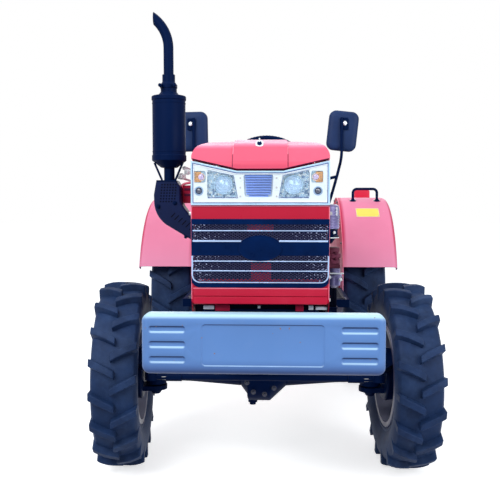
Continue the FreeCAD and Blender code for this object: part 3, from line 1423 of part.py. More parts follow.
def main():
    os.makedirs("parts", exist_ok=True)
    make_wheels()
    make_front_axle()
    make_steering()
    make_front_frame()
    make_bumper()
    make_front_mask()
    make_grille()
    make_lamp_panel()
    make_hood()
    make_cowl()
    make_engine()
    make_radiator()
    make_exhaust()
    make_driveline()
    make_rear_axle()
    make_platform()
    make_fenders()
    make_seat()
    make_steering_wheel()
    make_levers()
    make_pedals()
    make_mirrors()
    make_hitch()


main()
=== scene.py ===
"""Looks for the compact farm tractor: materials, tyres, lamps, grille and small fittings."""
import bmesh
import bpy
import json
from math import copysign, cos, exp, hypot, pi, radians, sin, sqrt, tan
from mathutils import Matrix, Vector
from mathutils.bvhtree import BVHTree


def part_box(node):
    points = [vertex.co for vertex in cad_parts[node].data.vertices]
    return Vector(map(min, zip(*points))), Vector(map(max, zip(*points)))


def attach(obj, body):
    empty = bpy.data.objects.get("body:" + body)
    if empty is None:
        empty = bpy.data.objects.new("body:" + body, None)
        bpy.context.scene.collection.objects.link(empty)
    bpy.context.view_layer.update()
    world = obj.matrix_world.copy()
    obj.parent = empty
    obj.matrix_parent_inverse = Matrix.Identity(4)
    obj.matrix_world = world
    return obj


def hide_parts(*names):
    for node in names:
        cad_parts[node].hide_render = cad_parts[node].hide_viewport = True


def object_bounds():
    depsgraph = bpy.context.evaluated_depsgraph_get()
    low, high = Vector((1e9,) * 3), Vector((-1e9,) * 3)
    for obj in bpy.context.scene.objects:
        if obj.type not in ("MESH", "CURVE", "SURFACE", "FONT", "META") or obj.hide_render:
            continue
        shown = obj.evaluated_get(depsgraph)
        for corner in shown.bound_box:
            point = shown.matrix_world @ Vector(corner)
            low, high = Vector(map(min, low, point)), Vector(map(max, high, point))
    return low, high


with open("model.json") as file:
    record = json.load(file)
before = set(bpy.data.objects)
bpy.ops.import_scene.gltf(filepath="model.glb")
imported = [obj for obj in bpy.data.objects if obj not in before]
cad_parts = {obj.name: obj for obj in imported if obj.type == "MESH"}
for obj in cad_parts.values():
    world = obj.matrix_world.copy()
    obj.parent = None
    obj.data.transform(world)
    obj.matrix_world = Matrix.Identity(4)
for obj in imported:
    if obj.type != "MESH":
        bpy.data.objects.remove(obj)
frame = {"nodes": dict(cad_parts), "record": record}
cad_lo, cad_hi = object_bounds()
nodes = frame["nodes"]


def vec(*xyz):
    return Vector(xyz)


X, Y, Z = vec(1, 0, 0), vec(0, 1, 0), vec(0, 0, 1)
SIDES = (1, -1)  # the tractor's left, at +X, and its right


# ---- materials ----
def feed(tree, node, inputs):
    """Sets a node's inputs to values, or wires those that are given a socket."""
    for key, value in inputs.items():
        if isinstance(value, bpy.types.NodeSocket):
            tree.links.new(value, node.inputs[key])
        else:
            node.inputs[key].default_value = value


def add_node(tree, kind, inputs, **properties):
    """A shader node with its inputs and its properties."""
    node = tree.nodes.new("ShaderNode" + kind)
    for name, value in properties.items():
        setattr(node, name, value)
    feed(tree, node, inputs)
    return node


def new_material(name):
    """A node material with its tree and its shader."""
    material = bpy.data.materials.new(name)
    material.use_nodes = True
    tree = material.node_tree
    tree.nodes.clear()
    shader = add_node(tree, "BsdfPrincipled", {})
    add_node(tree, "OutputMaterial", {0: shader.outputs[0]})
    return (material, tree, shader)


def noise_value(tree, scale, detail, rough=0.55):
    """Noise over the object's own coordinates."""
    coords = add_node(tree, "TexCoord", {})
    mapping = add_node(tree, "Mapping", {0: coords.outputs["Object"]})
    return add_node(tree, "TexNoise", {"Vector": mapping.outputs[0], "Scale": scale,
        "Detail": detail, "Roughness": rough}).outputs[0]


def ramp(tree, source, *stops):
    """A colour ramp on a value; each stop is a place with a colour or a grey level."""
    node = tree.nodes.new("ShaderNodeValToRGB")
    elements = node.color_ramp.elements
    while len(elements) < len(stops):
        elements.new(0.5)
    for element, (position, colour) in zip(elements, stops):
        element.position = position
        element.color = (*(colour if isinstance(colour, tuple) else (colour,) * 3), 1)
    tree.links.new(source, node.inputs[0])
    return node.outputs[0]


def mix_colour(tree, factor, a, b):
    """Mixes two colours: each is a socket or an RGB tuple."""
    a, b = [(*c, 1) if isinstance(c, tuple) else c for c in (a, b)]
    return add_node(tree, "Mix", {0: factor, 6: a, 7: b}, data_type="RGBA").outputs[2]


def bump(tree, shader, height, strength, distance=0.001):
    node = add_node(tree, "Bump", {"Strength": strength, "Distance": distance, "Height": height})
    tree.links.new(node.outputs[0], shader.inputs["Normal"])


def shade(colour, factor):
    return tuple((min(1.0, c * factor) for c in colour))


def component(tree, kind, axis):
    """One axis of the object's coordinates or of its normals."""
    coords = add_node(tree, "TexCoord", {})
    return add_node(tree, "SeparateXYZ", {0: coords.outputs[kind]}).outputs[axis]


def distance_aside(tree):
    """How far a point lies from the object's middle plane."""
    return add_node(tree, "Math", {0: component(tree, "Object", "X")},
        operation="ABSOLUTE").outputs[0]


def rise(tree, value, start, end, kind="SMOOTHSTEP"):
    """0 at the start rising to 1 at the end."""
    return add_node(tree, "MapRange", {"Value": value, "From Min": start, "From Max": end},
        interpolation_type=kind).outputs[0]


def paint(name, colour, roughness=0.32, coat=0.4, dirt=0.25, dirt_colour=(0.32, 0.27, 0.24),
        chips_and_glints=0.0, chip_and_glint_colour=(0.25, 0.1, 0.06), specular=0.4, top_highlight=None, shadowed=None,
        highlight_range=(0.15, 0.95), foot=None, inward_shade=None, edges=()):
    """Sprayed paint with tone change, orange peel, thin dust and speckles of a second colour, which
    are rust chips on some paints and painted glints on others. It may also carry a painted
    highlight on what faces up, painted shade on what faces down, painted shade on the walls that
    face the middle, tints over ranges of distance from the middle as painted shade on rolled
    edges, and a tint on what lies low, which is painted light on some paints and painted shade
    on others."""
    material, tree, shader = new_material(name)
    base = ramp(tree, noise_value(tree, 2.2, 3), (0.3, shade(colour, 0.93)),
        (0.7, shade(colour, 1.05)))
    dust = noise_value(tree, 9.0, 8, 0.65)
    top = mix_colour(tree, ramp(tree, dust, (0.52, 0), (0.86, dirt)), base, dirt_colour)
    # painted highlight: a lighter colour on what faces up
    if top_highlight:
        top = mix_colour(tree, rise(tree, component(tree, "Normal", "Z"), *highlight_range), top, top_highlight)
    # painted shade: a darker colour on what faces down
    if shadowed:
        top = mix_colour(tree, rise(tree, component(tree, "Normal", "Z"), -0.15, -0.7), top,
            shadowed)
    # painted shade on the walls that face the middle
    if inward_shade:
        coords = add_node(tree, "TexCoord", {}).outputs
        flip = add_node(tree, "VectorMath", {0: coords["Object"]}, operation="SIGN")
        across = add_node(tree, "VectorMath", {0: flip.outputs[0], 1: coords["Normal"]},
            operation="MULTIPLY")
        split = add_node(tree, "SeparateXYZ", {0: across.outputs[0]})
        top = mix_colour(tree, rise(tree, split.outputs["X"], -0.6, -0.9, "LINEAR"), top, inward_shade)
    # tints by distance from the middle, used as painted shade on rolled edges
    if edges:
        away = distance_aside(tree)
        for start, end, tint in edges:
            top = mix_colour(tree, rise(tree, away, start, end, "LINEAR"), top, tint)
    # a tint on what lies low: painted light on some paints, painted shade on others
    if foot:
        low, high, tint = foot
        top = mix_colour(tree, rise(tree, component(tree, "Object", "Z"), high, low), top, tint)
    # speckles of a second colour: rust chips on some paints, painted glints on others
    if chips_and_glints:
        spots = ramp(tree, noise_value(tree, 46.0, 3, 0.5), (0.735, 0), (0.755, chips_and_glints))
        top = mix_colour(tree, spots, top, chip_and_glint_colour)
    rough = ramp(tree, dust, (0.3, roughness * 0.8), (0.8, roughness * 1.5))
    feed(tree, shader, {"Base Color": top, "Roughness": rough, "Coat Weight": coat,
        "Coat Roughness": 0.12, "Specular IOR Level": specular})
    bump(tree, shader, noise_value(tree, 420.0, 2), 0.06)
    return material


def plain(name, colour, roughness=0.4, metallic=0.0, grain=300.0, strength=0.12, spread=0.12,
        coat=0.0, specular=0.5):
    """Moulded, cast or plated surface: tone and roughness drift with a fine grain."""
    material, tree, shader = new_material(name)
    tone = noise_value(tree, 12.0, 5)
    base = ramp(tree, tone, (0.3, shade(colour, 1 - spread)), (0.7, shade(colour, 1 + spread)))
    rough = ramp(tree, tone, (0.25, roughness * 0.8), (0.75, min(1, roughness * 1.25)))
    feed(tree, shader, {"Base Color": base, "Roughness": rough, "Metallic": metallic,
        "Coat Weight": coat, "Specular IOR Level": specular})
    bump(tree, shader, noise_value(tree, grain, 3), strength)
    return material


def rubber(name, colour, dust_colour, specular):
    """Tyre rubber: matt, dusty in patches."""
    material, tree, shader = new_material(name)
    base = ramp(tree, noise_value(tree, 14.0, 6, 0.6), (0.25, shade(colour, 0.7)),
        (0.75, shade(colour, 1.5)))
    mask = ramp(tree, noise_value(tree, 5.0, 8, 0.7), (0.47, 0), (0.72, 0.5))
    feed(tree, shader, {"Base Color": mix_colour(tree, mask, base, dust_colour), "Roughness": 0.62,
        "Specular IOR Level": specular})
    bump(tree, shader, noise_value(tree, 160.0, 5, 0.7), 0.35, 0.0012)
    return material


def glass(name, colour):
    """Clear lens."""
    material, tree, shader = new_material(name)
    feed(tree, shader, {"Base Color": (*colour, 1), "Roughness": 0.02, "Transmission Weight": 1.0,
        "IOR": 1.45})
    bump(tree, shader, noise_value(tree, 60.0, 2), 0.05)
    return material


def facets(name, dark, middle, light):
    """Moulded reflector and glass pattern: small cells between a dark and a bright tone."""
    material, tree, shader = new_material(name)
    coords = add_node(tree, "TexCoord", {})
    cells = add_node(tree, "TexVoronoi", {"Vector": coords.outputs["Object"], "Scale": 165.0})
    split = add_node(tree, "SeparateColor", {0: cells.outputs["Color"]})
    tone = ramp(tree, split.outputs[0], (0.16, dark), (0.3, middle), (0.62, middle), (0.86, light))
    feed(tree, shader, {"Base Color": tone, "Roughness": 0.3})
    bump(tree, shader, cells.outputs["Distance"], 0.25, 0.002)
    return material


def wire(name, colour, glint_colour):
    """Dark wire with painted glints in patches, more of them towards the sides."""
    material, tree, shader = new_material(name)
    near_side = ramp(tree, distance_aside(tree), (0.08, 0), (0.23, 0.13))
    spots = noise_value(tree, 150.0, 2, 0.5)
    total = add_node(tree, "Math", {0: spots, 1: near_side})
    where = ramp(tree, total.outputs[0], (0.7, 0), (0.76, 1))
    feed(tree, shader, {"Base Color": mix_colour(tree, where, colour, glint_colour), "Roughness": 0.35,
        "Specular IOR Level": 0.3})
    bump(tree, shader, noise_value(tree, 400.0, 2), 0.1)
    return material


RED = (0.5, 0.0055, 0.034)
PINK = (0.79, 0.088, 0.165)
ROSE = (0.97, 0.285, 0.455)
SLATE = (0.112, 0.245, 0.555)
NAVY = (0.0012, 0.0095, 0.05)
red_paint = paint("red_paint", RED, 0.34, 0.15, 0.1, (0.6, 0.08, 0.14), specular=0.2)
# hood paint: lighter on what faces up as a painted highlight, with pale speckles as painted glints
hood_paint = paint("hood_red", PINK, 0.38, 0.15, 0.16, (0.86, 0.25, 0.36), specular=0.25,
    chips_and_glints=0.45, chip_and_glint_colour=(0.96, 0.56, 0.7), top_highlight=(0.74, 0.22, 0.38), highlight_range=(0.6, 1.0))
# fender paint: painted shade on the walls that face the middle, a lighter low part as painted
# light, painted shade on the inner and outer rolled edges, and pale speckles as painted glints
fender_paint = paint("fender_red", ROSE, 0.45, 0.0, 0.16, (0.98, 0.45, 0.6), 0.5,
    (0.99, 0.52, 0.66), specular=0.05, inward_shade=(0.56, 0.022, 0.085),
    foot=(0.62, 0.92, (1.0, 0.37, 0.57)), edges=((0.446, 0.428, (0.66, 0.04, 0.115)),
    (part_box("fenders")[1].x - 0.02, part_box("fenders")[1].x - 0.011, (0.7, 0.07, 0.15))))
liner_red = paint("fender_liner", (0.4, 0.01, 0.05), 0.5, 0.0, 0.3, (0.5, 0.06, 0.12),
    specular=0.15)
# pale red: painted highlight on the surround's edges and the fender beads, and the guard strap
pale_red = paint("pale_red", (0.9, 0.2, 0.3), 0.4, 0.1, 0.2, (0.95, 0.45, 0.55), specular=0.25)
warm_red = paint("warm_red", (0.68, 0.022, 0.062), 0.36, 0.15, 0.15, (0.8, 0.12, 0.2),
    specular=0.2)
brace_red = plain("brace_red", (0.55, 0.008, 0.02), 0.4, 0.1, 120, 0.1, 0.5, specular=0.3)
# dark wine red: rubber of the battery cable, and painted shadow and shade on the hood's V edge, its
# creases and the strap slots
wine_rubber_and_shade = plain("wine_rubber_and_shade", (0.085, 0.006, 0.04), 0.5, 0, 300, 0.15, 0.3, specular=0.15)
# pale pink: painted highlight at the top of the hood's creases
pale_pink = plain("pink_highlight", (0.92, 0.4, 0.55), 0.35, 0, 200, 0.1, 0.1)
# slate paint: lighter on what faces up as a painted highlight, darker on what faces down and along
# its lowest band as painted shade; its speckles are rust chips
slate_paint = paint("slate_paint", SLATE, 0.42, 0.12, 0.25, (0.2, 0.3, 0.52), 0.9,
    (0.3, 0.16, 0.08), specular=0.25, top_highlight=(0.46, 0.7, 0.86), shadowed=(0.02, 0.045, 0.14),
    highlight_range=(0.2, 0.8), foot=(0.523, 0.58, (0.04, 0.085, 0.245)))
# pale slate: painted highlights on the bumper's lower lips and ends
lip_highlight = plain("slate_highlight", (0.34, 0.52, 0.8), 0.4, 0, 300, 0.15, 0.15)
# dark slate: painted shade along the bumper's underside
slate_shade = plain("slate_shade", (0.03, 0.065, 0.21), 0.5, 0, 300, 0.1, 0.2, specular=0.2)
black_paint = paint("black_paint", NAVY, 0.42, 0.0, 0.12, (0.012, 0.03, 0.1), specular=0.035)
# near-black: the black of the belt, radiator fins, dial marks and battery, and painted shade in the
# guard's perforations, the alternator's slots and on the baffles behind the grille
black_and_shade = plain("black_and_shade", (0.0006, 0.0018, 0.011), 0.6, 0, 300, 0.1, 0.2, specular=0.06)
beam_paint = paint("beam_paint", (0.003, 0.0075, 0.038), 0.3, 0.3, 0.3, (0.03, 0.04, 0.12),
    specular=0.3)
engine_paint = plain("engine_casting", (0.02, 0.026, 0.055), 0.5, 0.2, 190, 0.3, 0.3, specular=0.3)
# wheel paint: darker on the walls that face the middle, painted shade inside the wheel
wheel_paint = paint("wheel_paint", (0.33, 0.34, 0.46), 0.42, 0.1, 0.35, (0.2, 0.18, 0.24),
    inward_shade=(0.035, 0.035, 0.085))
guard_paint = plain("guard_paint", (0.0042, 0.012, 0.06), 0.38, 0, 300, 0.1, 0.25, specular=0.12)
black_plastic = plain("black_plastic", (0.0012, 0.01, 0.053), 0.45, 0, 500, 0.15, specular=0.03)
mirror_shell = plain("mirror_shell", (0.015, 0.036, 0.112), 0.42, 0, 420, 0.2, specular=0.12)
chrome = plain("chrome", (0.8, 0.84, 0.92), 0.09, 1.0, 40, 0.03, 0.04)
steel = plain("bright_steel", (0.55, 0.56, 0.6), 0.28, 1.0, 260, 0.15)
zinc = plain("zinc_bolts", (0.5, 0.5, 0.52), 0.38, 0.9, 300, 0.2)
dull_zinc = plain("dull_zinc", (0.17, 0.18, 0.22), 0.45, 0.8, 300, 0.2, 0.2)
tyre_rubber = rubber("tyre_rubber", (0.0085, 0.024, 0.074), (0.05, 0.095, 0.215), 0.18)
hose_rubber = plain("hose_rubber", (0.006, 0.01, 0.024), 0.6, 0, 240, 0.3, specular=0.25)
vinyl = plain("seat_vinyl", (0.014, 0.014, 0.018), 0.5, 0, 650, 0.5, 0.2, 0.05)
lens_glass = glass("lens_glass", (0.95, 0.985, 1.0))
amber = plain("amber_lens", (1.0, 0.4, 0.13), 0.2, 0, 120, 0.1, 0.3, 0.3)
red_lens = plain("red_lens", (0.5, 0.015, 0.03), 0.15, 0, 90, 0.1, 0.1, 0.4)
mirror_glass = plain("mirror_glass", (0.56, 0.61, 0.69), 0.04, 1.0, 20, 0.01, 0.02)
yellow = plain("yellow_plate", (0.98, 0.83, 0.1), 0.45, 0, 200, 0.06, 0.05)
peach = plain("peach", (0.98, 0.78, 0.72), 0.25, 0, 120, 0.06, 0.1, 0.3)
bright_white = plain("bright_white", (0.86, 0.92, 0.97), 0.2, 0.35, 60, 0.03, 0.04, 0.3)
panel_white = plain("panel_white", (0.8, 0.9, 0.96), 0.28, 0.15, 90, 0.04, 0.05, 0.2)
line_blue = plain("line_blue", (0.055, 0.11, 0.34), 0.3, 0.3, 200, 0.05, 0.2)
lamp_silver = plain("lamp_silver", (0.5, 0.72, 0.9), 0.3, 0.2, 80, 0.08, 0.1)
lamp_rib = plain("lamp_rib", (0.3, 0.45, 0.66), 0.35, 0.2, 80, 0.08, 0.15)
lamp_facets = facets("lamp_facets", (0.13, 0.27, 0.48), (0.5, 0.72, 0.9), (0.94, 0.99, 1.0))
bulb_blue = plain("bulb_blue", (0.4, 0.57, 0.8), 0.25, 0.2, 90, 0.04, 0.1, 0.3)
bulb_violet = plain("bulb_violet", (0.62, 0.5, 0.8), 0.2, 0.1, 90, 0.04, 0.08, 0.4)
louvre_blue = plain("louvre_blue", (0.3, 0.45, 0.88), 0.4, 0.1, 300, 0.08, 0.1)
dark_glass = plain("dark_glass", (0.02, 0.035, 0.09), 0.06, 0.0, 60, 0.03, 0.1, 0.8, 0.6)
trim_blue = plain("trim_blue", (0.44, 0.58, 0.86), 0.25, 0.6, 200, 0.04, 0.12)
# grille wire: dark, with painted glints in patches
mesh_metal = wire("mesh_metal", (0.012, 0.014, 0.062), (0.44, 0.49, 0.74))
black_gloss = plain("black_gloss", (0.0008, 0.0115, 0.064), 0.3, 0.0, 300, 0.06, 0.25, 0.0, 0.035)
lavender = plain("lavender_coat", (0.17, 0.15, 0.36), 0.3, 0.2, 160, 0.12, 0.5, 0.2)
yellow_edge = plain("yellow_edge", (1.0, 0.9, 0.42), 0.45, 0, 200, 0.06, 0.05)
rust = plain("rusty_casting", (0.13, 0.026, 0.055), 0.6, 0.1, 140, 0.4, 0.6, specular=0.2)
gauge_white = plain("gauge_face", (0.86, 0.88, 0.9), 0.35, 0, 200, 0.03, 0.04)
needle_red = plain("needle", (0.75, 0.03, 0.04), 0.4, 0, 100, 0.03, 0.05)
deep_red = paint("deep_red", (0.56, 0.014, 0.048), 0.38, 0.1, 0.15, (0.7, 0.1, 0.17), specular=0.2)
vinyl_cord = plain("seat_piping_vinyl", (0.05, 0.05, 0.06), 0.45, 0, 420, 0.3, 0.2)
amber_plain = plain("amber_plain", (0.95, 0.36, 0.05), 0.2, 0, 120, 0.08, 0.12, 0.4)
white_plastic = plain("white_plastic", (0.72, 0.78, 0.86), 0.3, 0, 240, 0.05, 0.05)
BY_SLOT = {"red_paint": red_paint, "slate_paint": slate_paint, "black_paint": black_paint,
    "engine_paint": engine_paint, "wheel_paint": wheel_paint, "tyre_rubber": tyre_rubber,
    "black_plastic": black_plastic, "bright_steel": steel, "bright_trim": chrome,
    "clear_lens": lens_glass, "amber_lens": amber, "red_lens": red_lens, "seat_vinyl": vinyl}
slot_of = {s["node"]: s["material_slot"] for s in frame["record"]["subparts"]}


def dress(node, material):
    """Gives a CAD node its material."""
    slots = nodes[node].material_slots
    if not slots:
        nodes[node].data.materials.append(material)
    for s in slots:
        s.material = material


for node in nodes:
    dress(node, BY_SLOT[slot_of[node]])
dress("hood", hood_paint)
dress("fenders", fender_paint)
dress("lamp_panel", panel_white)
dress("front_frame", beam_paint)
dress("front_axle", black_plastic)
dress("exhaust_elbow", guard_paint)


# ---- mesh helpers ----
def add_object(name, data):
    obj = bpy.data.objects.new(name, data)
    bpy.context.scene.collection.objects.link(obj)
    return obj


def mm(*values):
    """Pairs of numbers, from millimetres to metres."""
    return [(a / 1000, b / 1000) for a, b in zip(values[::2], values[1::2])]


def make_piece(name, bm, material, bevel=0.0, segments=2, sharp=32, body="chassis"):
    """A piece from a bmesh: sharp edges by angle, optional bevel, riding on a body."""
    bmesh.ops.recalc_face_normals(bm, faces=bm.faces)
    for face in bm.faces:
        face.smooth = True
    limit = radians(sharp)
    for edge in bm.edges:
        edge.smooth = len(edge.link_faces) == 2 and edge.calc_face_angle(0) < limit
    mesh = bpy.data.meshes.new(name)
    bm.to_mesh(mesh)
    bm.free()
    mesh.materials.append(material)
    obj = add_object(name, mesh)
    if bevel:
        modifier = obj.modifiers.new("bevel", "BEVEL")
        modifier.width = bevel
        modifier.segments = segments
        modifier.limit_method = "ANGLE"
        modifier.angle_limit = limit
        modifier.harden_normals = False
    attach(obj, body)
    return obj


def meshes(count):
    return [bmesh.new() for _ in range(count)]


def add_box(bm, low, high):
    """A block between two corners."""
    made = bmesh.ops.create_cube(bm, size=1)["verts"]
    low, high = Vector(low), Vector(high)
    size = high - low
    for v in made:
        v.co = vec(v.co.x * size.x, v.co.y * size.y, v.co.z * size.z) + (low + high) / 2


def frame_from(axis):
    axis = Vector(axis).normalized()
    side = axis.cross(Z if abs(axis.z) < 0.9 else X).normalized()
    return (axis, side, axis.cross(side))


def add_skin(bm, outer, holes):
    """A flat face that looks forward inside a loop of vertices, with the holes left open."""
    edges = []
    for loop in [outer] + holes:
        for a, b in zip(loop, loop[1:] + loop[:1]):
            edges.append(bm.edges.get((a, b)) or bm.edges.new((a, b)))
    bmesh.ops.triangle_fill(bm, use_beauty=True, use_dissolve=False, edges=edges,
        normal=(0, -1, 0))


def add_lathe(bm, centre, axis, profile, count=32):
    """A turned form: profile is (distance along axis, radius) pairs."""
    axis, side, up = frame_from(axis)
    centre = Vector(centre)
    rings = []
    for along, radius in profile:
        if radius < 1e-07:
            rings.append([bm.verts.new(centre + axis * along)])
            continue
        rings.append([bm.verts.new(centre + axis * along + side * (radius
            * cos(2 * pi * i / count)) + up * (radius * sin(2 * pi * i / count)))
            for i in range(count)])
    for a, b in zip(rings, rings[1:]):
        for i in range(count):
            j = (i + 1) % count
            if len(a) == 1 and len(b) == 1:
                continue
            if len(a) == 1:
                bm.faces.new((a[0], b[i], b[j]))
            elif len(b) == 1:
                bm.faces.new((a[i], b[0], a[j]))
            else:
                bm.faces.new((a[i], b[i], b[j], a[j]))
    return rings


def add_bolt(bm, at, axis, size=0.013):
    """A hexagon bolt head on its washer; size is across the flats."""
    add_lathe(bm, at, axis, [(0, size * 0.85), (size * 0.15, size * 0.85), (size * 0.15, 0)], 20)
    add_lathe(bm, at, axis, [(size * 0.1, size * 0.577), (size * 0.68, size * 0.577),
        (size * 0.78, size * 0.45), (size * 0.78, 0)], 6)


def tube(name, points, radius, material, body="chassis"):
    """A round tube through points, as a curve."""
    curve = bpy.data.curves.new(name, "CURVE")
    curve.dimensions = "3D"
    curve.bevel_depth = radius
    curve.bevel_resolution = 6
    curve.use_fill_caps = True
    spline = curve.splines.new("NURBS")
    spline.points.add(len(points) - 1)
    for point, co in zip(spline.points, points):
        point.co = (*co, 1)
    spline.order_u = 3
    spline.use_endpoint_u = True
    spline.resolution_u = 10
    obj = add_object(name, curve)
    curve.materials.append(material)
    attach(obj, body)
    return obj


# ---- shape helpers ----
joint = {j["name"]: j for j in frame["record"]["behaviour"]["joints"]}
trees = {}


def hit(node, origin, direction):
    """First point and normal of a CAD node along a ray."""
    if node not in trees:
        mesh = nodes[node].data
        trees[node] = BVHTree.FromPolygons([v.co for v in mesh.vertices],
            [p.vertices for p in mesh.polygons])
    point, normal, _, _ = trees[node].ray_cast(Vector(origin), Vector(direction))
    if normal.dot(Vector(direction)) > 0:
        normal = -normal
    return (point, normal)


def inset(points, distance):
    """An anticlockwise outline of (x, z) points moved inward."""
    if not distance:
        return points
    moved = []
    for i, here in enumerate(points):
        before, after = Vector(points[i - 1]), Vector(points[(i + 1) % len(points)])
        a = (Vector(here) - before).normalized()
        b = (after - Vector(here)).normalized()
        left, right = Vector((-a.y, a.x)), Vector((-b.y, b.x))
        moved.append(tuple(Vector(here) + (left + right) * (distance / (1 + left.dot(right)))))
    return moved


def rounded(points, radius, steps=5):
    """The outline with its corners rounded."""
    made = []
    for i, here in enumerate(points):
        here = Vector(here)
        back = (Vector(points[i - 1]) - here).normalized()
        ahead = (Vector(points[(i + 1) % len(points)]) - here).normalized()
        half = back.angle(ahead) / 2
        reach = radius / tan(half)
        middle = here + (back + ahead).normalized() * (radius / sin(half))
        start = here + back * reach - middle
        end = here + ahead * reach - middle
        for k in range(steps + 1):
            mixed = start.lerp(end, k / steps)
            made.append(tuple(middle + mixed.normalized() * radius))
    return made


def bridge(bm, rings, closed=False):
    """Faces between rings that have as many vertices, and over both ends when closed."""
    for a, b in zip(rings, rings[1:]):
        for k in range(len(a)):
            n = (k + 1) % len(a)
            bm.faces.new((a[k], a[n], b[n], b[k]))
    if closed:
        bm.faces.new(rings[0])
        bm.faces.new(rings[-1])


def ring_at(bm, line, y):
    """Vertices along an (x, z) outline at y."""
    return [bm.verts.new((x, y, z)) for x, z in line]


def add_prism(bm, points, y0, y1):
    """A plate with an (x, z) outline between y0 and y1."""
    front, back = ring_at(bm, points, y0), ring_at(bm, points, y1)
    bm.faces.new(front)
    bm.faces.new(back)
    bridge(bm, [front, back])


def add_band(bm, outer, inner, y0, y1):
    """A flat frame between two outlines with as many points."""
    rings = [ring_at(bm, line, y) for line, y in ((outer, y0), (inner, y0), (inner, y1),
        (outer, y1))]
    bridge(bm, rings + rings[:1])


def add_bar(bm, start, end, width, depth, across):
    """A straight bar of rectangular section; across is the direction of its width."""
    start, end = Vector(start), Vector(end)
    along = (end - start).normalized()
    side = Vector(across) - along * Vector(across).dot(along)
    side = side.normalized() * (width / 2)
    up = along.cross(side).normalized() * (depth / 2)
    rings = [[bm.verts.new(at + side * a + up * b) for a, b in ((-1, -1), (1, -1), (1, 1),
        (-1, 1))] for at in (start, end)]
    bm.faces.new(rings[0])
    bm.faces.new(rings[1])
    bridge(bm, rings)


CORNERS = ((0, 0), (1, 0), (1, 1), (0, 1))


def rectangle(x0, x1, z0, z1, radius=0.0, steps=5):
    """An anticlockwise outline with rounded corners."""
    line = [(x0, z0), (x1, z0), (x1, z1), (x0, z1)]
    return rounded(line, radius, steps) if radius else line


def add_slab(bm, front, thickness):
    """A block from four front corners and its thickness along +Y."""
    made = [bm.verts.new(c) for c in front + [c + Y * thickness for c in front]]
    for face in ((0, 1, 2, 3), (4, 5, 6, 7), (0, 1, 5, 4), (1, 2, 6, 5), (2, 3, 7, 6),
            (3, 0, 4, 7)):
        bm.faces.new([made[k] for k in face])


def both(side, a, b):
    """Two distances from the middle plane as ascending x on one side."""
    return sorted([side * a, side * b])


def patch(corners, u, v):
    """A point of a four-cornered patch, its corners anticlockwise from the lower left."""
    a, b, c, d = [Vector(p) for p in corners]
    return a.lerp(b, u).lerp(d.lerp(c, u), v)


# ---- tyres ----
def interpolate(table, x):
    """Linear reading of a table of (x, value)."""
    for (x0, v0), (x1, v1) in zip(table, table[1:]):
        if x <= x1:
            return v0 + (v1 - v0) * (x - x0) / (x1 - x0)
    return table[-1][1]


FRONT = {"half": 90.0, "profile": [(58, 203.6), (64, 206), (66, 214), (71, 222), (73, 227),
    (70.5, 231), (78, 246), (86, 270), (89, 292), (88.3, 312), (85, 330), (77, 341), (62, 347),
    (35, 350.5), (0, 351.5)], "lugs": 18, "lead": 50.0, "bar": 14.0, "nose": -8.0, "drop": 13.0,
    "toe": 301.0}
REAR = {"half": 120.5, "profile": [(90, 305.6), (99, 309), (102, 318), (107, 328), (109, 334),
    (106, 339), (113, 362), (119, 392), (120, 420), (118.5, 445), (114, 468), (103, 482),
    (82, 489), (48, 493), (0, 494.5)], "lugs": 20, "lead": 80.0, "bar": 17.5, "nose": -10.0,
    "drop": 18.0, "toe": 432.0}


def make_tyre(node, body, spec):
    """Smooth carcass with bead ribs, and bars that run down over the shoulder."""
    lo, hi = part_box(node)
    spin = joint[body.replace("_wheel", "") + "_spin"]
    centre, axis = Vector(spin["pos_m"]), Vector(spin["axis"])
    ahead = Z.cross(axis)
    radius = (hi.z - lo.z) / 2 * 1000
    half = spec["half"]
    profile = spec["profile"]
    outer = profile + [(-x, r) for x, r in reversed(profile[:-1])]
    bm = bmesh.new()
    add_lathe(bm, centre, axis, [(x / 1000, r / 1000) for x, r in outer], 144)
    side_table = [(x, r) for x, r in reversed(profile) if r > spec["toe"] - 20]
    count = spec["lugs"]
    step = pi / count

    def place(x, t, r, angle):
        phi = angle - t / radius
        return centre + (axis * x - ahead * (r * cos(phi)) + Z * (r * sin(phi))) / 1000
    for i in range(count):
        for side in SIDES:
            angle = (2 * i + 0.5 * side) * step
            sections = []
            for s in (0.0, 0.05, 0.2, 0.4, 0.6, 0.8, 0.93, 1.0):
                x = spec["nose"] + (half - 0.6 - spec["nose"]) * s
                t = spec["lead"] * (0.5 - s ** 0.9)
                crown = radius - 0.4 - spec["drop"] * max(0.0, (s - 0.35) / 0.65) ** 2.2
                foot = interpolate(side_table, abs(x)) - 5
                grow = 1.0 if s < 0.9 else 1.08
                bar = spec["bar"] * grow * (0.86 if s == 0 else 1.0)
                if s == 1.0:
                    foot = spec["toe"]
                if s == 0.0:
                    crown -= 1.5
                draft = 5.5 if s < 1.0 else -1.0
                sections.append([bm.verts.new(place(side * x, t + u, r, angle))
                    for u, r in ((-bar - draft, foot), (-bar, crown), (bar, crown),
                    (bar + draft, foot))])
            for a, b in zip(sections, sections[1:]):
                for k in range(3):
                    bm.faces.new((a[k], a[k + 1], b[k + 1], b[k]))
            bm.faces.new(sections[0])
            bm.faces.new(sections[-1])
    name = node + "_tread"
    obj = make_piece(name, bm, tyre_rubber, 0.0032, sharp=30, body=body)
    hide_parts(node)
    return obj


for side in ("left", "right"):
    make_tyre("front_tyre_" + side, "front_wheel_" + side, FRONT)
    make_tyre("rear_tyre_" + side, "rear_wheel_" + side, REAR)


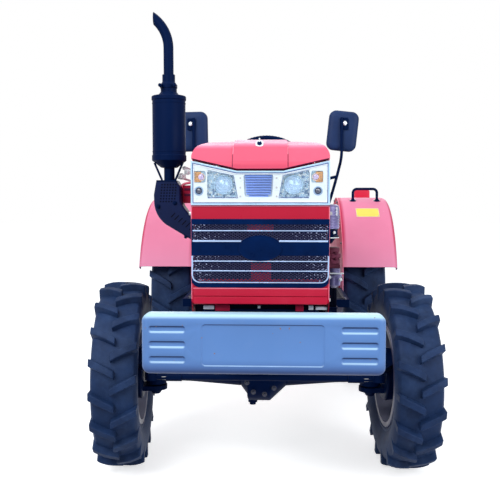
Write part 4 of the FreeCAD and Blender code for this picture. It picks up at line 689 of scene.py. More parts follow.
# ---- lamp panel ----
panel_lo, panel_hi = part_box("lamp_panel")
face_y = panel_lo.y
V_HALF = 0.084  # half the level run of the panel's upper edge
V_DROP = 0.037  # that run lies this far below the corners
panel_outline = [(panel_lo.x, panel_lo.z), (panel_hi.x, panel_lo.z), (panel_hi.x, panel_hi.z),
    (V_HALF, panel_hi.z - V_DROP), (-V_HALF, panel_hi.z - V_DROP), (panel_lo.x, panel_hi.z)]


def aside(side):
    """The lamps on the left of the tractor sit a little further in."""
    return -0.0135 if side > 0 else 0.0


def lamp_quad(side, lo, hi):
    shift = aside(side)
    return [(side * (hi.x - 0.115) + shift, 0, lo.z + 0.0005),
        (side * (hi.x - 0.0035) + shift, 0, lo.z + 0.0005), (side * (hi.x - 0.0035) + shift, 0,
        hi.z - 0.011), (side * (hi.x - 0.1) + shift, 0, hi.z - 0.031)]


VENT = ((-0.056, 0.0297), (0.044, 0.0297), (0.0485, 0.1115), (-0.0605, 0.1115))
TURN = (0.1975, 0.2405, 0.082, 0.124)  # inner and outer edge, foot and head above the panel


def make_panel_plate():
    """The panel itself: bays for the lamps and a recess for the louvres."""
    bm = bmesh.new()
    lo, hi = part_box("headlamp_lenses")
    holes = []
    for side in SIDES:
        quad = [(x, z) for x, _, z in lamp_quad(side, lo, hi)]
        if side < 0:
            quad = quad[::-1]
        holes.append((inset(rounded(quad, 0.008, 4), 0.0008), 0.019))
        x0, x1 = sorted((side * TURN[0] + aside(side), side * TURN[1] + aside(side)))
        z0, z1 = panel_lo.z + TURN[2], panel_lo.z + TURN[3]
        holes.append((rectangle(x0, x1, z0, z1, 0.006, 4), 0.016))
        x, z = side * (panel_hi.x - 0.03) + aside(side), panel_lo.z + 0.0517
        holes.append(([(x + 0.013 * cos(k * pi / 16), z + 0.013 * sin(k * pi / 16))
            for k in range(32)], 0.0125))
    holes.append((rounded([(x, panel_lo.z + z) for x, z in VENT], 0.01, 4), 0.013))
    outer = [ring_at(bm, inset(panel_outline, d), y) for d, y in ((0.001, panel_hi.y),
        (0.0002, panel_hi.y - 0.001), (0.0002, face_y + 0.0012), (0.0014, face_y))]
    bridge(bm, outer)
    bm.faces.new(outer[0])
    loops = []
    for line, depth in holes:
        front, back = ring_at(bm, line, face_y), ring_at(bm, line, face_y + depth)
        bridge(bm, [front, back])
        bm.faces.new(back)
        loops.append(front)
    add_skin(bm, outer[-1], loops)
    plate = make_piece("lamp_panel_plate", bm, panel_white, sharp=40)
    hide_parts("lamp_panel")


def make_panel_border():
    """Three nested frames round the panel: silver, a blue line and white."""
    for name, material, outer, inner, proud, sunk, bevel in (("border", lamp_silver, 0.0005,
            0.0068, 0.004, 0.0, 0.0012), ("line", line_blue, 0.0069, 0.0098, 0.0026, 0.001, 0.0),
            ("inner_border", bright_white, 0.0099, 0.0135, 0.0026, 0.0, 0.0008)):
        bm = bmesh.new()
        add_band(bm, inset(panel_outline, outer), inset(panel_outline, inner), face_y - proud,
            face_y + sunk)
        make_piece("lamp_panel_" + name, bm, material, bevel)


def make_headlamps():
    """Fluted covers in front of a ribbed housing, a reflector bowl and its bulb."""
    lo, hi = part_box("headlamp_lenses")
    y = face_y
    covers, housing, bowls, bulbs, seams, plates = meshes(6)
    for side in SIDES:
        quad = lamp_quad(side, lo, hi)
        columns = 76
        front, back = [], []
        for i in range(columns + 1):
            u = i / columns
            flute = 0.0011 * abs(sin(pi * 17 * u))
            for row, shift, crown in ((front, 0.0012, 0.0022), (back, 0.0042, 0.0)):
                row.append([covers.verts.new(patch(quad, 0.01 + 0.98 * u, 0.01 + 0.98 * v)
                    + Y * (y + shift + (flute if row is back else 0) - crown * sin(pi * v)))
                    for v in (0, 0.12, 0.35, 0.65, 0.88, 1)])
        for row in (front, back):
            for a, b in zip(row, row[1:]):
                for k in range(5):
                    covers.faces.new((a[k], b[k], b[k + 1], a[k + 1]))
        for i in range(columns):
            for k in (0, 5):
                covers.faces.new((front[i][k], front[i + 1][k], back[i + 1][k], back[i][k]))
        for i in (0, columns):
            for k in range(5):
                covers.faces.new((front[i][k], front[i][k + 1], back[i][k + 1], back[i][k]))
        # ribbed housing behind, stepped towards the outside
        add_slab(plates, [patch(quad, u, v) + Y * (y + 0.0182) for u, v in CORNERS], 0.001)
        ribs = 17
        for i in range(ribs):
            u0, u1 = i / ribs + 0.012, (i + 0.34) / ribs
            depth = y + 0.0165 - 0.004 * (i % 2)
            add_slab(housing, [patch(quad, u, v) + Y * depth for u, v in rectangle(u0, u1, 0.03,
                0.97)], 0.003)
        centre = vec(side * (hi.x - 0.062) + aside(side), y + 0.014, lo.z + 0.048)
        add_lathe(bowls, centre, -Y, mm(0, 30, 5.5, 31.5, 7, 33, 6, 34.5, 0, 35), 48)
        add_lathe(bulbs, centre, -Y, mm(0, 30.5, 2.2, 30, 3, 22, 1.8, 20, 3.8, 12, 6.4, 8.5, 8.2,
            4, 8.6, 0), 40)
        for k in range(17):
            x = side * (hi.x - 0.112 + 0.0064 * k) + aside(side)
            tall = 0.0016 + 0.0011 * (k * 7 % 5) / 4
            wide = 0.0022 + 0.0018 * (k * 5 % 7) / 6
            z = lo.z + 0.0005 + 0.0012 * (k * 3 % 4) / 3
            add_box(seams, (x - wide, y - 0.0019, z), (x + wide, y - 0.0005, z + tall))
        for a, b in ((quad[0], quad[3]), (quad[3], quad[2])):
            add_bar(seams, Vector(a) + Y * (y - 0.0004), Vector(b) + Y * (y - 0.0004), 0.0012,
                0.0012, X)
    cover = make_piece("headlamp_covers", covers, lens_glass, sharp=60)
    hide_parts("headlamp_lenses")
    make_piece("headlamp_housings", housing, lamp_rib, 0.0004, 1)
    make_piece("headlamp_facets", plates, lamp_facets)
    make_piece("headlamp_bowls", bowls, lamp_silver)
    make_piece("headlamp_bulbs", bulbs, bulb_blue)
    make_piece("headlamp_seams", seams, line_blue)


def make_turn_lamps():
    """Clear covers, an amber filter on the outer half and a violet bulb on the inner one."""
    covers, filters, bulbs, backs, glows = meshes(5)
    low, high = panel_lo.z + TURN[2], panel_lo.z + TURN[3]
    for side in SIDES:
        inner, outer = side * TURN[0] + aside(side), side * TURN[1] + aside(side)
        x0, x1 = sorted((inner, outer))
        plate = rectangle(x0 + 0.0004, x1 - 0.0004, low, high, 0.006)
        add_prism(covers, plate, face_y - 0.0005, face_y + 0.0016)
        add_prism(backs, inset(plate, 0.0006), face_y + 0.0142, face_y + 0.0155)
        a0, a1 = sorted((inner + side * 0.017, outer - side * 0.001))
        steps = 6
        for i in range(steps):
            z0 = low + 0.002 + (high - low - 0.004) * i / steps
            z1 = low + 0.002 + (high - low - 0.004) * (i + 0.86) / steps
            add_prism(filters, [(a0, z0), (a1, z0), (a1, z1), (a0, z1)], face_y + 0.006,
                face_y + 0.0085)
        at = vec(inner + side * 0.0175, face_y + 0.013, (low + high) / 2 - 0.001)
        add_lathe(bulbs, at, -Y, mm(0, 11.2, 5, 11.2, 8.8, 9.2, 11, 5, 11.8, 0), 28)
        add_lathe(glows, at, -Y, mm(0, 15, 5.2, 15, 6, 13.8, 5.6, 11.4, 0, 11.2), 28)
    cover = make_piece("turn_lamp_covers", covers, lens_glass)
    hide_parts("turn_lenses")
    make_piece("turn_lamp_filters", filters, amber, 0.0006)
    make_piece("turn_lamp_backs", backs, lamp_silver)
    make_piece("turn_lamp_rings", glows, peach)
    make_piece("turn_lamp_bulbs", bulbs, bulb_violet)


def make_panel_fittings():
    """Round side lamps, the louvred vent and the screws beside it."""
    rings, glasses, slats, screws = meshes(4)
    for side in SIDES:
        at = vec(side * (panel_hi.x - 0.03) + aside(side), face_y, panel_lo.z + 0.0517)
        add_lathe(rings, at + Y * 0.006, -Y, mm(0, 16.5, 6.8, 16.5, 8, 15.5, 8, 12.5, 6, 11.8, 0,
            11.6), 40)
        add_lathe(glasses, at + Y * 0.01, -Y, mm(0, 11.8, 7, 11.8, 9.6, 9.5, 11.2, 5, 11.6, 0), 36)
        add_lathe(screws, at - Y * 0.0012 + vec(0.0005, 0, 0.0045), -Y, mm(0, 3, 0.6, 2.6, 0.8, 0),
            14)
        for dz in (0.032, 0.064, 0.098):
            add_lathe(screws, vec(side * 0.0655 - 0.006, face_y, panel_lo.z + dz), -Y,
                mm(0, 3.6, 0.8, 3.6, 1.6, 2.6, 1.8, 0), 16)
    vent_bottom, vent_top = panel_lo.z + VENT[0][1], panel_lo.z + VENT[2][1]
    count = 9
    for i in range(count):
        s = (i + 0.5) / count
        z = vent_bottom + (vent_top - vent_bottom) * s
        half = 0.0435 + 0.006 * s - (0.009 if i == 0 else 0)
        step = (vent_top - vent_bottom) / count
        lower, upper = z - step * 0.42, z + step * 0.3
        profile = [(face_y + 0.0005, lower), (face_y + 0.0105, upper),
            (face_y + 0.0115, upper - 0.001), (face_y + 0.0018, lower - 0.0012)]
        ends = [[slats.verts.new((x - 0.006, y, z)) for y, z in profile] for x in (-half, half)]
        slats.faces.new(ends[0])
        slats.faces.new(ends[1])
        bridge(slats, ends)
    make_piece("side_lamp_rings", rings, lamp_rib)
    make_piece("side_lamp_lenses", glasses, dark_glass)
    make_piece("vent_louvres", slats, louvre_blue)
    make_piece("panel_screws", screws, zinc)


make_panel_plate()
make_panel_border()
make_headlamps()
make_turn_lamps()
make_panel_fittings()


# ---- grille ----
grille_lo, grille_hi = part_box("grille")
mask_lo, mask_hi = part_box("front_mask")
FACE = mask_lo.y  # front of the red surround
GRILLE_HALF = mask_hi.x - 0.0022
FRAME = 0.004  # width of the frame beside the opening
BARS = (0.2065, 0.0955, 0.06)  # cross bars above the grille's foot
BAND_RISE = 0.144  # foot of the grille to the middle of its wide band
BAND_HALF = 0.027
OVAL = (0.08, 0.047)
STRIP_RISE = 0.019  # foot of the grille to its bright lower strip


def grille_line(inset_by, foot, head, radius):
    """The grille's outline with round lower corners, anticlockwise from the lower left."""
    half = GRILLE_HALF - inset_by
    low, high = grille_lo.z + foot, grille_hi.z - head
    corners = rectangle(-half, half, low, high, radius, 6)
    return corners[:14] + [(half, high), (-half, high)]


def make_grille():
    """Black frame, cross bars and the wide middle band, standing just proud of the red surround."""
    bm = bmesh.new()
    outer = grille_line(0, 0, 0, 0.03)
    inner = grille_line(FRAME, 0.016, 0.02, 0.026)
    add_band(bm, outer, inner, FACE - 0.003, FACE + 0.004)
    half = GRILLE_HALF - FRAME / 2
    front = FACE - 0.0026
    for rise in BARS:
        z = grille_lo.z + rise
        add_box(bm, (-half, front, z - 0.0042), (half, FACE - 0.0004, z + 0.0012))
    z = grille_lo.z + BAND_RISE
    add_box(bm, (-half, front, z - BAND_HALF), (half, FACE - 0.0004, z + BAND_HALF))
    frame_piece = make_piece("grille_frame", bm, black_gloss, 0.0009)
    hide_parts("grille")
    # the blank oval: a shallow dome with a rolled edge
    bm = bmesh.new()
    steps = 64
    rings = []
    for scale, proud in ((1.0, 0.0002), (1.0, 0.0022), (0.985, 0.0034), (0.955, 0.0034),
            (0.94, 0.0026), (0.7, 0.0035), (0.35, 0.004)):
        rings.append([bm.verts.new((OVAL[0] * scale * cos(2 * pi * k / steps), front - proud,
            z + OVAL[1] * scale * sin(2 * pi * k / steps))) for k in range(steps)])
    bridge(bm, rings, True)
    make_piece("grille_oval", bm, black_gloss)


def make_mesh_screen():
    """Crossed wires in diamonds over the whole opening, with painted glints in patches."""
    x0, x1 = -GRILLE_HALF + FRAME, GRILLE_HALF - FRAME
    z0, z1 = grille_lo.z + 0.0155, grille_hi.z - 0.0195
    pitch, rise = 0.015, 0.0092
    slope = rise / pitch
    bm = bmesh.new()
    for lean, depth in ((slope, FACE - 0.0012), (-slope, FACE - 0.0002)):
        count = int(((x1 - x0) * slope + (z1 - z0)) / rise) + 1
        for i in range(1, count):
            base = z0 - (x1 - x0) * slope + i * rise if lean > 0 else z0 + i * rise
            ends = sorted((x0 + (z - base) / lean for z in (z0, z1)))
            a, b = max(x0, ends[0]), min(x1, ends[1])
            if b - a < 0.004:
                continue
            add_bar(bm, (a, depth, base + lean * (a - x0)), (b, depth, base + lean * (b - x0)),
                0.0027, 0.0013, Z)
    screen = make_piece("grille_screen", bm, mesh_metal)
    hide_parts("grille_mesh")
    # dark baffles that close the gap beside the radiator, the rim behind the wires and a plate
    # on the radiator's front; their near-black is painted shade behind the grille
    radiator_lo, radiator_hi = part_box("radiator")
    bm = bmesh.new()
    for side in SIDES:
        a, b = both(side, radiator_hi.x - 0.004, mask_hi.x - 0.008)
        add_box(bm, (a, radiator_lo.y + 0.012, mask_lo.z + 0.02),
            (b, radiator_lo.y + 0.016, mask_hi.z - 0.012))
        a, b = both(side, grille_hi.x - 0.0012, GRILLE_HALF - 0.001)
        add_box(bm, (a, FACE - 0.0004, z0), (b, FACE + 0.0002, z1))
    add_box(bm, (-GRILLE_HALF + 0.03, radiator_lo.y + 0.0035, mask_lo.z + 0.05),
        (GRILLE_HALF - 0.03, radiator_lo.y + 0.0055, mask_hi.z - 0.03))
    make_piece("grille_baffles", bm, black_and_shade, 0.0004, 1)
    # red brace and lip that show through the screen
    bm = bmesh.new()
    foot = FACE + 0.02
    add_box(bm, (-0.034, foot, z0 - 0.012), (0.04, foot + 0.004, z0 + 0.098))
    add_box(bm, (-0.048, foot, z1 - 0.03), (0.05, foot + 0.004, z1 + 0.01))
    add_box(bm, (-x1 + 0.02, foot - 0.006, z0 - 0.01), (x1 - 0.02, foot - 0.002, z0 + 0.014))
    make_piece("grille_brace", bm, brace_red, 0.001)


def make_grille_trim():
    """Bright lines on the cross bars, and the strip that runs down, round and up again."""
    half = GRILLE_HALF - FRAME - 0.001
    front = FACE - 0.003
    bm = bmesh.new()
    for rise in BARS:
        at = grille_lo.z + rise
        add_box(bm, (-half, front - 0.0016, at - 0.0008), (half, front + 0.001, at + 0.003))
    top = grille_lo.z + BAND_RISE + BAND_HALF
    reach = OVAL[0] * sqrt(1 - (BAND_HALF / OVAL[1]) ** 2) + 0.003
    for side in SIDES:
        a, b = both(side, reach, half)
        add_box(bm, (a, front - 0.0024, top - 0.0042), (b, front + 0.001, top + 0.0022))
    make_piece("grille_lines", bm, trim_blue, 0.0006)
    bm = bmesh.new()
    low = grille_lo.z + STRIP_RISE
    reach_up = top - 0.055
    radius = 0.028
    edge = GRILLE_HALF - 0.003
    path = [Vector((-edge, reach_up))]
    for corner_x, start in ((-edge, pi), (edge, 1.5 * pi)):
        centre = Vector((corner_x + (radius if corner_x < 0 else -radius), low + radius))
        path += [centre + radius * Vector((cos(start + pi / 2 * k / 10),
            sin(start + pi / 2 * k / 10))) for k in range(11)]
    path.append(Vector((edge, reach_up)))
    for k, (a, b) in enumerate(zip(path, path[1:])):
        upright = abs((b - a).y) / (b - a).length
        wide = 0.0034 + 0.0016 * upright
        add_bar(bm, (a.x, front - 0.0005, a.y), (b.x, front - 0.0005, b.y), wide, 0.0028,
            ((b - a).y, 0, -(b - a).x))
    make_piece("grille_strip", bm, trim_blue, sharp=50)


make_grille()
make_mesh_screen()
make_grille_trim()


# ---- red surround and bumper ----
MASK_FOOT = mask_lo.z + 0.072  # the front plate ends here; the sides run lower behind it
SWAGE = 0.026


def make_mask():
    """Folded red surround: plate round the grille, swaged foot, rounded edges, side panels."""
    half = mask_hi.x
    outer = rectangle(-half, half, MASK_FOOT, mask_hi.z, 0.016, 6)
    hole = grille_line(0.0006, 0.0006, 0.0, 0.03)
    hole = hole[:14] + [(x, grille_hi.z - 0.0006) for x in [hole[-2][0]] * 7 + [hole[-1][0]] * 7]
    bm = bmesh.new()
    rings = [ring_at(bm, line, y) for line, y in ((hole, FACE + 0.014), (hole, FACE + 0.0012),
        (inset(outer, 0.012), FACE), (inset(outer, 0.0035), FACE + 0.001),
        (inset(outer, 0.0008), FACE + 0.0045), (outer, FACE + 0.012), (outer, FACE + 0.022),
        (inset(outer, 0.002), FACE + 0.022))]
    bridge(bm, rings)
    face = make_piece("mask_front", bm, red_paint, sharp=40)
    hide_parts("front_mask")
    bm = bmesh.new()
    rear = mask_hi.y
    for side in SIDES:
        x0, x1 = side * half, side * (half - 0.002)
        side_line = [(FACE + 0.014, MASK_FOOT + 0.01), (FACE + 0.06, mask_lo.z),
            (rear - 0.012, mask_lo.z), (rear, mask_lo.z + 0.012), (rear, mask_hi.z),
            (FACE + 0.014, mask_hi.z)]
        walls = [[bm.verts.new((x, y, z)) for y, z in side_line] for x in (x0, x1)]
        for wall in walls:
            bm.faces.new(wall)
        bridge(bm, walls)
        # pressed louvres on the side panel
        for k in range(6):
            z = mask_lo.z + 0.15 + 0.034 * k
            add_box(bm, (min(x0, x0 + side * 0.0035), FACE + 0.06, z),
                (max(x0, x0 + side * 0.0035), rear - 0.04, z + 0.014))
    make_piece("mask_sides", bm, red_paint, 0.0028, 3)
    bm = bmesh.new()
    low = MASK_FOOT + 0.0035
    lip = grille_lo.z - 0.0016
    for a, b, proud in ((low, low + SWAGE, 0.0016), (low + SWAGE + 0.003, lip - 0.004, 0.0034)):
        add_box(bm, (-half + 0.01, FACE - proud, a), (half - 0.01, FACE + 0.001, b))
    make_piece("mask_swage", bm, deep_red, 0.0026, 3)
    # pale red strips under the grille, along both sides and along the top: painted highlights on
    # the surround's edges
    bm = bmesh.new()
    add_box(bm, (-half + 0.008, FACE - 0.0036, lip - 0.0034), (half - 0.008, FACE + 0.001, lip))
    for side in SIDES:
        x0, x1 = both(side, half - 0.0008, half - 0.0044)
        add_box(bm, (x0, FACE + 0.0006, MASK_FOOT + 0.02), (x1, FACE + 0.003, mask_hi.z - 0.004))
    add_box(bm, (-half + 0.004, FACE - 0.0006, mask_hi.z - 0.0046),
        (half - 0.004, FACE + 0.002, mask_hi.z - 0.0006))
    make_piece("mask_edge_highlights", bm, pale_red, 0.001, 3)
    bm = bmesh.new()
    for side in SIDES:
        for z, y in ((mask_lo.z + 0.08, 0.09), (mask_hi.z - 0.03, 0.03), (mask_hi.z - 0.03, 0.15)):
            add_bolt(bm, (side * half, FACE + y, z), (side, 0, 0), 0.012)
    make_piece("mask_bolts", bm, zinc)


bumper_lo, bumper_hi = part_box("front_bumper")
BUMPER_X = (bumper_lo.x + bumper_hi.x) / 2
BUMPER_Z = (bumper_lo.z + bumper_hi.z) / 2
SLOT = (0.125, 0.026, 0.05)  # length, height and pitch of the pressed slots


def make_bumper():
    """Pressed guard with rounded edges, three recessed slots at each end and a blank panel."""
    bm = bmesh.new()
    outline = rectangle(bumper_lo.x, bumper_hi.x, bumper_lo.z, bumper_hi.z, 0.026, 8)
    front, back, roll = bumper_lo.y, bumper_hi.y, 0.021
    layers = [(0.0, back), (0.0, front + roll)]
    for k in range(1, 7):
        a = pi / 2 * k / 6
        layers.append((roll * (1 - cos(a)), front + roll * (1 - sin(a))))
    rings = [ring_at(bm, inset(outline, d), y) for d, y in layers]
    inner = [(0.003, back), (0.003, front + roll), (0.022, front + 0.0085)]
    rear = [ring_at(bm, inset(outline, d), y) for d, y in inner]
    bridge(bm, rings)
    bridge(bm, rings[:1] + rear)
    bm.faces.new(rear[-1])
    presses = []
    for side in SIDES:
        x0, x1 = sorted((BUMPER_X + side * 0.377, BUMPER_X + side * (0.377 - SLOT[0])))
        for i in (-1, 0, 1):
            z = BUMPER_Z + i * SLOT[2]
            presses.append(((x0, x1, z - SLOT[1] / 2, z + SLOT[1] / 2), 0.011, 0.0068, 0.0075))
    presses.append(((BUMPER_X - 0.203, BUMPER_X + 0.203, BUMPER_Z - 0.072, BUMPER_Z + 0.069),
        0.014, 0.0034, 0.0052))
    holes = []
    for (x0, x1, z0, z1), radius, depth, lean in presses:
        line = rectangle(x0, x1, z0, z1, radius, 5)
        steps = [(0, 0), (lean * 0.25, depth * 0.12), (lean * 0.75, depth * 0.85), (lean, depth)]
        loops = [ring_at(bm, inset(line, d), front + y) for d, y in steps]
        bridge(bm, loops)
        bm.faces.new(loops[-1])
        holes.append(loops[0])
    add_skin(bm, rings[-1], holes)
    guard = make_piece("bumper_guard", bm, slate_paint, sharp=48)
    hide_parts("front_bumper")
    # pale strips on the lower lip of each press and near both ends of the guard: painted highlights
    pale = bmesh.new()
    for x0, x1, z0, depth in [(a[0], a[1], a[2], d) for a, _, d, _ in presses]:
        add_box(pale, (x0 + 0.006, front + depth * 0.25, z0 + 0.001),
            (x1 - 0.006, front + depth * 0.25 + 0.0015, z0 + 0.0036))
    for side in SIDES:
        x = BUMPER_X + side * (bumper_hi.x - bumper_lo.x) / 2
        x0, x1 = sorted((x - side * 0.0046, x - side * 0.0066))
        add_box(pale, (x0, front + 0.0105, bumper_lo.z + 0.03), (x1, front + 0.012,
            bumper_hi.z - 0.03))
    make_piece("bumper_highlights", pale, lip_highlight, 0.0007)
    # a dark strip along the guard's underside: painted shade
    bm = bmesh.new()
    add_box(bm, (bumper_lo.x + 0.018, back - 0.03, bumper_lo.z - 0.0004),
        (bumper_hi.x - 0.018, back - 0.001, bumper_lo.z + 0.0026))
    make_piece("bumper_underside_shade", bm, slate_shade, 0.0008)
    bm = bmesh.new()
    for side in SIDES:
        for z in (BUMPER_Z - 0.03, BUMPER_Z + 0.03):
            add_bolt(bm, (side * 0.142, back + 0.05, z), (side, 0, 0), 0.017)
    make_piece("bumper_arm_bolts", bm, zinc)


make_mask()
make_bumper()


# ---- hood ----
hood_lo, hood_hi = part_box("hood")


def make_lock():
    """Round lock on the nose: escutcheon, dark barrel and the stub of its key."""
    point, normal = hit("hood", (-0.004, FACE + 0.056, 2.0), -Z)
    metal, dark = meshes(2)
    axis = (normal - Y * 0.9).normalized()
    add_lathe(metal, point - axis * 0.004, axis, mm(0, 15.5, 7.5, 15.5, 9.5, 14, 9.8, 9.5, 8, 8.5,
        8, 0), 36)
    add_lathe(dark, point + axis * 0.0042, axis, mm(0, 8, 2.2, 8, 3, 6, 3, 0), 28)
    head = point + axis * 0.006 + Z * 0.011
    add_box(metal, head - vec(0.0022, 0.003, 0.006), head + vec(0.0022, 0.003, 0.008))
    add_bar(metal, point + axis * 0.0065 - Z * 0.004, point + axis * 0.0068 - Z * 0.0115, 0.0035,
        0.0025, X)
    make_piece("hood_lock", metal, bright_white, 0.0006, body="hood")
    make_piece("hood_lock_barrel", dark, black_gloss, body="hood")


def make_hood_trim():
    """A dark strip along the V edge as painted shadow under the hood's edge, painted shade lines
    beside the raised middle topped by a painted highlight, and louvres in the skirts.
    """
    # dark strip along the V edge: painted shadow under the hood's edge
    bm = bmesh.new()
    corner = panel_hi.z + 0.0052
    middle = corner - V_DROP
    front = FACE - 0.0045
    run = [(-hood_hi.x + 0.006, corner), (-V_HALF, middle), (V_HALF, middle),
        (hood_hi.x - 0.006, corner)]
    for a, b in zip(run, run[1:]):
        add_bar(bm, (a[0], front, a[1] + 0.0012), (b[0], front, b[1] + 0.0012), 0.003, 0.004, Z)
    make_piece("hood_edge_shadow", bm, wine_rubber_and_shade, 0.0008, body="hood")
    # along each edge of the raised middle: a dark line below as painted shade and a pale pink line
    # above as painted highlight
    bm = bmesh.new()
    shine = bmesh.new()
    for side in SIDES:
        line = []
        for k in range(9):
            z = middle + 0.008 + 0.0092 * k
            point, normal = hit("hood", (side * 0.0995, FACE - 0.2, z), Y)
            line.append(point + normal * 0.0006)
        for a, b in zip(line[:6], line[1:7]):
            add_bar(bm, a, b, 0.0034, 0.0016, X)
        for a, b in zip(line[5:], line[6:]):
            add_bar(shine, a + Z * 0.001, b + Z * 0.001, 0.0034, 0.0016, X)
    make_piece("hood_crease_shade", bm, wine_rubber_and_shade, body="hood")
    make_piece("hood_crease_highlight", shine, pale_pink, body="hood")
    # pressed louvres in both skirts
    bm = bmesh.new()
    for side in SIDES:
        for k in range(11):
            y = FACE + 0.36 + 0.024 * k
            z0, z1 = hood_lo.z + 0.055, hood_lo.z + 0.125
            section = [(0.0, -0.0005), (0.004, 0.0052), (0.0105, 0.0056), (0.0125, 0.0015),
                (0.0125, -0.0005)]
            ends = []
            for z, scale in ((z0, 0.15), (z0 + 0.006, 1.0), (z1 - 0.006, 1.0), (z1, 0.15)):
                ends.append([bm.verts.new((side * (hood_hi.x + out * scale - 0.0003), y + along,
                    z)) for along, out in section])
            bridge(bm, ends, True)
    make_piece("hood_louvres", bm, hood_paint, sharp=40, body="hood")
    bm = bmesh.new()
    for side in SIDES:
        a, b = both(side, hood_hi.x - 0.0006, hood_hi.x + 0.0022)
        add_box(bm, (a, FACE + 0.2, hood_lo.z + 0.148), (b, hood_hi.y - 0.05, hood_lo.z + 0.16))
    make_piece("hood_side_moulding", bm, black_gloss, 0.0015, 3, body="hood")
    catches = bmesh.new()
    for side in SIDES:
        at = vec(side * (hood_hi.x + 0.0005), FACE + 0.3, hood_lo.z + 0.012)
        add_box(catches, at - vec(0.002, 0.012, 0.01), at + vec(0.002, 0.012, 0.018))
        add_lathe(catches, at + vec(side * 0.002, 0, 0.008), (side, 0, 0),
            mm(0, 7, 5, 7, 6, 5, 6, 0), 20)
    make_piece("hood_catches", catches, zinc, 0.001, body="hood")


make_lock()
make_hood_trim()


# ---- mirrors and exhaust ----
def lying(x, z, y):
    """Lays an outline of (x, y) points flat, with the depth along Z."""
    return vec(x, y, z)


def add_shell(bm, layers, outline, place):
    """Nested outlines at different depths, closed at both ends: layers are (inset, depth) pairs."""
    rings = []
    for shrink, depth in layers:
        rings.append([bm.verts.new(place(x, depth, z)) for x, z in inset(outline, shrink)])
    bridge(bm, rings, True)


def make_mirrors():
    """Rounded shells turned a little on their ball clamps; the stems stand in front of them."""
    lo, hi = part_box("mirrors")
    arm_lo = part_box("mirror_arms")[0]
    shells, glasses, clamps, balls = meshes(4)
    front = lo.y
    half_x, half_z = 0.074, 0.0985
    middle_z = (lo.z + hi.z) / 2
    for side, outer, tilt in ((1, hi.x, -6.0), (-1, -lo.x, 1.0)):
        centre = vec(side * (outer - half_x - 0.0025), 0, middle_z)
        turn = Matrix.Rotation(radians(tilt), 3, "Y").inverted()

        def place(x, y, z):
            return turn @ vec(x, 0, z) + centre + Y * y
        body = rectangle(-half_x, half_x, -half_z, half_z, 0.036, 8)
        add_shell(shells, [(0.03, front + 0.0002), (0.014, front + 0.002), (0.005, front + 0.0068),
            (0.001, front + 0.013), (0, front + 0.0195), (0, hi.y - 0.0006), (0.0025, hi.y),
            (0.0045, hi.y), (0.006, hi.y - 0.003)], body, place)
        add_shell(glasses, [(0.0062, hi.y - 0.0035), (0.0062, hi.y - 0.0022),
            (0.02, hi.y - 0.0016)], body, place)
        plate = rectangle(-0.021, 0.021, -0.03, 0.03, 0.007, 4)
        ball = centre + vec(side * 0.006, 0, 0.034)
        add_shell(clamps, [(0, front + 0.0025), (0, front - 0.004), (0.0015, front - 0.0055),
            (0.006, front - 0.0055)], plate, lambda x, y, z: vec(x, 0, z) + ball + Y * y)
        add_lathe(balls, vec(ball.x + side * 0.003, front - 0.0055, ball.z + 0.002), -Y,
            mm(0, 10.5, 3, 11.2, 6, 9.5, 8.5, 6, 9.5, 0), 24)
        stem = vec(ball.x - side * 0.012, front - 0.011, ball.z + 0.03)
        reach = outer - half_x
        root = vec(side * 0.24, arm_lo.y + 0.007, arm_lo.z + 0.007)
        at_x = side * reach
        tube("mirror_stem_" + ("left" if side > 0 else "right"),
            [root, (at_x - side * 0.125, root.y, root.z), (at_x - side * 0.074, root.y,
            root.z + 0.004), (at_x - side * 0.06, root.y, root.z + 0.04),
            (at_x - side * 0.028, root.y, root.z + 0.155), (at_x - side * 0.016, root.y,
            root.z + 0.205), (at_x - side * 0.0125, front + 0.006, root.z + 0.225),
            (stem.x, stem.y, root.z + 0.262), (stem.x, stem.y, root.z + 0.3), stem], 0.0072,
            black_paint)
        brace_z = root.z + 0.11
        tube("mirror_brace_" + ("left" if side > 0 else "right"),
            [(side * 0.24, root.y, brace_z), (side * 0.262, root.y, brace_z + 0.001),
            (side * 0.285, root.y, brace_z + 0.022), (side * 0.312, root.y, brace_z + 0.038),
            (at_x - side * 0.026, root.y, brace_z + 0.046)], 0.0075, black_paint)
        for z in (root.z, brace_z):
            add_bolt(clamps, (side * 0.2395, root.y, z), (side, 0, 0), 0.02)
    shell = make_piece("mirror_shells", shells, mirror_shell, sharp=50)
    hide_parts("mirrors", "mirror_arms")
    make_piece("mirror_faces", glasses, mirror_glass)
    make_piece("mirror_clamps", clamps, black_paint, 0.0008)
    make_piece("mirror_balls", balls, bright_white)


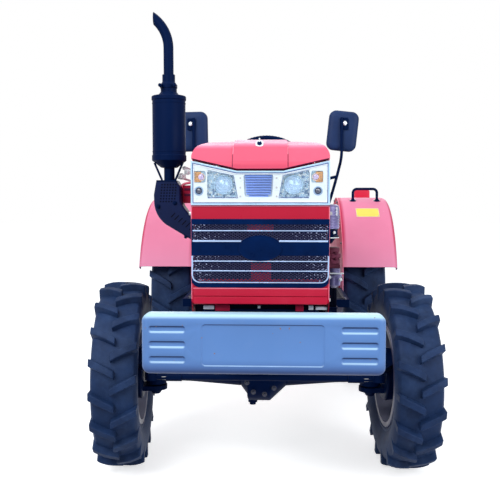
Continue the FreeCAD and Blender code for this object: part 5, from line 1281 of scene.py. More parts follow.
def make_exhaust_details():
    """Perforations on the guard as near-black discs, painted shade in place of open holes; clamp
    bands and bolts, and the seams of the muffler.
    """
    lo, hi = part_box("exhaust_elbow")
    can_lo, can_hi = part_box("muffler")
    pipe = vec((can_lo.x + can_hi.x) / 2, (can_lo.y + can_hi.y) / 2, 0)
    holes, rims, bands, bolts = meshes(4)
    # perforations and slots: shallow near-black discs and bars, painted shade in place of open
    # holes
    pitch = 0.0118
    for row in range(7):
        for column in range(6):
            x = pipe.x + 0.0355 - pitch * column - 0.0012 * row
            z = hi.z - 0.018 - pitch * row
            point, normal = hit("exhaust_elbow", (x, lo.y - 0.2, z), Y)
            add_lathe(holes, point - normal * 0.0002, normal, mm(0, 3.6, 0.6, 3.6, 0.6, 0), 10)
    for k in range(6):
        x, z = pipe.x + 0.022 + 0.0155 * k, lo.z + 0.14 - 0.0105 * k
        point, normal = hit("exhaust_elbow", (x, lo.y - 0.2, z), Y)
        start = point + normal * 0.0003 + vec(-0.009, 0, -0.009)
        end = point + normal * 0.0003 + vec(0.009, 0, 0.009)
        add_bar(holes, start, end, 0.004, 0.001, (1, 0, -1))
    for k in range(5):
        for side in SIDES:
            y = pipe.y + 0.016 * (k - 2)
            for z in (hi.z - 0.03, hi.z - 0.045, hi.z - 0.06):
                point, normal = hit("exhaust_elbow", (pipe.x + side * 0.2, y, z), (-side, 0, 0))
                add_lathe(holes, point - normal * 0.0002, normal, mm(0, 3.4, 0.6, 3.4, 0.6, 0), 10)
    # rolled rim at the guard's mouth, and the screws that hold the guard
    point = hit("exhaust_elbow", (pipe.x, lo.y - 0.2, hi.z - 0.004), Y)[0]
    add_box(rims, (pipe.x - 0.047, point.y - 0.0015, hi.z - 0.006),
        (pipe.x + 0.038, point.y + 0.002, hi.z + 0.0008))
    for x, z in ((pipe.x + 0.03, hi.z - 0.095), (pipe.x - 0.04, hi.z - 0.11),
            (pipe.x + 0.075, lo.z + 0.05)):
        point, normal = hit("exhaust_elbow", (x, lo.y - 0.2, z), Y)
        add_bolt(bolts, point, normal, 0.011)
    # collar with its split clamp above the muffler
    top = 1.548
    add_lathe(bands, (pipe.x, pipe.y, top + 0.018), Z, mm(0, 34.5, 0, 36.5, 14, 36.5, 14, 34.5),
        40)
    for side in SIDES:
        add_box(bands, (pipe.x + side * 0.03 - 0.006, pipe.y - 0.044, top + 0.02),
            (pipe.x + side * 0.03 + 0.006, pipe.y - 0.024, top + 0.031))
        add_bolt(bolts, (pipe.x + side * 0.0305, pipe.y - 0.044, top + 0.0255), -Y, 0.009)
    # seam along the can and pressed rings at its ends
    radius = 0.07
    add_box(bands, (pipe.x - 0.004, pipe.y + radius - 0.002, 1.29),
        (pipe.x + 0.004, pipe.y + radius + 0.0022, 1.51))
    for z in (1.3, 1.502):
        add_lathe(bands, (pipe.x, pipe.y, z), Z, [(-0.003, radius - 0.001),
            (-0.0015, radius + 0.0012), (0.0015, radius + 0.0012), (0.003, radius - 0.001)], 56)
    # bolted flange at the manifold
    for side in SIDES:
        add_bolt(bolts, (hi.x - 0.03, pipe.y + side * 0.046, lo.z + 0.034), (0, side, 0), 0.013)
    make_piece("guard_holes", holes, black_and_shade)
    make_piece("guard_rim", rims, black_paint, 0.0008)
    make_piece("exhaust_bands", bands, black_paint, 0.0006)
    make_piece("exhaust_bolts", bolts, black_paint)
    # strap from the red side panel to the guard, and the small clamps beside the hood
    tube("guard_strap", [(pipe.x + 0.046, pipe.y + 0.01, 1.07),
        (pipe.x + 0.047, pipe.y + 0.01, 1.13), (pipe.x + 0.05, pipe.y + 0.012, 1.16),
        (pipe.x + 0.078, pipe.y + 0.02, 1.169), (pipe.x + 0.125, pipe.y + 0.045, 1.172),
        (-hood_hi.x - 0.003, pipe.y + 0.06, 1.174)], 0.0052, pale_red)
    strap = bmesh.new()
    add_box(strap, (pipe.x + 0.054, pipe.y + 0.014, 1.082), (-hood_hi.x - 0.002, pipe.y + 0.017,
        1.158))
    make_piece("strap_panel", strap, liner_red, 0.0012)
    # two dark boxes for the strap panel's slots: painted shade in place of openings
    strap = bmesh.new()
    for z in (1.112, 1.136):
        add_box(strap, (pipe.x + 0.062, pipe.y + 0.0118, z), (-hood_hi.x - 0.012, pipe.y + 0.015,
            z + 0.01))
    make_piece("strap_slots", strap, wine_rubber_and_shade, 0.0012)
    grips = bmesh.new()
    for x, z, size in ((-0.352, 1.196, 0.017), (-0.326, 1.214, 0.014), (-0.338, 1.232, 0.01)):
        add_box(grips, (x - size, pipe.y + 0.03, z - size * 0.6),
            (x + size, pipe.y + 0.046, z + size * 0.6))
        add_bolt(grips, (x, pipe.y + 0.03, z), -Y, size)
    add_bar(grips, (-0.352, pipe.y + 0.036, 1.19), (-0.256, pipe.y + 0.07, 1.158), 0.009, 0.003, Z)
    add_bar(grips, (-0.338, pipe.y + 0.038, 1.236), (-0.258, pipe.y + 0.07, 1.205), 0.007, 0.003,
        Z)
    make_piece("side_clamps", grips, bright_white, 0.0015)


make_mirrors()
make_exhaust_details()


# ---- engine bay ----
def bolt_ring(bm, centre, axis, radius, count, size, start=0.0):
    """Bolt heads on a circle."""
    axis, side, up = frame_from(axis)
    for k in range(count):
        a = start + 2 * pi * k / count
        add_bolt(bm, Vector(centre) + (side * cos(a) + up * sin(a)) * radius, axis, size)


def ribbed(z0, z1, radius, count, rise):
    """Profile of a corrugated wall, as (along, radius) pairs."""
    points = []
    for k in range(count):
        a, b = z0 + (z1 - z0) * k / count, z0 + (z1 - z0) * (k + 1) / count
        points += [(a, radius), (a + (b - a) * 0.2, radius + rise),
            (a + (b - a) * 0.55, radius + rise), (a + (b - a) * 0.75, radius)]
    return points


def make_air_cleaner():
    """Corrugated canister with its clip band, dust cup, fuel filter and the intake hose."""
    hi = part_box("engine_left_side")[1]
    shell, cup, casting, bright = meshes(4)
    at = vec(hi.x - 0.048, front_axle.y + 0.3, 0)
    low, high = 0.938, hi.z
    add_lathe(shell, at, Z, [(low + 0.026, 0.04), (low + 0.03, 0.0486)]
        + ribbed(low + 0.034, high - 0.016, 0.0486, 7, 0.0022) + [(high - 0.013, 0.049),
        (high - 0.005, 0.0455), (high + 0.0008, 0.036), (high + 0.0008, 0.0)], 48)
    add_lathe(cup, at, Z, [(low - 0.038, 0.0), (low - 0.038, 0.016), (low - 0.03, 0.022),
        (low - 0.01, 0.036), (low - 0.01, 0.0385), (low + 0.004, 0.043), (low + 0.024, 0.043),
        (low + 0.026, 0.04), (low + 0.026, 0.0)], 40)
    add_lathe(bright, at, Z, [(low - 0.0125, 0.0485), (low - 0.0125, 0.05), (low - 0.0085, 0.05),
        (low - 0.0085, 0.0485)], 40)
    add_bolt(bright, at + vec(0.024, -0.045, low + 0.013), -Y, 0.008)
    for side in SIDES:
        add_bar(bright, at + vec(side * 0.034, -0.0365, high - 0.05),
            at + vec(side * 0.034, -0.0365, high - 0.012), 0.008, 0.003, X)
    # rusty steering box and pale filter bowl below it, on one bracket from the block
    add_box(casting, (0.15, at.y - 0.03, 0.8), (hi.x - 0.06, at.y + 0.03, 0.812))
    for z, r in ((0.872, 0.034), (0.846, 0.04), (0.82, 0.037)):
        add_lathe(casting, (hi.x - 0.03, at.y, z), Z, [(-0.013, 0), (-0.013, r - 0.006),
            (-0.009, r), (0.008, r), (0.012, r - 0.008), (0.012, 0)], 28)
    bolt_ring(casting, (hi.x - 0.03, at.y - 0.036, 0.846), -Y, 0.02, 5, 0.01)
    add_box(casting, (hi.x - 0.062, at.y - 0.034, 0.79), (hi.x + 0.004, at.y + 0.034, 0.808))
    make_piece("intake_canister", shell, lavender)
    make_piece("intake_cup", cup, black_plastic)
    make_piece("side_casting", casting, rust, 0.002)
    bowl = bmesh.new()
    add_lathe(bowl, (hi.x - 0.022, at.y, 0), Z, mm(700, 0, 700, 12, 706, 20, 712, 30, 748, 33.5,
        752, 37, 760, 37, 764, 30, 790, 30, 790, 0), 36)
    make_piece("filter_bowl", bowl, lavender)
    add_box(bright, (hi.x - 0.066, at.y - 0.046, 0.7655), (hi.x + 0.02, at.y - 0.03, 0.771))
    add_bolt(bright, (hi.x - 0.046, at.y - 0.036, 0.75), -Y, 0.012)
    add_bolt(bright, (hi.x + 0.006, at.y - 0.036, 0.74), -Y, 0.01)
    make_piece("intake_clips", bright, bright_white, 0.0008)
    tube("intake_hose", [at + vec(-0.04, 0, high - 0.045), at + vec(-0.075, 0, high - 0.04),
        at + vec(-0.118, 0.01, high - 0.035), (0.15, at.y + 0.02, 1.018),
        (0.128, at.y + 0.02, 0.985), (0.12, at.y + 0.02, 0.965)], 0.024, hose_rubber)


def make_engine_details():
    """Injection lines, rocker cover, dipstick, hoses, belt, wiring and bolts."""
    lo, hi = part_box("engine")
    bolts, dark, iron = meshes(3)
    pump_x = 0.0383 - lo.x
    for k in range(3):
        start = vec(pump_x, front_axle.y + 0.08 + 0.05 * k, 0.85)
        end = vec(0.118, -0.905 + 0.155 * k, 0.978)
        add_lathe(bolts, start, Z, mm(0, 10.5, 12, 10.5, 14, 7, 14, 0), 6)
        tube("fuel_line_%d" % (k + 1), [start, start + Z * 0.035, start + Z * 0.06 + X * 0.006,
            (pump_x + 0.01, (start.y + end.y) / 2, 0.925), (0.17, end.y, 0.968),
            (0.135, end.y, 0.99), end], 0.0032, steel)
        add_lathe(iron, (0.112, end.y, 0.975), (0.5, 0, 1), mm(0, 13, 22, 13, 26, 8, 34, 8, 34, 0),
            20)
    # rocker cover: flange, bolts, filler cap and breather
    add_box(iron, (-0.092, lo.y + 0.04, 0.9835), (0.092, hi.y - 0.04, 0.9915))
    for k in range(6):
        y = lo.y + 0.07 + 0.098 * k
        for side in SIDES:
            add_bolt(bolts, (side * 0.0875, y, 0.9915), Z, 0.011)
    add_lathe(dark, (0, lo.y + 0.13, hi.z - 0.001), Z, mm(0, 24, 6, 24, 10, 29, 20, 29, 24, 24, 24,
        0), 10)
    for side in SIDES:
        for z in (0.56, 0.64, 0.72, 0.8, 0.87):
            for y in (lo.y + 0.03, hi.y - 0.03):
                add_bolt(bolts, (side * hi.x, y, z), (side, 0, 0), 0.015)
        for k in range(7):
            add_bolt(bolts, (side * 0.118, lo.y + 0.4 + 0.036 * k, 0.53 - 0.012), (side, 0, 0),
                0.01)
    for z in (0.7, 0.8, 0.87):
        y0, y1 = lo.y + 0.18, hi.y - 0.06
        add_box(iron, (-hi.x - 0.006, y0, z - 0.006), (-hi.x + 0.001, y1, z + 0.006))
    for k in range(3):
        at = vec(-hi.x, lo.y + 0.17 + 0.15 * k, 0.66)
        add_lathe(iron, at, -X, mm(0, 24, 4, 24, 6, 18, 3, 16, 3, 0), 28)
    tube("dipstick", [(hi.x - 0.002, -0.56, 0.6), (hi.x + 0.014, -0.56, 0.64),
        (hi.x + 0.016, -0.555, 0.8), (hi.x + 0.02, -0.55, 0.88)], 0.0045, steel)
    tube("dipstick_ring", [(hi.x + 0.02, -0.55, 0.878), (hi.x + 0.02, -0.564, 0.89),
        (hi.x + 0.02, -0.55, 0.904), (hi.x + 0.02, -0.537, 0.89), (hi.x + 0.02, -0.55, 0.878)],
        0.0028, yellow)
    radiator_lo, radiator_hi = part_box("radiator")
    tube("top_hose", [(-0.07, radiator_hi.y - 0.004, 1.072), (-0.07, radiator_hi.y + 0.022, 1.07),
        (-0.076, radiator_hi.y + 0.045, 1.064), (-0.08, lo.y - 0.012, 1.04),
        (-0.082, lo.y + 0.026, 1.0), (-0.082, lo.y + 0.06, 0.97)], 0.019, hose_rubber)
    tube("bottom_hose", [(0.15, radiator_hi.y - 0.004, 0.664), (0.15, radiator_hi.y + 0.03, 0.664),
        (0.146, radiator_hi.y + 0.055, 0.675), (0.138, lo.y - 0.03, 0.72),
        (0.13, lo.y + 0.004, 0.745)], 0.019, hose_rubber)
    for x, y, z in ((-0.07, radiator_hi.y + 0.014, 1.071), (0.15, radiator_hi.y + 0.018, 0.664)):
        add_lathe(bolts, (x, y, z), Y, mm(-6, 18.8, -6, 21.5, 6, 21.5, 6, 18.8), 28)
    # alternator: pulley, slotted ends and its stay; the belt runs from the fan pulley
    right_lo, right_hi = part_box("engine_right_side")
    alternator = vec(right_lo.x + 0.062, lo.y + 0.02, 0.79)
    add_lathe(iron, alternator, -Y, mm(0, 10, 8, 10, 8, 32, 12, 34, 18, 27, 24, 34, 28, 32, 28, 8,
        36, 8, 36, 0), 32)
    # the slots in the alternator's ends are near-black boxes: painted shade in place of openings
    for y in (alternator.y, alternator.y + 0.1303):
        for k in range(10):
            a = 2 * pi * k / 10
            add_box(dark, (alternator.x + 0.043 * cos(a) - 0.005, y - 0.0008,
                alternator.z + 0.043 * sin(a) - 0.009), (alternator.x + 0.043 * cos(a) + 0.005,
                y + 0.0008, alternator.z + 0.043 * sin(a) + 0.009))
    for k in range(4):
        a = pi / 4 + pi / 2 * k
        add_bolt(bolts, (alternator.x + 0.052 * cos(a), alternator.y - 0.0005,
            alternator.z + 0.052 * sin(a)), -Y, 0.009)
    add_bar(iron, (-0.145, alternator.y + 0.01, 0.88), (alternator.x + 0.018, alternator.y + 0.01,
        0.845), 0.022, 0.005, Z)
    hub = vec(0, alternator.y - 0.0185, 0.83)
    loop = []
    for centre, radius, a0, a1 in ((hub, 0.0425, -70, 115), (vec(alternator.x, hub.y,
            alternator.z), 0.03, 115, 290)):
        for k in range(13):
            a = radians(a0 + (a1 - a0) * k / 12)
            loop.append(centre + vec(cos(a), 0, sin(a)) * radius)
    for a, b in zip(loop, loop[1:] + loop[:1]):
        out_dir = vec((b - a).z, 0, -(b - a).x)
        add_bar(dark, a, b + (b - a) * 0.02, 0.005, 0.01, out_dir)
    # wiring along the frame and to the starter
    tube("wiring_left", [(0.176, -1.1, 0.652), (0.18, -0.95, 0.655), (0.178, -0.8, 0.648),
        (0.165, -0.7, 0.64), (0.158, -0.58, 0.7), (0.156, -0.44, 0.8), (0.16, -0.25, 0.86)],
        0.0055, hose_rubber)
    tube("battery_cable", [(-0.25, -0.5, 0.665), (-0.262, -0.44, 0.7), (-0.235, -0.38, 0.76),
        (-0.205, -0.3, 0.8), (-0.19, -0.245, 0.84)], 0.0065, wine_rubber_and_shade)
    add_bolt(bolts, (-0.24, -0.542, 0.655), -Y, 0.012)
    for k in range(3):
        for z in (0.908, 0.944):
            add_bolt(bolts, (right_hi.x - 0.0345, lo.y + 0.13 + 0.15 * k
                + (0.04 if z > 0.92 else 0), z), -X, 0.012)
    make_piece("engine_bolts", bolts, zinc)
    make_piece("engine_castings", iron, engine_paint, 0.0016)
    make_piece("engine_black_and_shade", dark, black_and_shade, 0.0006, 1)
    # radiator: fins, tank seams and the cap's ears
    fins, seams = meshes(2)
    for k in range(34):
        z = radiator_lo.z + 0.058 + 0.0105 * k
        if z < radiator_hi.z - 0.075:
            for y in (radiator_lo.y + 0.0065, radiator_hi.y - 0.017):
                add_box(fins, (-0.204, y - 0.0012, z), (0.204, y + 0.001, z + 0.0022))
    for z in (radiator_lo.z + 0.04, radiator_hi.z - 0.072):
        add_box(seams, (-0.2165, radiator_lo.y - 0.0012, z), (0.2165, radiator_hi.y + 0.0005,
            z + 0.007))
    add_box(seams, (-0.026, radiator_lo.y + 0.031, radiator_hi.z - 0.009),
        (0.026, radiator_lo.y + 0.041, radiator_hi.z + 0.001))
    make_piece("radiator_fins", fins, black_and_shade)
    make_piece("radiator_seams", seams, black_paint, 0.001)


def make_underside():
    """Axle cover bolts, kingpin caps, tie rod ends and the small parts behind the guard."""
    bolts, balls, pads = meshes(3)
    bolt_ring(bolts, (0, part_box("front_axle")[0].y, 0.3775), -Y, 0.06, 8, 0.012, 0.2)
    make_piece("axle_bolts", bolts, beam_paint)
    for joint_name in ("left", "right"):
        bm = bmesh.new()
        pin = Vector(joint[joint_name + "_steer"]["pos_m"])
        knuckle_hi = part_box("knuckle_" + joint_name)[1]
        add_lathe(bm, (pin.x, pin.y, knuckle_hi.z - 0.0005), Z, mm(0, 26, 3, 26, 4, 16, 7, 12, 8,
            0), 28)
        for k in range(3):
            a = 2 * pi * k / 3 + 0.5
            add_bolt(bm, (pin.x + 0.019 * cos(a), pin.y + 0.019 * sin(a), knuckle_hi.z + 0.002), Z,
                0.008)
        make_piece("kingpin_cap_" + joint_name, bm, zinc, body=joint_name + "_knuckle")
    rod_lo, rod_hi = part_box("tie_rod")
    bm = bmesh.new()
    dark = bmesh.new()
    for x in (rod_lo.x + 0.0225, rod_hi.x - 0.0225):
        at = vec(x, (rod_lo.y + rod_hi.y) / 2, rod_hi.z - 0.001)
        add_lathe(bm, at, Z, mm(0, 12, 2, 12, 4, 9, 7.5, 5, 8, 0), 24)
        side = -1 if x > 0 else 1
        add_lathe(dark, at + vec(side * 0.045, 0, -0.019), (side, 0, 0),
            mm(0, 12.5, 0, 15.5, 20, 15.5, 20, 12.5), 6)
    make_piece("tie_rod_caps", bm, bright_white, body="tie_rod")
    make_piece("tie_rod_nuts", dark, zinc, 0.0008, 1, body="tie_rod")
    # behind the guard, under the red surround: pads of the hood's rest and painted lugs
    for x0, x1, z0, z1, material_bm in ((-0.212, -0.172, 0.69, 0.704, balls),
            (0.178, 0.196, 0.69, 0.706, balls), (0.204, 0.246, 0.69, 0.702, balls),
            (-0.168, -0.114, 0.684, 0.708, pads), (0.13, 0.16, 0.684, 0.708, pads),
            (-0.01, 0.0, 0.694, 0.704, balls)):
        add_box(material_bm, (x0, FACE + 0.036, z0), (x1, FACE + 0.046, z1))
    make_piece("rest_pads", balls, white_plastic, 0.0015)
    make_piece("rest_lugs", pads, liner_red, 0.0015)


front_axle = Vector(joint["left_steer"]["pos_m"])
make_air_cleaner()
make_engine_details()
make_underside()


# ---- driver's place ----
VOXEL, PRESSURE, CLOTH_FRAMES = 0.0075, 4.0, 20
SWELL_CAP, SWELL_ROOM = 0.0055, 0.006  # the cloth may move this far, and the block leaves it room
SEAM_WIDTH = 0.0075


def make_pad(name, low, high, crown, pull, seams, upright=False):
    """A stuffed pad: rounded block blown up by cloth pressure, then sewn channels pressed in."""
    low, high = Vector(low), Vector(high)
    size, middle = high - low, (low + high) / 2
    shrink = SWELL_ROOM
    bm = bmesh.new()
    bmesh.ops.create_cube(bm, size=1)
    bmesh.ops.subdivide_edges(bm, edges=bm.edges[:], cuts=15, use_grid_fill=True)
    thin = 1 if upright else 2
    wide = [k for k in range(3) if k != thin]
    for v in bm.verts:
        u, w = v.co[wide[0]] * 2, v.co[wide[1]] * 2
        corner = 0.3
        a, b = (max(0.0, abs(u) - (1 - corner)) / corner, max(0.0, abs(w) - (1 - corner)) / corner)
        reach = hypot(a, b)
        if reach > 1:
            u = copysign(1 - corner + corner * a / reach, u)
            w = copysign(1 - corner + corner * b / reach, w)
        flat = (1 - abs(u) ** 3) * (1 - abs(w) ** 3)
        t = v.co[thin] * 2
        side_in = 1 - pull * (1 - abs(w) ** 2) * (abs(u) > 0.98) - 0.06 * abs(t) ** 4
        co = vec(0, 0, 0)
        co[wide[0]] = u * side_in * (size[wide[0]] / 2 - shrink)
        co[wide[1]] = w * (1 - pull * (1 - abs(u) ** 2) * (abs(w) > 0.98)
            - 0.06 * abs(t) ** 4) * (size[wide[1]] / 2 - shrink)
        co[thin] = t * (size[thin] / 2 - shrink - (crown * (1 - flat)
            if t * (-1 if upright else 1) > 0 else 0))
        v.co = co + middle
    mesh = bpy.data.meshes.new(name)
    for face in bm.faces:
        face.smooth = True
    bm.to_mesh(mesh)
    bm.free()
    obj = add_object(name, mesh)
    swell(obj, SWELL_CAP)
    press_seams(obj, low, high, seams, thin)
    mesh = obj.data
    mesh.materials.clear()
    mesh.materials.append(vinyl)
    smoother = obj.modifiers.new("smooth", "SUBSURF")
    smoother.levels = smoother.render_levels = 1
    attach(obj, "chassis")
    return obj


def swell(obj, cap):
    """Remeshes the pad, inflates it as cloth for 20 frames and keeps what moved, up to a cap."""
    remesh = obj.modifiers.new("remesh", "REMESH")
    remesh.mode = "VOXEL"
    remesh.voxel_size = VOXEL
    cloth = obj.modifiers.new("cloth", "CLOTH")
    settings = cloth.settings
    settings.use_pressure = True
    settings.uniform_pressure_force = PRESSURE
    settings.effector_weights.gravity = 0.0
    settings.quality = 4
    settings.mass = 0.3
    settings.tension_stiffness = settings.compression_stiffness = 30.0
    scene = bpy.context.scene
    depsgraph = bpy.context.evaluated_depsgraph_get()
    cloth.show_viewport = False
    depsgraph.update()
    start = [v.co.copy() for v in obj.evaluated_get(depsgraph).to_mesh().vertices]
    cloth.show_viewport = True
    for number in range(1, CLOTH_FRAMES + 1):
        scene.frame_set(number)
    depsgraph = bpy.context.evaluated_depsgraph_get()
    blown = bpy.data.meshes.new_from_object(obj.evaluated_get(depsgraph))
    scene.frame_set(1)
    obj.modifiers.clear()
    if len(blown.vertices) == len(start):
        for v, before in zip(blown.vertices, start):
            moved = v.co - before
            if moved.length > cap:
                v.co = before + moved * (cap / moved.length)
    for polygon in blown.polygons:
        polygon.use_smooth = True
    obj.data = blown


def press_seams(obj, low, high, seams, thin):
    """Sewn channels: valleys along lines, and a puckered border seam."""
    for v in obj.data.vertices:
        depth = 0.0
        for axis, at, a, b, deep in seams:
            other = [k for k in range(3) if k not in (axis, thin)][0]
            if a <= v.co[other] <= b:
                gap = abs(v.co[axis] - at)
                pucker = 1 + 0.25 * sin(v.co[other] * 330)
                depth = max(depth, deep * pucker * exp(-(gap / SEAM_WIDTH) ** 2))
        middle = (low[thin] + high[thin]) / 2
        v.co[thin] -= depth * (1 if v.co[thin] > middle else -1)


def add_piping(name, outline_points, radius, thin_at, upright):
    """A sewn cord round a pad."""
    points = []
    for a, b in outline_points + outline_points[:1]:
        points.append(vec(a, thin_at, b) if upright else vec(a, b, thin_at))
    return tube(name, points, radius, vinyl_cord)


def make_seat():
    """Sewn cushion and back with piping, a plastic shell, slides and a suspension cover."""
    lo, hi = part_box("seat_cushion")
    back_lo, back_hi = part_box("seat_back")
    seams = [(0, x, lo.y + 0.05, hi.y - 0.09, 0.007) for x in (-0.125, -0.042, 0.042, 0.125)]
    seams += [(1, hi.y - 0.085, lo.x + 0.03, hi.x - 0.03, 0.008),
        (1, lo.y + 0.045, lo.x + 0.03, hi.x - 0.03, 0.006)]
    pad = make_pad("seat_pad", (lo.x, lo.y, lo.z + 0.016), hi, 0.02, 0.02, seams)
    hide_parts("seat_cushion")
    seams = [(0, x, back_lo.z + 0.04, back_hi.z - 0.05, 0.006) for x in (-0.105, 0.0, 0.105)]
    seams += [(2, back_hi.z - 0.06, back_lo.x + 0.03, back_hi.x - 0.03, 0.006)]
    pad = make_pad("seat_back_pad", (back_lo.x, back_lo.y, back_lo.z + 0.004),
        (back_hi.x, back_hi.y - 0.01, back_hi.z), 0.016, 0.02, seams, True)
    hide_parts("seat_back")
    # shells under and behind the pads, with rolled rims
    bm = bmesh.new()
    plan = rectangle(lo.x + 0.004, hi.x - 0.004, lo.y + 0.004, hi.y - 0.004, 0.06, 8)
    add_shell(bm, [(0.05, lo.z), (0.012, lo.z + 0.001), (0.0, lo.z + 0.01), (0, lo.z + 0.024),
        (0.004, lo.z + 0.026), (0.008, lo.z + 0.022)], plan, lying)
    plan = rectangle(back_lo.x + 0.003, back_hi.x - 0.003, back_lo.z + 0.002, back_hi.z - 0.003,
        0.055, 8)
    add_shell(bm, [(0.006, back_hi.y - 0.02), (0, back_hi.y - 0.018), (0, back_hi.y - 0.008),
        (0.006, back_hi.y - 0.001), (0.03, back_hi.y)], plan, vec)
    for side in SIDES:
        add_box(bm, (side * 0.15 - 0.02, hi.y - 0.012, lo.z + 0.004),
            (side * 0.15 + 0.02, back_hi.y - 0.002, lo.z + 0.012))
        add_box(bm, (side * 0.15 - 0.02, back_hi.y - 0.01, lo.z + 0.004),
            (side * 0.15 + 0.02, back_hi.y - 0.002, back_lo.z + 0.1))
    for k in range(4):
        z = back_lo.z + 0.06 + 0.045 * k
        add_box(bm, (-0.12, back_hi.y - 0.0015, z), (0.12, back_hi.y - 0.0002, z + 0.01))
    make_piece("seat_shell", bm, black_plastic, 0.0015, sharp=40)
    for name, line, radius, at, upright in (("seat_piping", rectangle(lo.x + 0.008, hi.x - 0.008,
            lo.y + 0.008, hi.y - 0.008, 0.058, 6), 0.0036, hi.z - 0.022, False),
            ("back_piping", rectangle(back_lo.x + 0.008, back_hi.x - 0.008, back_lo.z + 0.01,
            back_hi.z - 0.008, 0.056, 6), 0.0036, back_lo.y + 0.018, True)):
        add_piping(name, line, radius, at, upright)
    base_lo, base_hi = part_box("seat_base")
    bm = bmesh.new()
    for k in range(6):
        z = base_lo.z + 0.028 + 0.02 * k
        swell_by = 0.0035
        add_box(bm, (base_lo.x - swell_by, base_lo.y - swell_by, z),
            (base_hi.x + swell_by, base_hi.y + swell_by, z + 0.011))
    make_piece("seat_bellows", bm, hose_rubber, 0.0042, 3)
    bm = bmesh.new()
    for side in SIDES:
        add_box(bm, (side * 0.118 - 0.012, base_lo.y - 0.012, base_hi.z - 0.014),
            (side * 0.118 + 0.012, base_hi.y + 0.02, base_hi.z - 0.001))
        add_box(bm, (side * 0.1385 - 0.0025, base_lo.y + 0.01, base_lo.z),
            (side * 0.1385 + 0.0025, base_lo.y + 0.05, base_lo.z + 0.024))
        add_bolt(bm, (side * 0.141, base_lo.y + 0.03, base_lo.z + 0.012), (side, 0, 0), 0.012)
    make_piece("seat_slides", bm, zinc, 0.0012)


def make_wheel_details():
    """Spoke collars, hub cap and finger grips on the steering wheel."""
    wheel = joint["steering_wheel_turn"]
    hub, axis = Vector(wheel["pos_m"]), Vector(wheel["axis"]).normalized()
    side = X
    up = axis.cross(side)
    bm = bmesh.new()
    add_lathe(bm, hub - axis * 0.0005, axis, mm(0, 37.5, 3, 37.5, 9, 34, 12, 27, 11.5, 23.5, 13,
        21.5, 15.5, 14, 16.5, 0), 40)
    for k in range(3):
        a = radians(90 + 120 * k)
        direction = (side * cos(a) + up * sin(a) + axis * 0.05).normalized()
        start = hub - axis * 0.012
        add_lathe(bm, start + direction * 0.034, direction, mm(0, 12.5, 12, 12.5, 20, 8.8), 20)
        add_lathe(bm, start + direction * 0.155, direction, mm(0, 8.8, 10, 12.5, 20, 13.5), 20)
    make_piece("steering_wheel_cap", bm, black_plastic, 0.0008, body="steering_wheel")
    bm = bmesh.new()
    radius, thick = 0.178, 0.012
    for k in range(72):
        a = 2 * pi * k / 72
        out = side * cos(a) + up * sin(a)
        along = -side * sin(a) + up * cos(a)
        ring = []
        for shift, grow in ((-0.004, 0.0), (-0.0024, 0.001), (0.0024, 0.001), (0.004, 0.0)):
            ring.append([bm.verts.new(hub + out * radius + along * shift
                + (out * cos(b) + axis * sin(b)) * (thick - 0.0002 + grow))
                for b in [2 * pi * j / 14 for j in range(14)]])
        bridge(bm, ring)
    make_piece("steering_wheel_grips", bm, black_plastic, body="steering_wheel")


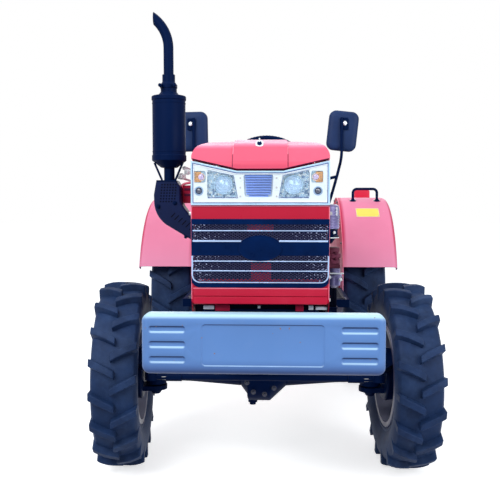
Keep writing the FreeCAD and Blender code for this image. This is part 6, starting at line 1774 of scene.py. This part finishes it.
def make_dash():
    """Dials, lamps, switches and the throttle on the dash, and seams on the cowl."""
    lo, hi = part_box("dash_cowl")
    rear = hi.y
    panel, ring, face, tick, needle, knob = meshes(6)
    plate = rectangle(-0.205, 0.205, 1.045, 1.205, 0.02, 6)
    add_shell(panel, [(0, rear - 0.001), (0, rear + 0.004), (0.002, rear + 0.006),
        (0.02, rear + 0.006)], plate, vec)
    dials = ((0.0, 1.15, 0.047), (-0.112, 1.14, 0.034), (0.112, 1.14, 0.034))
    for x, z, r in dials:
        at = vec(x, rear + 0.0058, z)
        add_lathe(ring, at, Y, [(0, r + 0.004), (0.005, r + 0.004), (0.007, r + 0.001),
            (0.006, r - 0.001), (0.001, r - 0.0015)], 44)
        add_lathe(face, at + Y * 0.0005, Y, [(0, r - 0.001), (0.0012, r - 0.001), (0.0012, 0)], 40)
        for k in range(11):
            a = radians(225 - 27 * k)
            d = vec(-cos(a), 0, sin(a))
            add_bar(tick, at + Y * 0.002 + d * (r * 0.74), at + Y * 0.002 + d * (r * 0.92),
                0.0018 if k % 5 else 0.003, 0.0008, Y.cross(d))
        a = radians(225 - 60 if x == 0 else 140)
        d = vec(-cos(a), 0, sin(a))
        add_bar(needle, at + Y * 0.0028 - d * (r * 0.18), at + Y * 0.0028 + d * (r * 0.78), 0.0022,
            0.0009, Y.cross(d))
        add_lathe(tick, at + Y * 0.0022, Y, mm(0, 5, 2, 4.8, 2.6, 3, 2.6, 0), 20)
    for k in range(5):
        add_lathe(ring, (-0.06 + 0.03 * k, rear + 0.0058, 1.08), Y,
            mm(0, 7.2, 3, 7.2, 4, 5.5, 3, 5), 20)
        add_lathe(knob, (-0.06 + 0.03 * k, rear + 0.0058, 1.08), Y, mm(0, 5, 3, 5, 4.8, 3, 5.2, 0),
            18)
    for x, z in ((-0.165, 1.08), (-0.128, 1.08), (0.128, 1.08)):
        add_lathe(tick, (x, rear + 0.0055, z), Y, mm(0, 12, 4, 12, 5, 10, 5, 6, 16, 7, 18, 5, 18,
            0), 22)
    add_lathe(ring, (0.165, rear + 0.0055, 1.08), Y, mm(0, 13, 4, 13, 5, 11, 5, 0), 26)
    add_box(ring, (0.1635, rear + 0.009, 1.068), (0.1665, rear + 0.026, 1.092))
    make_piece("dash_panel", panel, black_plastic)
    make_piece("dial_rings", ring, chrome)
    make_piece("dial_faces", face, gauge_white)
    make_piece("dial_marks", tick, black_and_shade)
    make_piece("dial_needles", needle, needle_red)
    make_piece("warning_lamps", knob, red_lens)
    # hand throttle beside the wheel, and rubber on the column
    tube("throttle_arm", [(-0.205, rear - 0.02, 1.235), (-0.23, rear + 0.02, 1.255),
        (-0.235, rear + 0.06, 1.285), (-0.235, rear + 0.078, 1.3)], 0.0055, black_paint)
    bm = bmesh.new()
    add_lathe(bm, (-0.235, rear + 0.076, 1.298), (0, 0.77, 0.64),
        mm(0, 6, 6, 11, 18, 12.5, 28, 10, 33, 5, 34, 0), 24)
    make_piece("throttle_knob", bm, black_plastic)
    bm = bmesh.new()
    wheel = joint["steering_wheel_turn"]
    hub, axis = Vector(wheel["pos_m"]), Vector(wheel["axis"]).normalized()
    add_lathe(bm, hub - axis * 0.13, axis, ribbed(0, 0.05, 0.0288, 5, 0.003) + [(0.052, 0.0288)],
        32)
    make_piece("column_gaiter", bm, hose_rubber)
    bm = bmesh.new()
    for side in SIDES:
        x = side * (hi.x + 0.0002)
        for z in (0.8, 0.9, 1.0, 1.2, 1.27):
            add_bolt(bm, (x, lo.y + 0.022, z), (side, 0, 0), 0.011)
    make_piece("cowl_screws", bm, dull_zinc)
    bm = bmesh.new()
    add_box(bm, (lo.x + 0.012, lo.y + 0.0295, hi.z - 0.0002), (hi.x - 0.012, lo.y + 0.0335,
        hi.z + 0.003))
    make_piece("cowl_seal", bm, hose_rubber, 0.0012)


def make_controls():
    """Gaiters, knobs with their caps, pedal ribs, platform ribs and mats, and the battery."""
    lo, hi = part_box("control_levers")
    floor_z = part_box("gearbox")[1].z
    gaiters, knobs, ribs, mats, bolts = meshes(5)
    y = lo.y + 0.008
    for side in SIDES:
        foot = vec(side * 0.06, y, floor_z)
        tip = vec(side * 0.12, y + 0.04, hi.z - 0.022)
        lean = (tip - foot).normalized()
        add_lathe(gaiters, foot - lean * 0.002, lean, mm(0, 36, 6, 36, 10, 30, 16, 33, 22, 25, 28,
            28, 34, 20, 40, 22, 48, 14, 60, 9.5), 28)
        for k in range(4):
            a = pi / 2 * k + 0.785
            add_bolt(bolts, (foot.x + 0.0335 * cos(a), foot.y + 0.0335 * sin(a), floor_z + 0.003),
                Z, 0.007)
        add_lathe(knobs, tip, lean, mm(-21, 8.5, -20, 13.5, -13, 19, 0, 22.6, 10, 20.6, 16.5, 15,
            17.5, 13.5, 19.5, 12.5, 21.5, 7, 22, 0), 32)
    make_piece("lever_gaiters", gaiters, hose_rubber)
    make_piece("lever_knobs", knobs, black_gloss)
    pads = ((0.288, 0.034), (-0.28, 0.03), (-0.348, 0.03))
    pad_y, pad_z = -0.138, 0.768
    face = vec(0, 0.66, 0.75).normalized()
    slope = vec(0, -0.75, 0.66)
    for x, half in pads:
        for k in range(6):
            at = vec(x, pad_y + 0.0035, pad_z + 0.0005) + face * 0.0055 + slope * (0.0105 * (k
                - 2.5))
            add_bar(ribs, at - X * (half - 0.006), at + X * (half - 0.006), 0.0048, 0.0044, slope)
    make_piece("pedal_ribs", ribs, hose_rubber, 0.001)
    floor_lo, floor_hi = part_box("platform")
    for side in SIDES:
        x0, x1 = both(side, 0.15, floor_hi.x - 0.018)
        plan = rectangle(x0, x1, floor_lo.y + 0.03, floor_hi.y - 0.02, 0.018, 5)
        add_shell(mats, [(0, floor_hi.z - 0.0005), (0, floor_hi.z + 0.0025),
            (0.0012, floor_hi.z + 0.0035), (0.012, floor_hi.z + 0.0035)], plan, lying)
        for k in range(15):
            y = floor_lo.y + 0.048 + 0.0285 * k
            add_box(mats, (x0 + 0.014, y, floor_hi.z + 0.003), (x1 - 0.014, y + 0.011,
                floor_hi.z + 0.0056))
        for y in (floor_lo.y + 0.012, floor_hi.y - 0.01):
            for x in (x0 + 0.02, x1 - 0.004):
                add_bolt(bolts, (x, y, floor_hi.z), Z, 0.011)
    make_piece("platform_mats", mats, hose_rubber, 0.001, 1)
    make_piece("floor_bolts", bolts, dull_zinc)
    # battery on its tray between the engine and the left foot board
    case, top, metal = meshes(3)
    x0, x1, y0, y1, z0 = 0.172, 0.336, -0.462, -0.352, 0.596
    add_box(metal, (0.1502, y0 - 0.006, z0 - 0.006), (x1 + 0.005, y1 + 0.006, z0))
    add_box(metal, (0.1502, y0 + 0.02, z0 - 0.05), (0.154, y1 - 0.02, z0 - 0.004))
    add_box(metal, (0.236, y0, z0 - 0.052), (x1 + 0.002, y0 + 0.004, z0 - 0.005))
    add_box(metal, (0.236, y1 - 0.004, z0 - 0.052), (x1 + 0.002, y1, z0 - 0.005))
    add_box(case, (x0, y0, z0), (x1, y1, z0 + 0.104))
    for k in range(9):
        x = x0 + 0.01 + 0.0175 * k
        add_box(case, (x, y0 - 0.0022, z0 + 0.01), (x + 0.007, y1 + 0.0022, z0 + 0.09))
    add_box(top, (x0 - 0.002, y0 - 0.002, z0 + 0.1045), (x1 + 0.002, y1 + 0.002, z0 + 0.118))
    for k in range(6):
        add_lathe(top, (x0 + 0.018 + 0.0255 * k, (y0 + y1) / 2, z0 + 0.1175), Z,
            mm(0, 9, 4, 9, 6, 7, 6, 0), 18)
    for x in (x0 + 0.018, x1 - 0.018):
        add_lathe(metal, (x, y1 - 0.022, z0 + 0.1175), Z, mm(0, 11, 8, 11, 9, 7.5, 18, 6.5, 18, 0),
            20)
        add_bolt(metal, (x, y0 + 0.012, z0 + 0.1175), Z, 0.009)
    make_piece("battery_case", case, black_and_shade, 0.0016)
    make_piece("battery_top", top, black_plastic, 0.0016)
    make_piece("battery_tray", metal, black_paint, 0.001)


make_seat()
make_wheel_details()
make_dash()
make_controls()


# ---- fenders, rear axle, hitch ----
rear_hub = vec(0, joint["rear_left_spin"]["pos_m"][1], joint["rear_left_spin"]["pos_m"][2])
FENDER_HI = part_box("fenders")[1]
FENDER_RADIUS = FENDER_HI.z - rear_hub.z
FENDER_LO_X = 0.418
FENDER_START, FENDER_END = 20.0, 152.0


def on_fender(x, degrees, proud):
    """A point on the fender's top, degrees up from straight ahead about the wheel's centre."""
    a = radians(degrees)
    out = vec(0, -cos(a), sin(a))
    return (vec(x, rear_hub.y, rear_hub.z) + out * (FENDER_RADIUS + proud), out)


def curved_plate(bm, x0, x1, start, end, thick, steps=8, rise=0.0003):
    """A thin plate wrapped on the fender's top."""
    rings = []
    for k in range(steps + 1):
        angle = start + (end - start) * k / steps
        row = []
        for x, proud in ((x0, rise), (x1, rise), (x1, rise + thick), (x0, rise + thick)):
            row.append(bm.verts.new(on_fender(x, angle, proud)[0]))
        rings.append(row)
    bridge(bm, rings, True)


PLATE_X, PLATE_ANGLES = (0.514, 0.646), (54.0, 62.7)


def make_fender_details():
    """Blank yellow plate, edge beading, bolts, handle feet and tail lamps."""
    bm = bmesh.new()
    curved_plate(bm, *PLATE_X, *PLATE_ANGLES, 0.001)
    make_piece("fender_plate", bm, yellow, 0.0003, 1)
    bm = bmesh.new()
    for x0, x1, a0, a1 in ((0.514, 0.517, 54.0, 62.7), (0.643, 0.646, 54.0, 62.7),
            (0.517, 0.643, 54.0, 54.35), (0.517, 0.643, 62.35, 62.7)):
        curved_plate(bm, x0, x1, a0, a1, 0.0014)
    make_piece("plate_edge", bm, yellow_edge)
    bm = bmesh.new()
    for x in (0.521, 0.639):
        for angle in (54.9, 61.8):
            point, out = on_fender(x, angle, 0.001)
            add_lathe(bm, point, out, mm(0, 3.2, 0.8, 3, 1.6, 1.8, 1.8, 0), 14)
    make_piece("plate_rivets", bm, zinc)
    beads, bolts = meshes(2)
    for side in SIDES:
        # seam bead along the inner edge; its pale red is a painted highlight on that edge
        a, b = both(side, FENDER_LO_X + 0.0005, FENDER_LO_X + 0.0045)
        curved_plate(beads, a, b, FENDER_START, FENDER_END, 0.0012, 64, 0.0)
        for k in range(7):
            angle = 14 + 21 * k
            point, out = on_fender(side * 0.428, angle, -0.014)
            add_bolt(bolts, vec(side * (FENDER_HI.x - 0.306 - 0.0002), point.y, point.z),
                (-side, 0, 0), 0.01)
    make_piece("fender_beads", beads, pale_red)
    make_piece("fender_bolts", bolts, dull_zinc)
    # feet of the grab handles
    lo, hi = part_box("grab_handles")
    bm, bolts = meshes(2)
    for side in SIDES:
        for x in (hi.x - 0.008, hi.x - 0.152):
            y = (lo.y + hi.y) / 2
            z = rear_hub.z + sqrt(FENDER_RADIUS ** 2 - (rear_hub.y - y) ** 2)
            out = vec(0, y - rear_hub.y, z - rear_hub.z).normalized()
            add_lathe(bm, vec(side * x, y, z) - out * 0.0004, out,
                mm(0, 20, 3, 20, 5, 12, 12, 9.5), 24)
            for dx in (-0.0145, 0.0145):
                add_bolt(bolts, vec(side * x + dx, y, z) + out * 0.002, out, 0.008)
    make_piece("handle_feet", bm, black_paint)
    make_piece("handle_bolts", bolts, zinc)
    # tail lamps: housing in front, split lens behind
    lo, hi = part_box("tail_lamps")
    shell, red, orange, screws = meshes(4)
    for side in SIDES:
        x0, x1 = both(side, 0.547, 0.647)
        plan = rectangle(x0, x1, lo.z + 0.0005, hi.z, 0.012, 5)
        add_shell(shell, [(0.01, lo.y), (0.002, lo.y + 0.002), (0, lo.y + 0.01), (0, lo.y + 0.026),
            (0.002, lo.y + 0.026)], plan, vec)
        split = x0 + (x1 - x0) * (0.62 if side < 0 else 0.38)
        for a, b, target in ((x0 + 0.0015, split - 0.0006, orange if side < 0 else red),
                (split + 0.0006, x1 - 0.0015, red if side < 0 else orange)):
            lens = rectangle(a, b, lo.z + 0.002, hi.z - 0.0015, 0.007, 4)
            add_shell(target, [(0, lo.y + 0.0262), (0, hi.y - 0.006), (0.0015, hi.y - 0.002),
                (0.005, hi.y - 0.0008)], lens, vec)
            for k in range(6):
                z = lo.z + 0.01 + (hi.z - lo.z - 0.022) * k / 5
                add_box(target, (a + 0.006, hi.y - 0.0012, z), (b - 0.006, hi.y - 0.0001,
                    z + 0.003))
        for x in (x0 + 0.009, x1 - 0.009):
            add_lathe(screws, (x, hi.y - 0.0016, (lo.z + hi.z) / 2), Y,
                mm(0, 3, 1, 3, 1.6, 2, 1.6, 0), 14)
    piece = make_piece("tail_lamp_shells", shell, warm_red)
    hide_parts("tail_lamps")
    make_piece("tail_lamp_red", red, red_lens)
    make_piece("tail_lamp_amber", orange, amber_plain)
    make_piece("tail_lamp_screws", screws, zinc)


def make_driveline_details():
    """Flange bolts, cast ribs, fillers and covers on the gearbox, rear axle and lift."""
    bolts, cast = meshes(2)
    box_lo, box_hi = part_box("gearbox")
    bell_lo, bell_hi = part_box("bell_housing")
    axle_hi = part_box("rear_axle")[1]
    lift_lo, lift_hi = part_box("lift_housing")
    for side in SIDES:
        for k in range(5):
            z = bell_lo.z + 0.06 + 0.06 * k
            add_box(cast, (side * 0.118 - 0.012, bell_hi.y - 0.016, z - 0.014),
                (side * 0.118 + 0.012, bell_hi.y - 0.002, z + 0.014))
            add_bolt(bolts, (side * 0.118, bell_hi.y - 0.016, z), -Y, 0.012)
        for k in range(4):
            z = box_lo.z + 0.06 + 0.07 * k
            add_box(cast, (min(side * box_hi.x, side * (box_hi.x + 0.009)), 0.3, z),
                (max(side * box_hi.x, side * (box_hi.x + 0.009)), box_hi.y - 0.02, z + 0.01))
            add_bolt(bolts, (side * (box_hi.x + 0.001), box_hi.y - 0.012, z + 0.035), (side, 0, 0),
                0.014)
        # bearing flange of each half shaft
        trumpet = side * (axle_hi.x - 0.052)
        bolt_ring(bolts, (trumpet, rear_hub.y, rear_hub.z), (-side, 0, 0), 0.078, 8, 0.013, 0.2)
        bolt_ring(bolts, (side * 0.1625, rear_hub.y, rear_hub.z), (side, 0, 0), 0.082, 8, 0.013,
            0.2)
        for k in range(4):
            a = radians(45 + 90 * k)
            d = vec(0, cos(a), sin(a))
            at = vec(side * 0.2, rear_hub.y, rear_hub.z)
            add_bar(cast, at + d * 0.066, at + d * 0.066 + X * side * 0.16, 0.008, 0.026,
                d.cross(X))
        for k in range(5):
            y = lift_lo.y + 0.03 + 0.055 * k
            add_bolt(bolts, (side * (lift_hi.x - 0.012), y, lift_lo.z + 0.0135), Z, 0.012)
    add_box(cast, (-lift_hi.x - 0.004, lift_lo.y + 0.004, lift_lo.z + 0.0006),
        (lift_hi.x + 0.004, lift_hi.y - 0.004, lift_lo.z + 0.013))
    bolt_ring(bolts, (0, axle_hi.y - 0.03, 0.56), Y, 0.058, 6, 0.011, 0.3)
    for x in (-0.12, 0.12):
        for z in (0.43, 0.52, 0.62, 0.7):
            add_bolt(bolts, (x, rear_hub.y + 0.12, z), Y, 0.013)
    add_lathe(cast, (-0.075, rear_hub.y + 0.119, 0.475), Y, mm(0, 19, 6, 19, 8, 12, 16, 12, 17, 0),
        6)
    add_lathe(cast, (0.06, 0.02, box_hi.z - 0.001), Z, mm(0, 20, 10, 20, 14, 16, 22, 16, 24, 12,
        24, 0), 24)
    for k in range(8):
        a = 2 * pi * k / 8
        add_bolt(bolts, (0.088 * cos(a), 0.075 + 0.055 * sin(a), box_hi.z + 0.006), Z, 0.011)
    plan = rectangle(-0.1, 0.1, 0.005, 0.145, 0.02, 5)
    add_shell(cast, [(0, box_hi.z - 0.0005), (0, box_hi.z + 0.006), (0.002, box_hi.z + 0.008),
        (0.03, box_hi.z + 0.008)], plan, lying)
    make_piece("driveline_bolts", bolts, dull_zinc)
    make_piece("driveline_castings", cast, red_paint, 0.002)
    # hydraulic couplings, spool lever and pipes on the lift
    tube("lift_pipe", [(-0.1, lift_hi.y - 0.06, lift_hi.z - 0.002),
        (-0.1, lift_hi.y - 0.06, lift_hi.z + 0.025), (-0.118, lift_hi.y - 0.085,
        lift_hi.z + 0.034), (-0.139, lift_hi.y - 0.12, lift_hi.z - 0.01),
        (-0.146, lift_hi.y - 0.17, 0.8), (-0.14, lift_lo.y - 0.03, 0.752)], 0.0058, steel)
    bm = bmesh.new()
    for x in (-0.1, 0.095):
        add_lathe(bm, (x, lift_hi.y - 0.06, lift_hi.z - 0.0008), Z,
            mm(0, 11, 12, 11, 13, 8, 16, 8, 16, 0), 6)
    make_piece("lift_fittings", bm, zinc, 0.0006, 1)
    tube("position_lever", [(0.126, lift_lo.y + 0.05, 0.83), (0.15, lift_lo.y + 0.05, 0.84),
        (0.246, lift_lo.y + 0.01, 0.865), (0.252, lift_lo.y - 0.03, 0.93),
        (0.252, lift_lo.y - 0.07, 0.985)], 0.0058, black_paint)
    bm = bmesh.new()
    add_lathe(bm, (0.252, lift_lo.y - 0.068, 0.98), (0, -0.59, 0.81),
        mm(0, 8, 8, 14, 22, 15.5, 34, 12, 40, 0), 24)
    make_piece("position_knob", bm, warm_red)


def make_hitch_details():
    """Washers, turnbuckles, drawbar pin and splines on the three-point linkage."""
    for name, side in (("left", 1), ("right", -1)):
        pin = Vector(joint[name + "_link_lift"]["pos_m"])
        bm = bmesh.new()
        add_lathe(bm, (side * 0.26, pin.y, pin.z), (side, 0, 0),
            mm(0, 21, 3, 21, 3, 11, 12, 11, 12, 0), 26)
        make_piece("link_washer_" + name, bm, zinc)
        bm = bmesh.new()
        base = vec(side * 0.235, 1.0875, 0.59)
        swing = joint[name + "_rod_swing"]["pos_m"]
        axis = vec(0, swing[1] - base.y, swing[2] - base.z).normalized()
        add_lathe(bm, base, axis, mm(-45, 0, -45, 16, -30, 18.5, 30, 18.5, 45, 16, 45, 0), 6)
        make_piece("turnbuckle_" + name, bm, zinc, 0.0012, body="lift_rod_" + name)
    top_lo, top_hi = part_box("top_link")
    pin = Vector(joint["top_link_swing"]["pos_m"])
    bm = bmesh.new()
    end = vec(0, (top_lo.y + top_hi.y) / 2 + 0.022, top_hi.z - 0.03)
    axis = (end - pin).normalized()
    middle = pin.lerp(end, 0.5)
    add_lathe(bm, middle, axis, mm(-75, 0, -75, 16.5, -62, 20, 62, 20, 75, 16.5, 75, 0), 8)
    make_piece("top_link_sleeve", bm, zinc, 0.0014, body="top_link")
    draw_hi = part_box("drawbar")[1]
    bm = bmesh.new()
    add_lathe(bm, (0, draw_hi.y - 0.036, draw_hi.z), Z, mm(0, 22.5, 3, 22.5, 3, 13.5, 18, 13.5, 22,
        10.5, 22, 0), 28)
    add_bar(bm, (-0.02, draw_hi.y - 0.036, draw_hi.z + 0.014),
        (0.02, draw_hi.y - 0.036, draw_hi.z + 0.014), 0.004, 0.004, Y)
    make_piece("drawbar_pin", bm, zinc, 0.0006, 1)
    shaft = Vector(joint["pto_spin"]["pos_m"])
    pto_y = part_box("pto_shaft")[1].y
    bm = bmesh.new()
    for k in range(6):
        a = 2 * pi * k / 6
        d = vec(cos(a), 0, sin(a))
        add_bar(bm, vec(shaft.x, pto_y - 0.046, shaft.z) + d * 0.017,
            vec(shaft.x, pto_y - 0.004, shaft.z) + d * 0.017, 0.0075, 0.005, d.cross(Y))
    make_piece("pto_splines", bm, steel, 0.0006, body="pto_shaft")


make_fender_details()
make_driveline_details()
make_hitch_details()


# ---- wheels ----
def make_wheel_fittings():
    """Wheel nuts on their studs, hub caps and valve stems."""
    for name, side in (("left", 1), ("right", -1)):
        for end, radius, count, size, valve in (("front", 0.07, 6, 0.019, 0.186),
                ("rear", 0.088, 8, 0.022, 0.283)):
            spin = joint[end + "_" + name + "_spin"]
            axis = Vector(spin["axis"]) * side
            centre = Vector(spin["pos_m"])
            node = end + "_rim_" + name
            axis, across, up = frame_from(axis)
            bm, dark = meshes(2)
            for k in range(count):
                a = 2 * pi * (k + 0.5) / count
                d = across * cos(a) + up * sin(a)
                start = centre + d * radius + axis * 0.3
                point = hit(node, start, -axis)[0]
                add_lathe(bm, point - axis * 0.0005, axis, [(0, size * 0.78),
                    (0.0025, size * 0.78), (0.0045, size * 0.6)], 20)
                add_lathe(bm, point + axis * 0.003, axis, [(0, size * 0.577),
                    (0.013, size * 0.577), (0.015, size * 0.45), (0.015, 0.0055), (0.0215, 0.0055),
                    (0.0225, 0.0045), (0.0225, 0)], 6)
            point = hit(node, centre + axis * 0.3, -axis)[0]
            add_lathe(bm, point - axis * 0.001, axis, mm(0, 22, 4, 22, 6, 19, 6.5, 0), 28)
            # valve through the well
            d = across * cos(0.35) + up * sin(0.35)
            foot = centre + d * (valve - 0.012) + axis * 0.03
            lean = (axis * 0.85 - d * 0.5).normalized()
            add_lathe(dark, foot, lean, mm(0, 8.5, 6, 8.5, 9, 5.5, 20, 4.5, 34, 4.5, 36, 0), 16)
            make_piece(end + "_wheel_nuts_" + name, bm, zinc, 0.0006, 1,
                body=end + "_wheel_" + name)
            make_piece(end + "_valve_" + name, dark, hose_rubber, body=end + "_wheel_" + name)


make_wheel_fittings()


# ---- camera, light, floor ----
CAMERA_BACK = 3.0
camera = add_object("camera", bpy.data.cameras.new("camera"))
camera.data.lens = 52.6
camera.data.sensor_width = 36
camera.location = (0.0756, front_axle.y - CAMERA_BACK, 1.095)
look = vec(-31 / 731, 1, -50 / 731)
camera.rotation_mode = "QUATERNION"
camera.rotation_quaternion = look.to_track_quat("-Z", "Y")
bpy.context.scene.camera = camera


def area_light(name, at, target, size, power):
    light = bpy.data.lights.new(name, "AREA")
    light.shape = "RECTANGLE"
    light.size, light.size_y = size
    light.energy = power
    obj = add_object(name, light)
    obj.location = at
    obj.rotation_mode = "QUATERNION"
    obj.rotation_quaternion = (Vector(target) - Vector(at)).to_track_quat("-Z", "Y")


area_light("key", (-2.5, -4.5, 4.2), (0, -0.6, 0.8), (3.5, 3.5), 222)
area_light("fill", (4.0, -4.0, 2.2), (0, -0.5, 0.7), (3, 3), 126)
area_light("top", (0, 0.5, 5.5), (0, 0, 0.8), (4, 5), 45)
area_light("back", (0, 5.0, 3.0), (0, 0.5, 0.8), (4, 3), 60)


def seen_ray(tree):
    """1 for the rays that show the surroundings: camera, glossy and transmission."""
    path = tree.nodes.new("ShaderNodeLightPath")
    total = path.outputs["Is Camera Ray"]
    for name in ("Is Glossy Ray", "Is Transmission Ray"):
        largest = tree.nodes.new("ShaderNodeMath")
        largest.operation = "MAXIMUM"
        tree.links.new(total, largest.inputs[0])
        tree.links.new(path.outputs[name], largest.inputs[1])
        total = largest.outputs[0]
    return total


def mix_shaders(tree, factor, first, second):
    node = tree.nodes.new("ShaderNodeMixShader")
    tree.links.new(factor, node.inputs[0])
    tree.links.new(first, node.inputs[1])
    tree.links.new(second, node.inputs[2])
    return node.outputs[0]


def light_shader(tree, kind, colour, strength=None):
    node = tree.nodes.new(kind)
    node.inputs[0].default_value = (*colour, 1)
    if strength is not None:
        node.inputs[1].default_value = strength
    return node.outputs[0]


world = bpy.data.worlds.new("studio")
bpy.context.scene.world = world
world.use_nodes = True
tree = world.node_tree
tree.nodes.clear()
sky = light_shader(tree, "ShaderNodeBackground", (0.86, 0.93, 1.0), 0.5)
backdrop = light_shader(tree, "ShaderNodeBackground", (1, 1, 1), 1.0)
out = tree.nodes.new("ShaderNodeOutputWorld")
tree.links.new(mix_shaders(tree, seen_ray(tree), sky, backdrop), out.inputs[0])
# a white floor that keeps the shadow and throws little light back up
bm = bmesh.new()
bmesh.ops.create_grid(bm, x_segments=1, y_segments=1, size=30)
mesh = bpy.data.meshes.new("floor")
bm.to_mesh(mesh)
bm.free()
floor = add_object("floor", mesh)
floor.location.z = cad_lo.z - 0.0005
floor_material = bpy.data.materials.new("floor")
floor_material.use_nodes = True
tree = floor_material.node_tree
tree.nodes.clear()
white = light_shader(tree, "ShaderNodeBsdfDiffuse", (0.9, 0.9, 0.9))
glow = light_shader(tree, "ShaderNodeEmission", (1, 1, 1), 0.62)
lit = tree.nodes.new("ShaderNodeAddShader")
tree.links.new(white, lit.inputs[0])
tree.links.new(glow, lit.inputs[1])
dim = light_shader(tree, "ShaderNodeBsdfDiffuse", (0.22, 0.24, 0.3))
out = tree.nodes.new("ShaderNodeOutputMaterial")
tree.links.new(mix_shaders(tree, seen_ray(tree), dim, lit.outputs[0]), out.inputs[0])
mesh.materials.append(floor_material)
bpy.context.scene.view_settings.view_transform = "Standard"
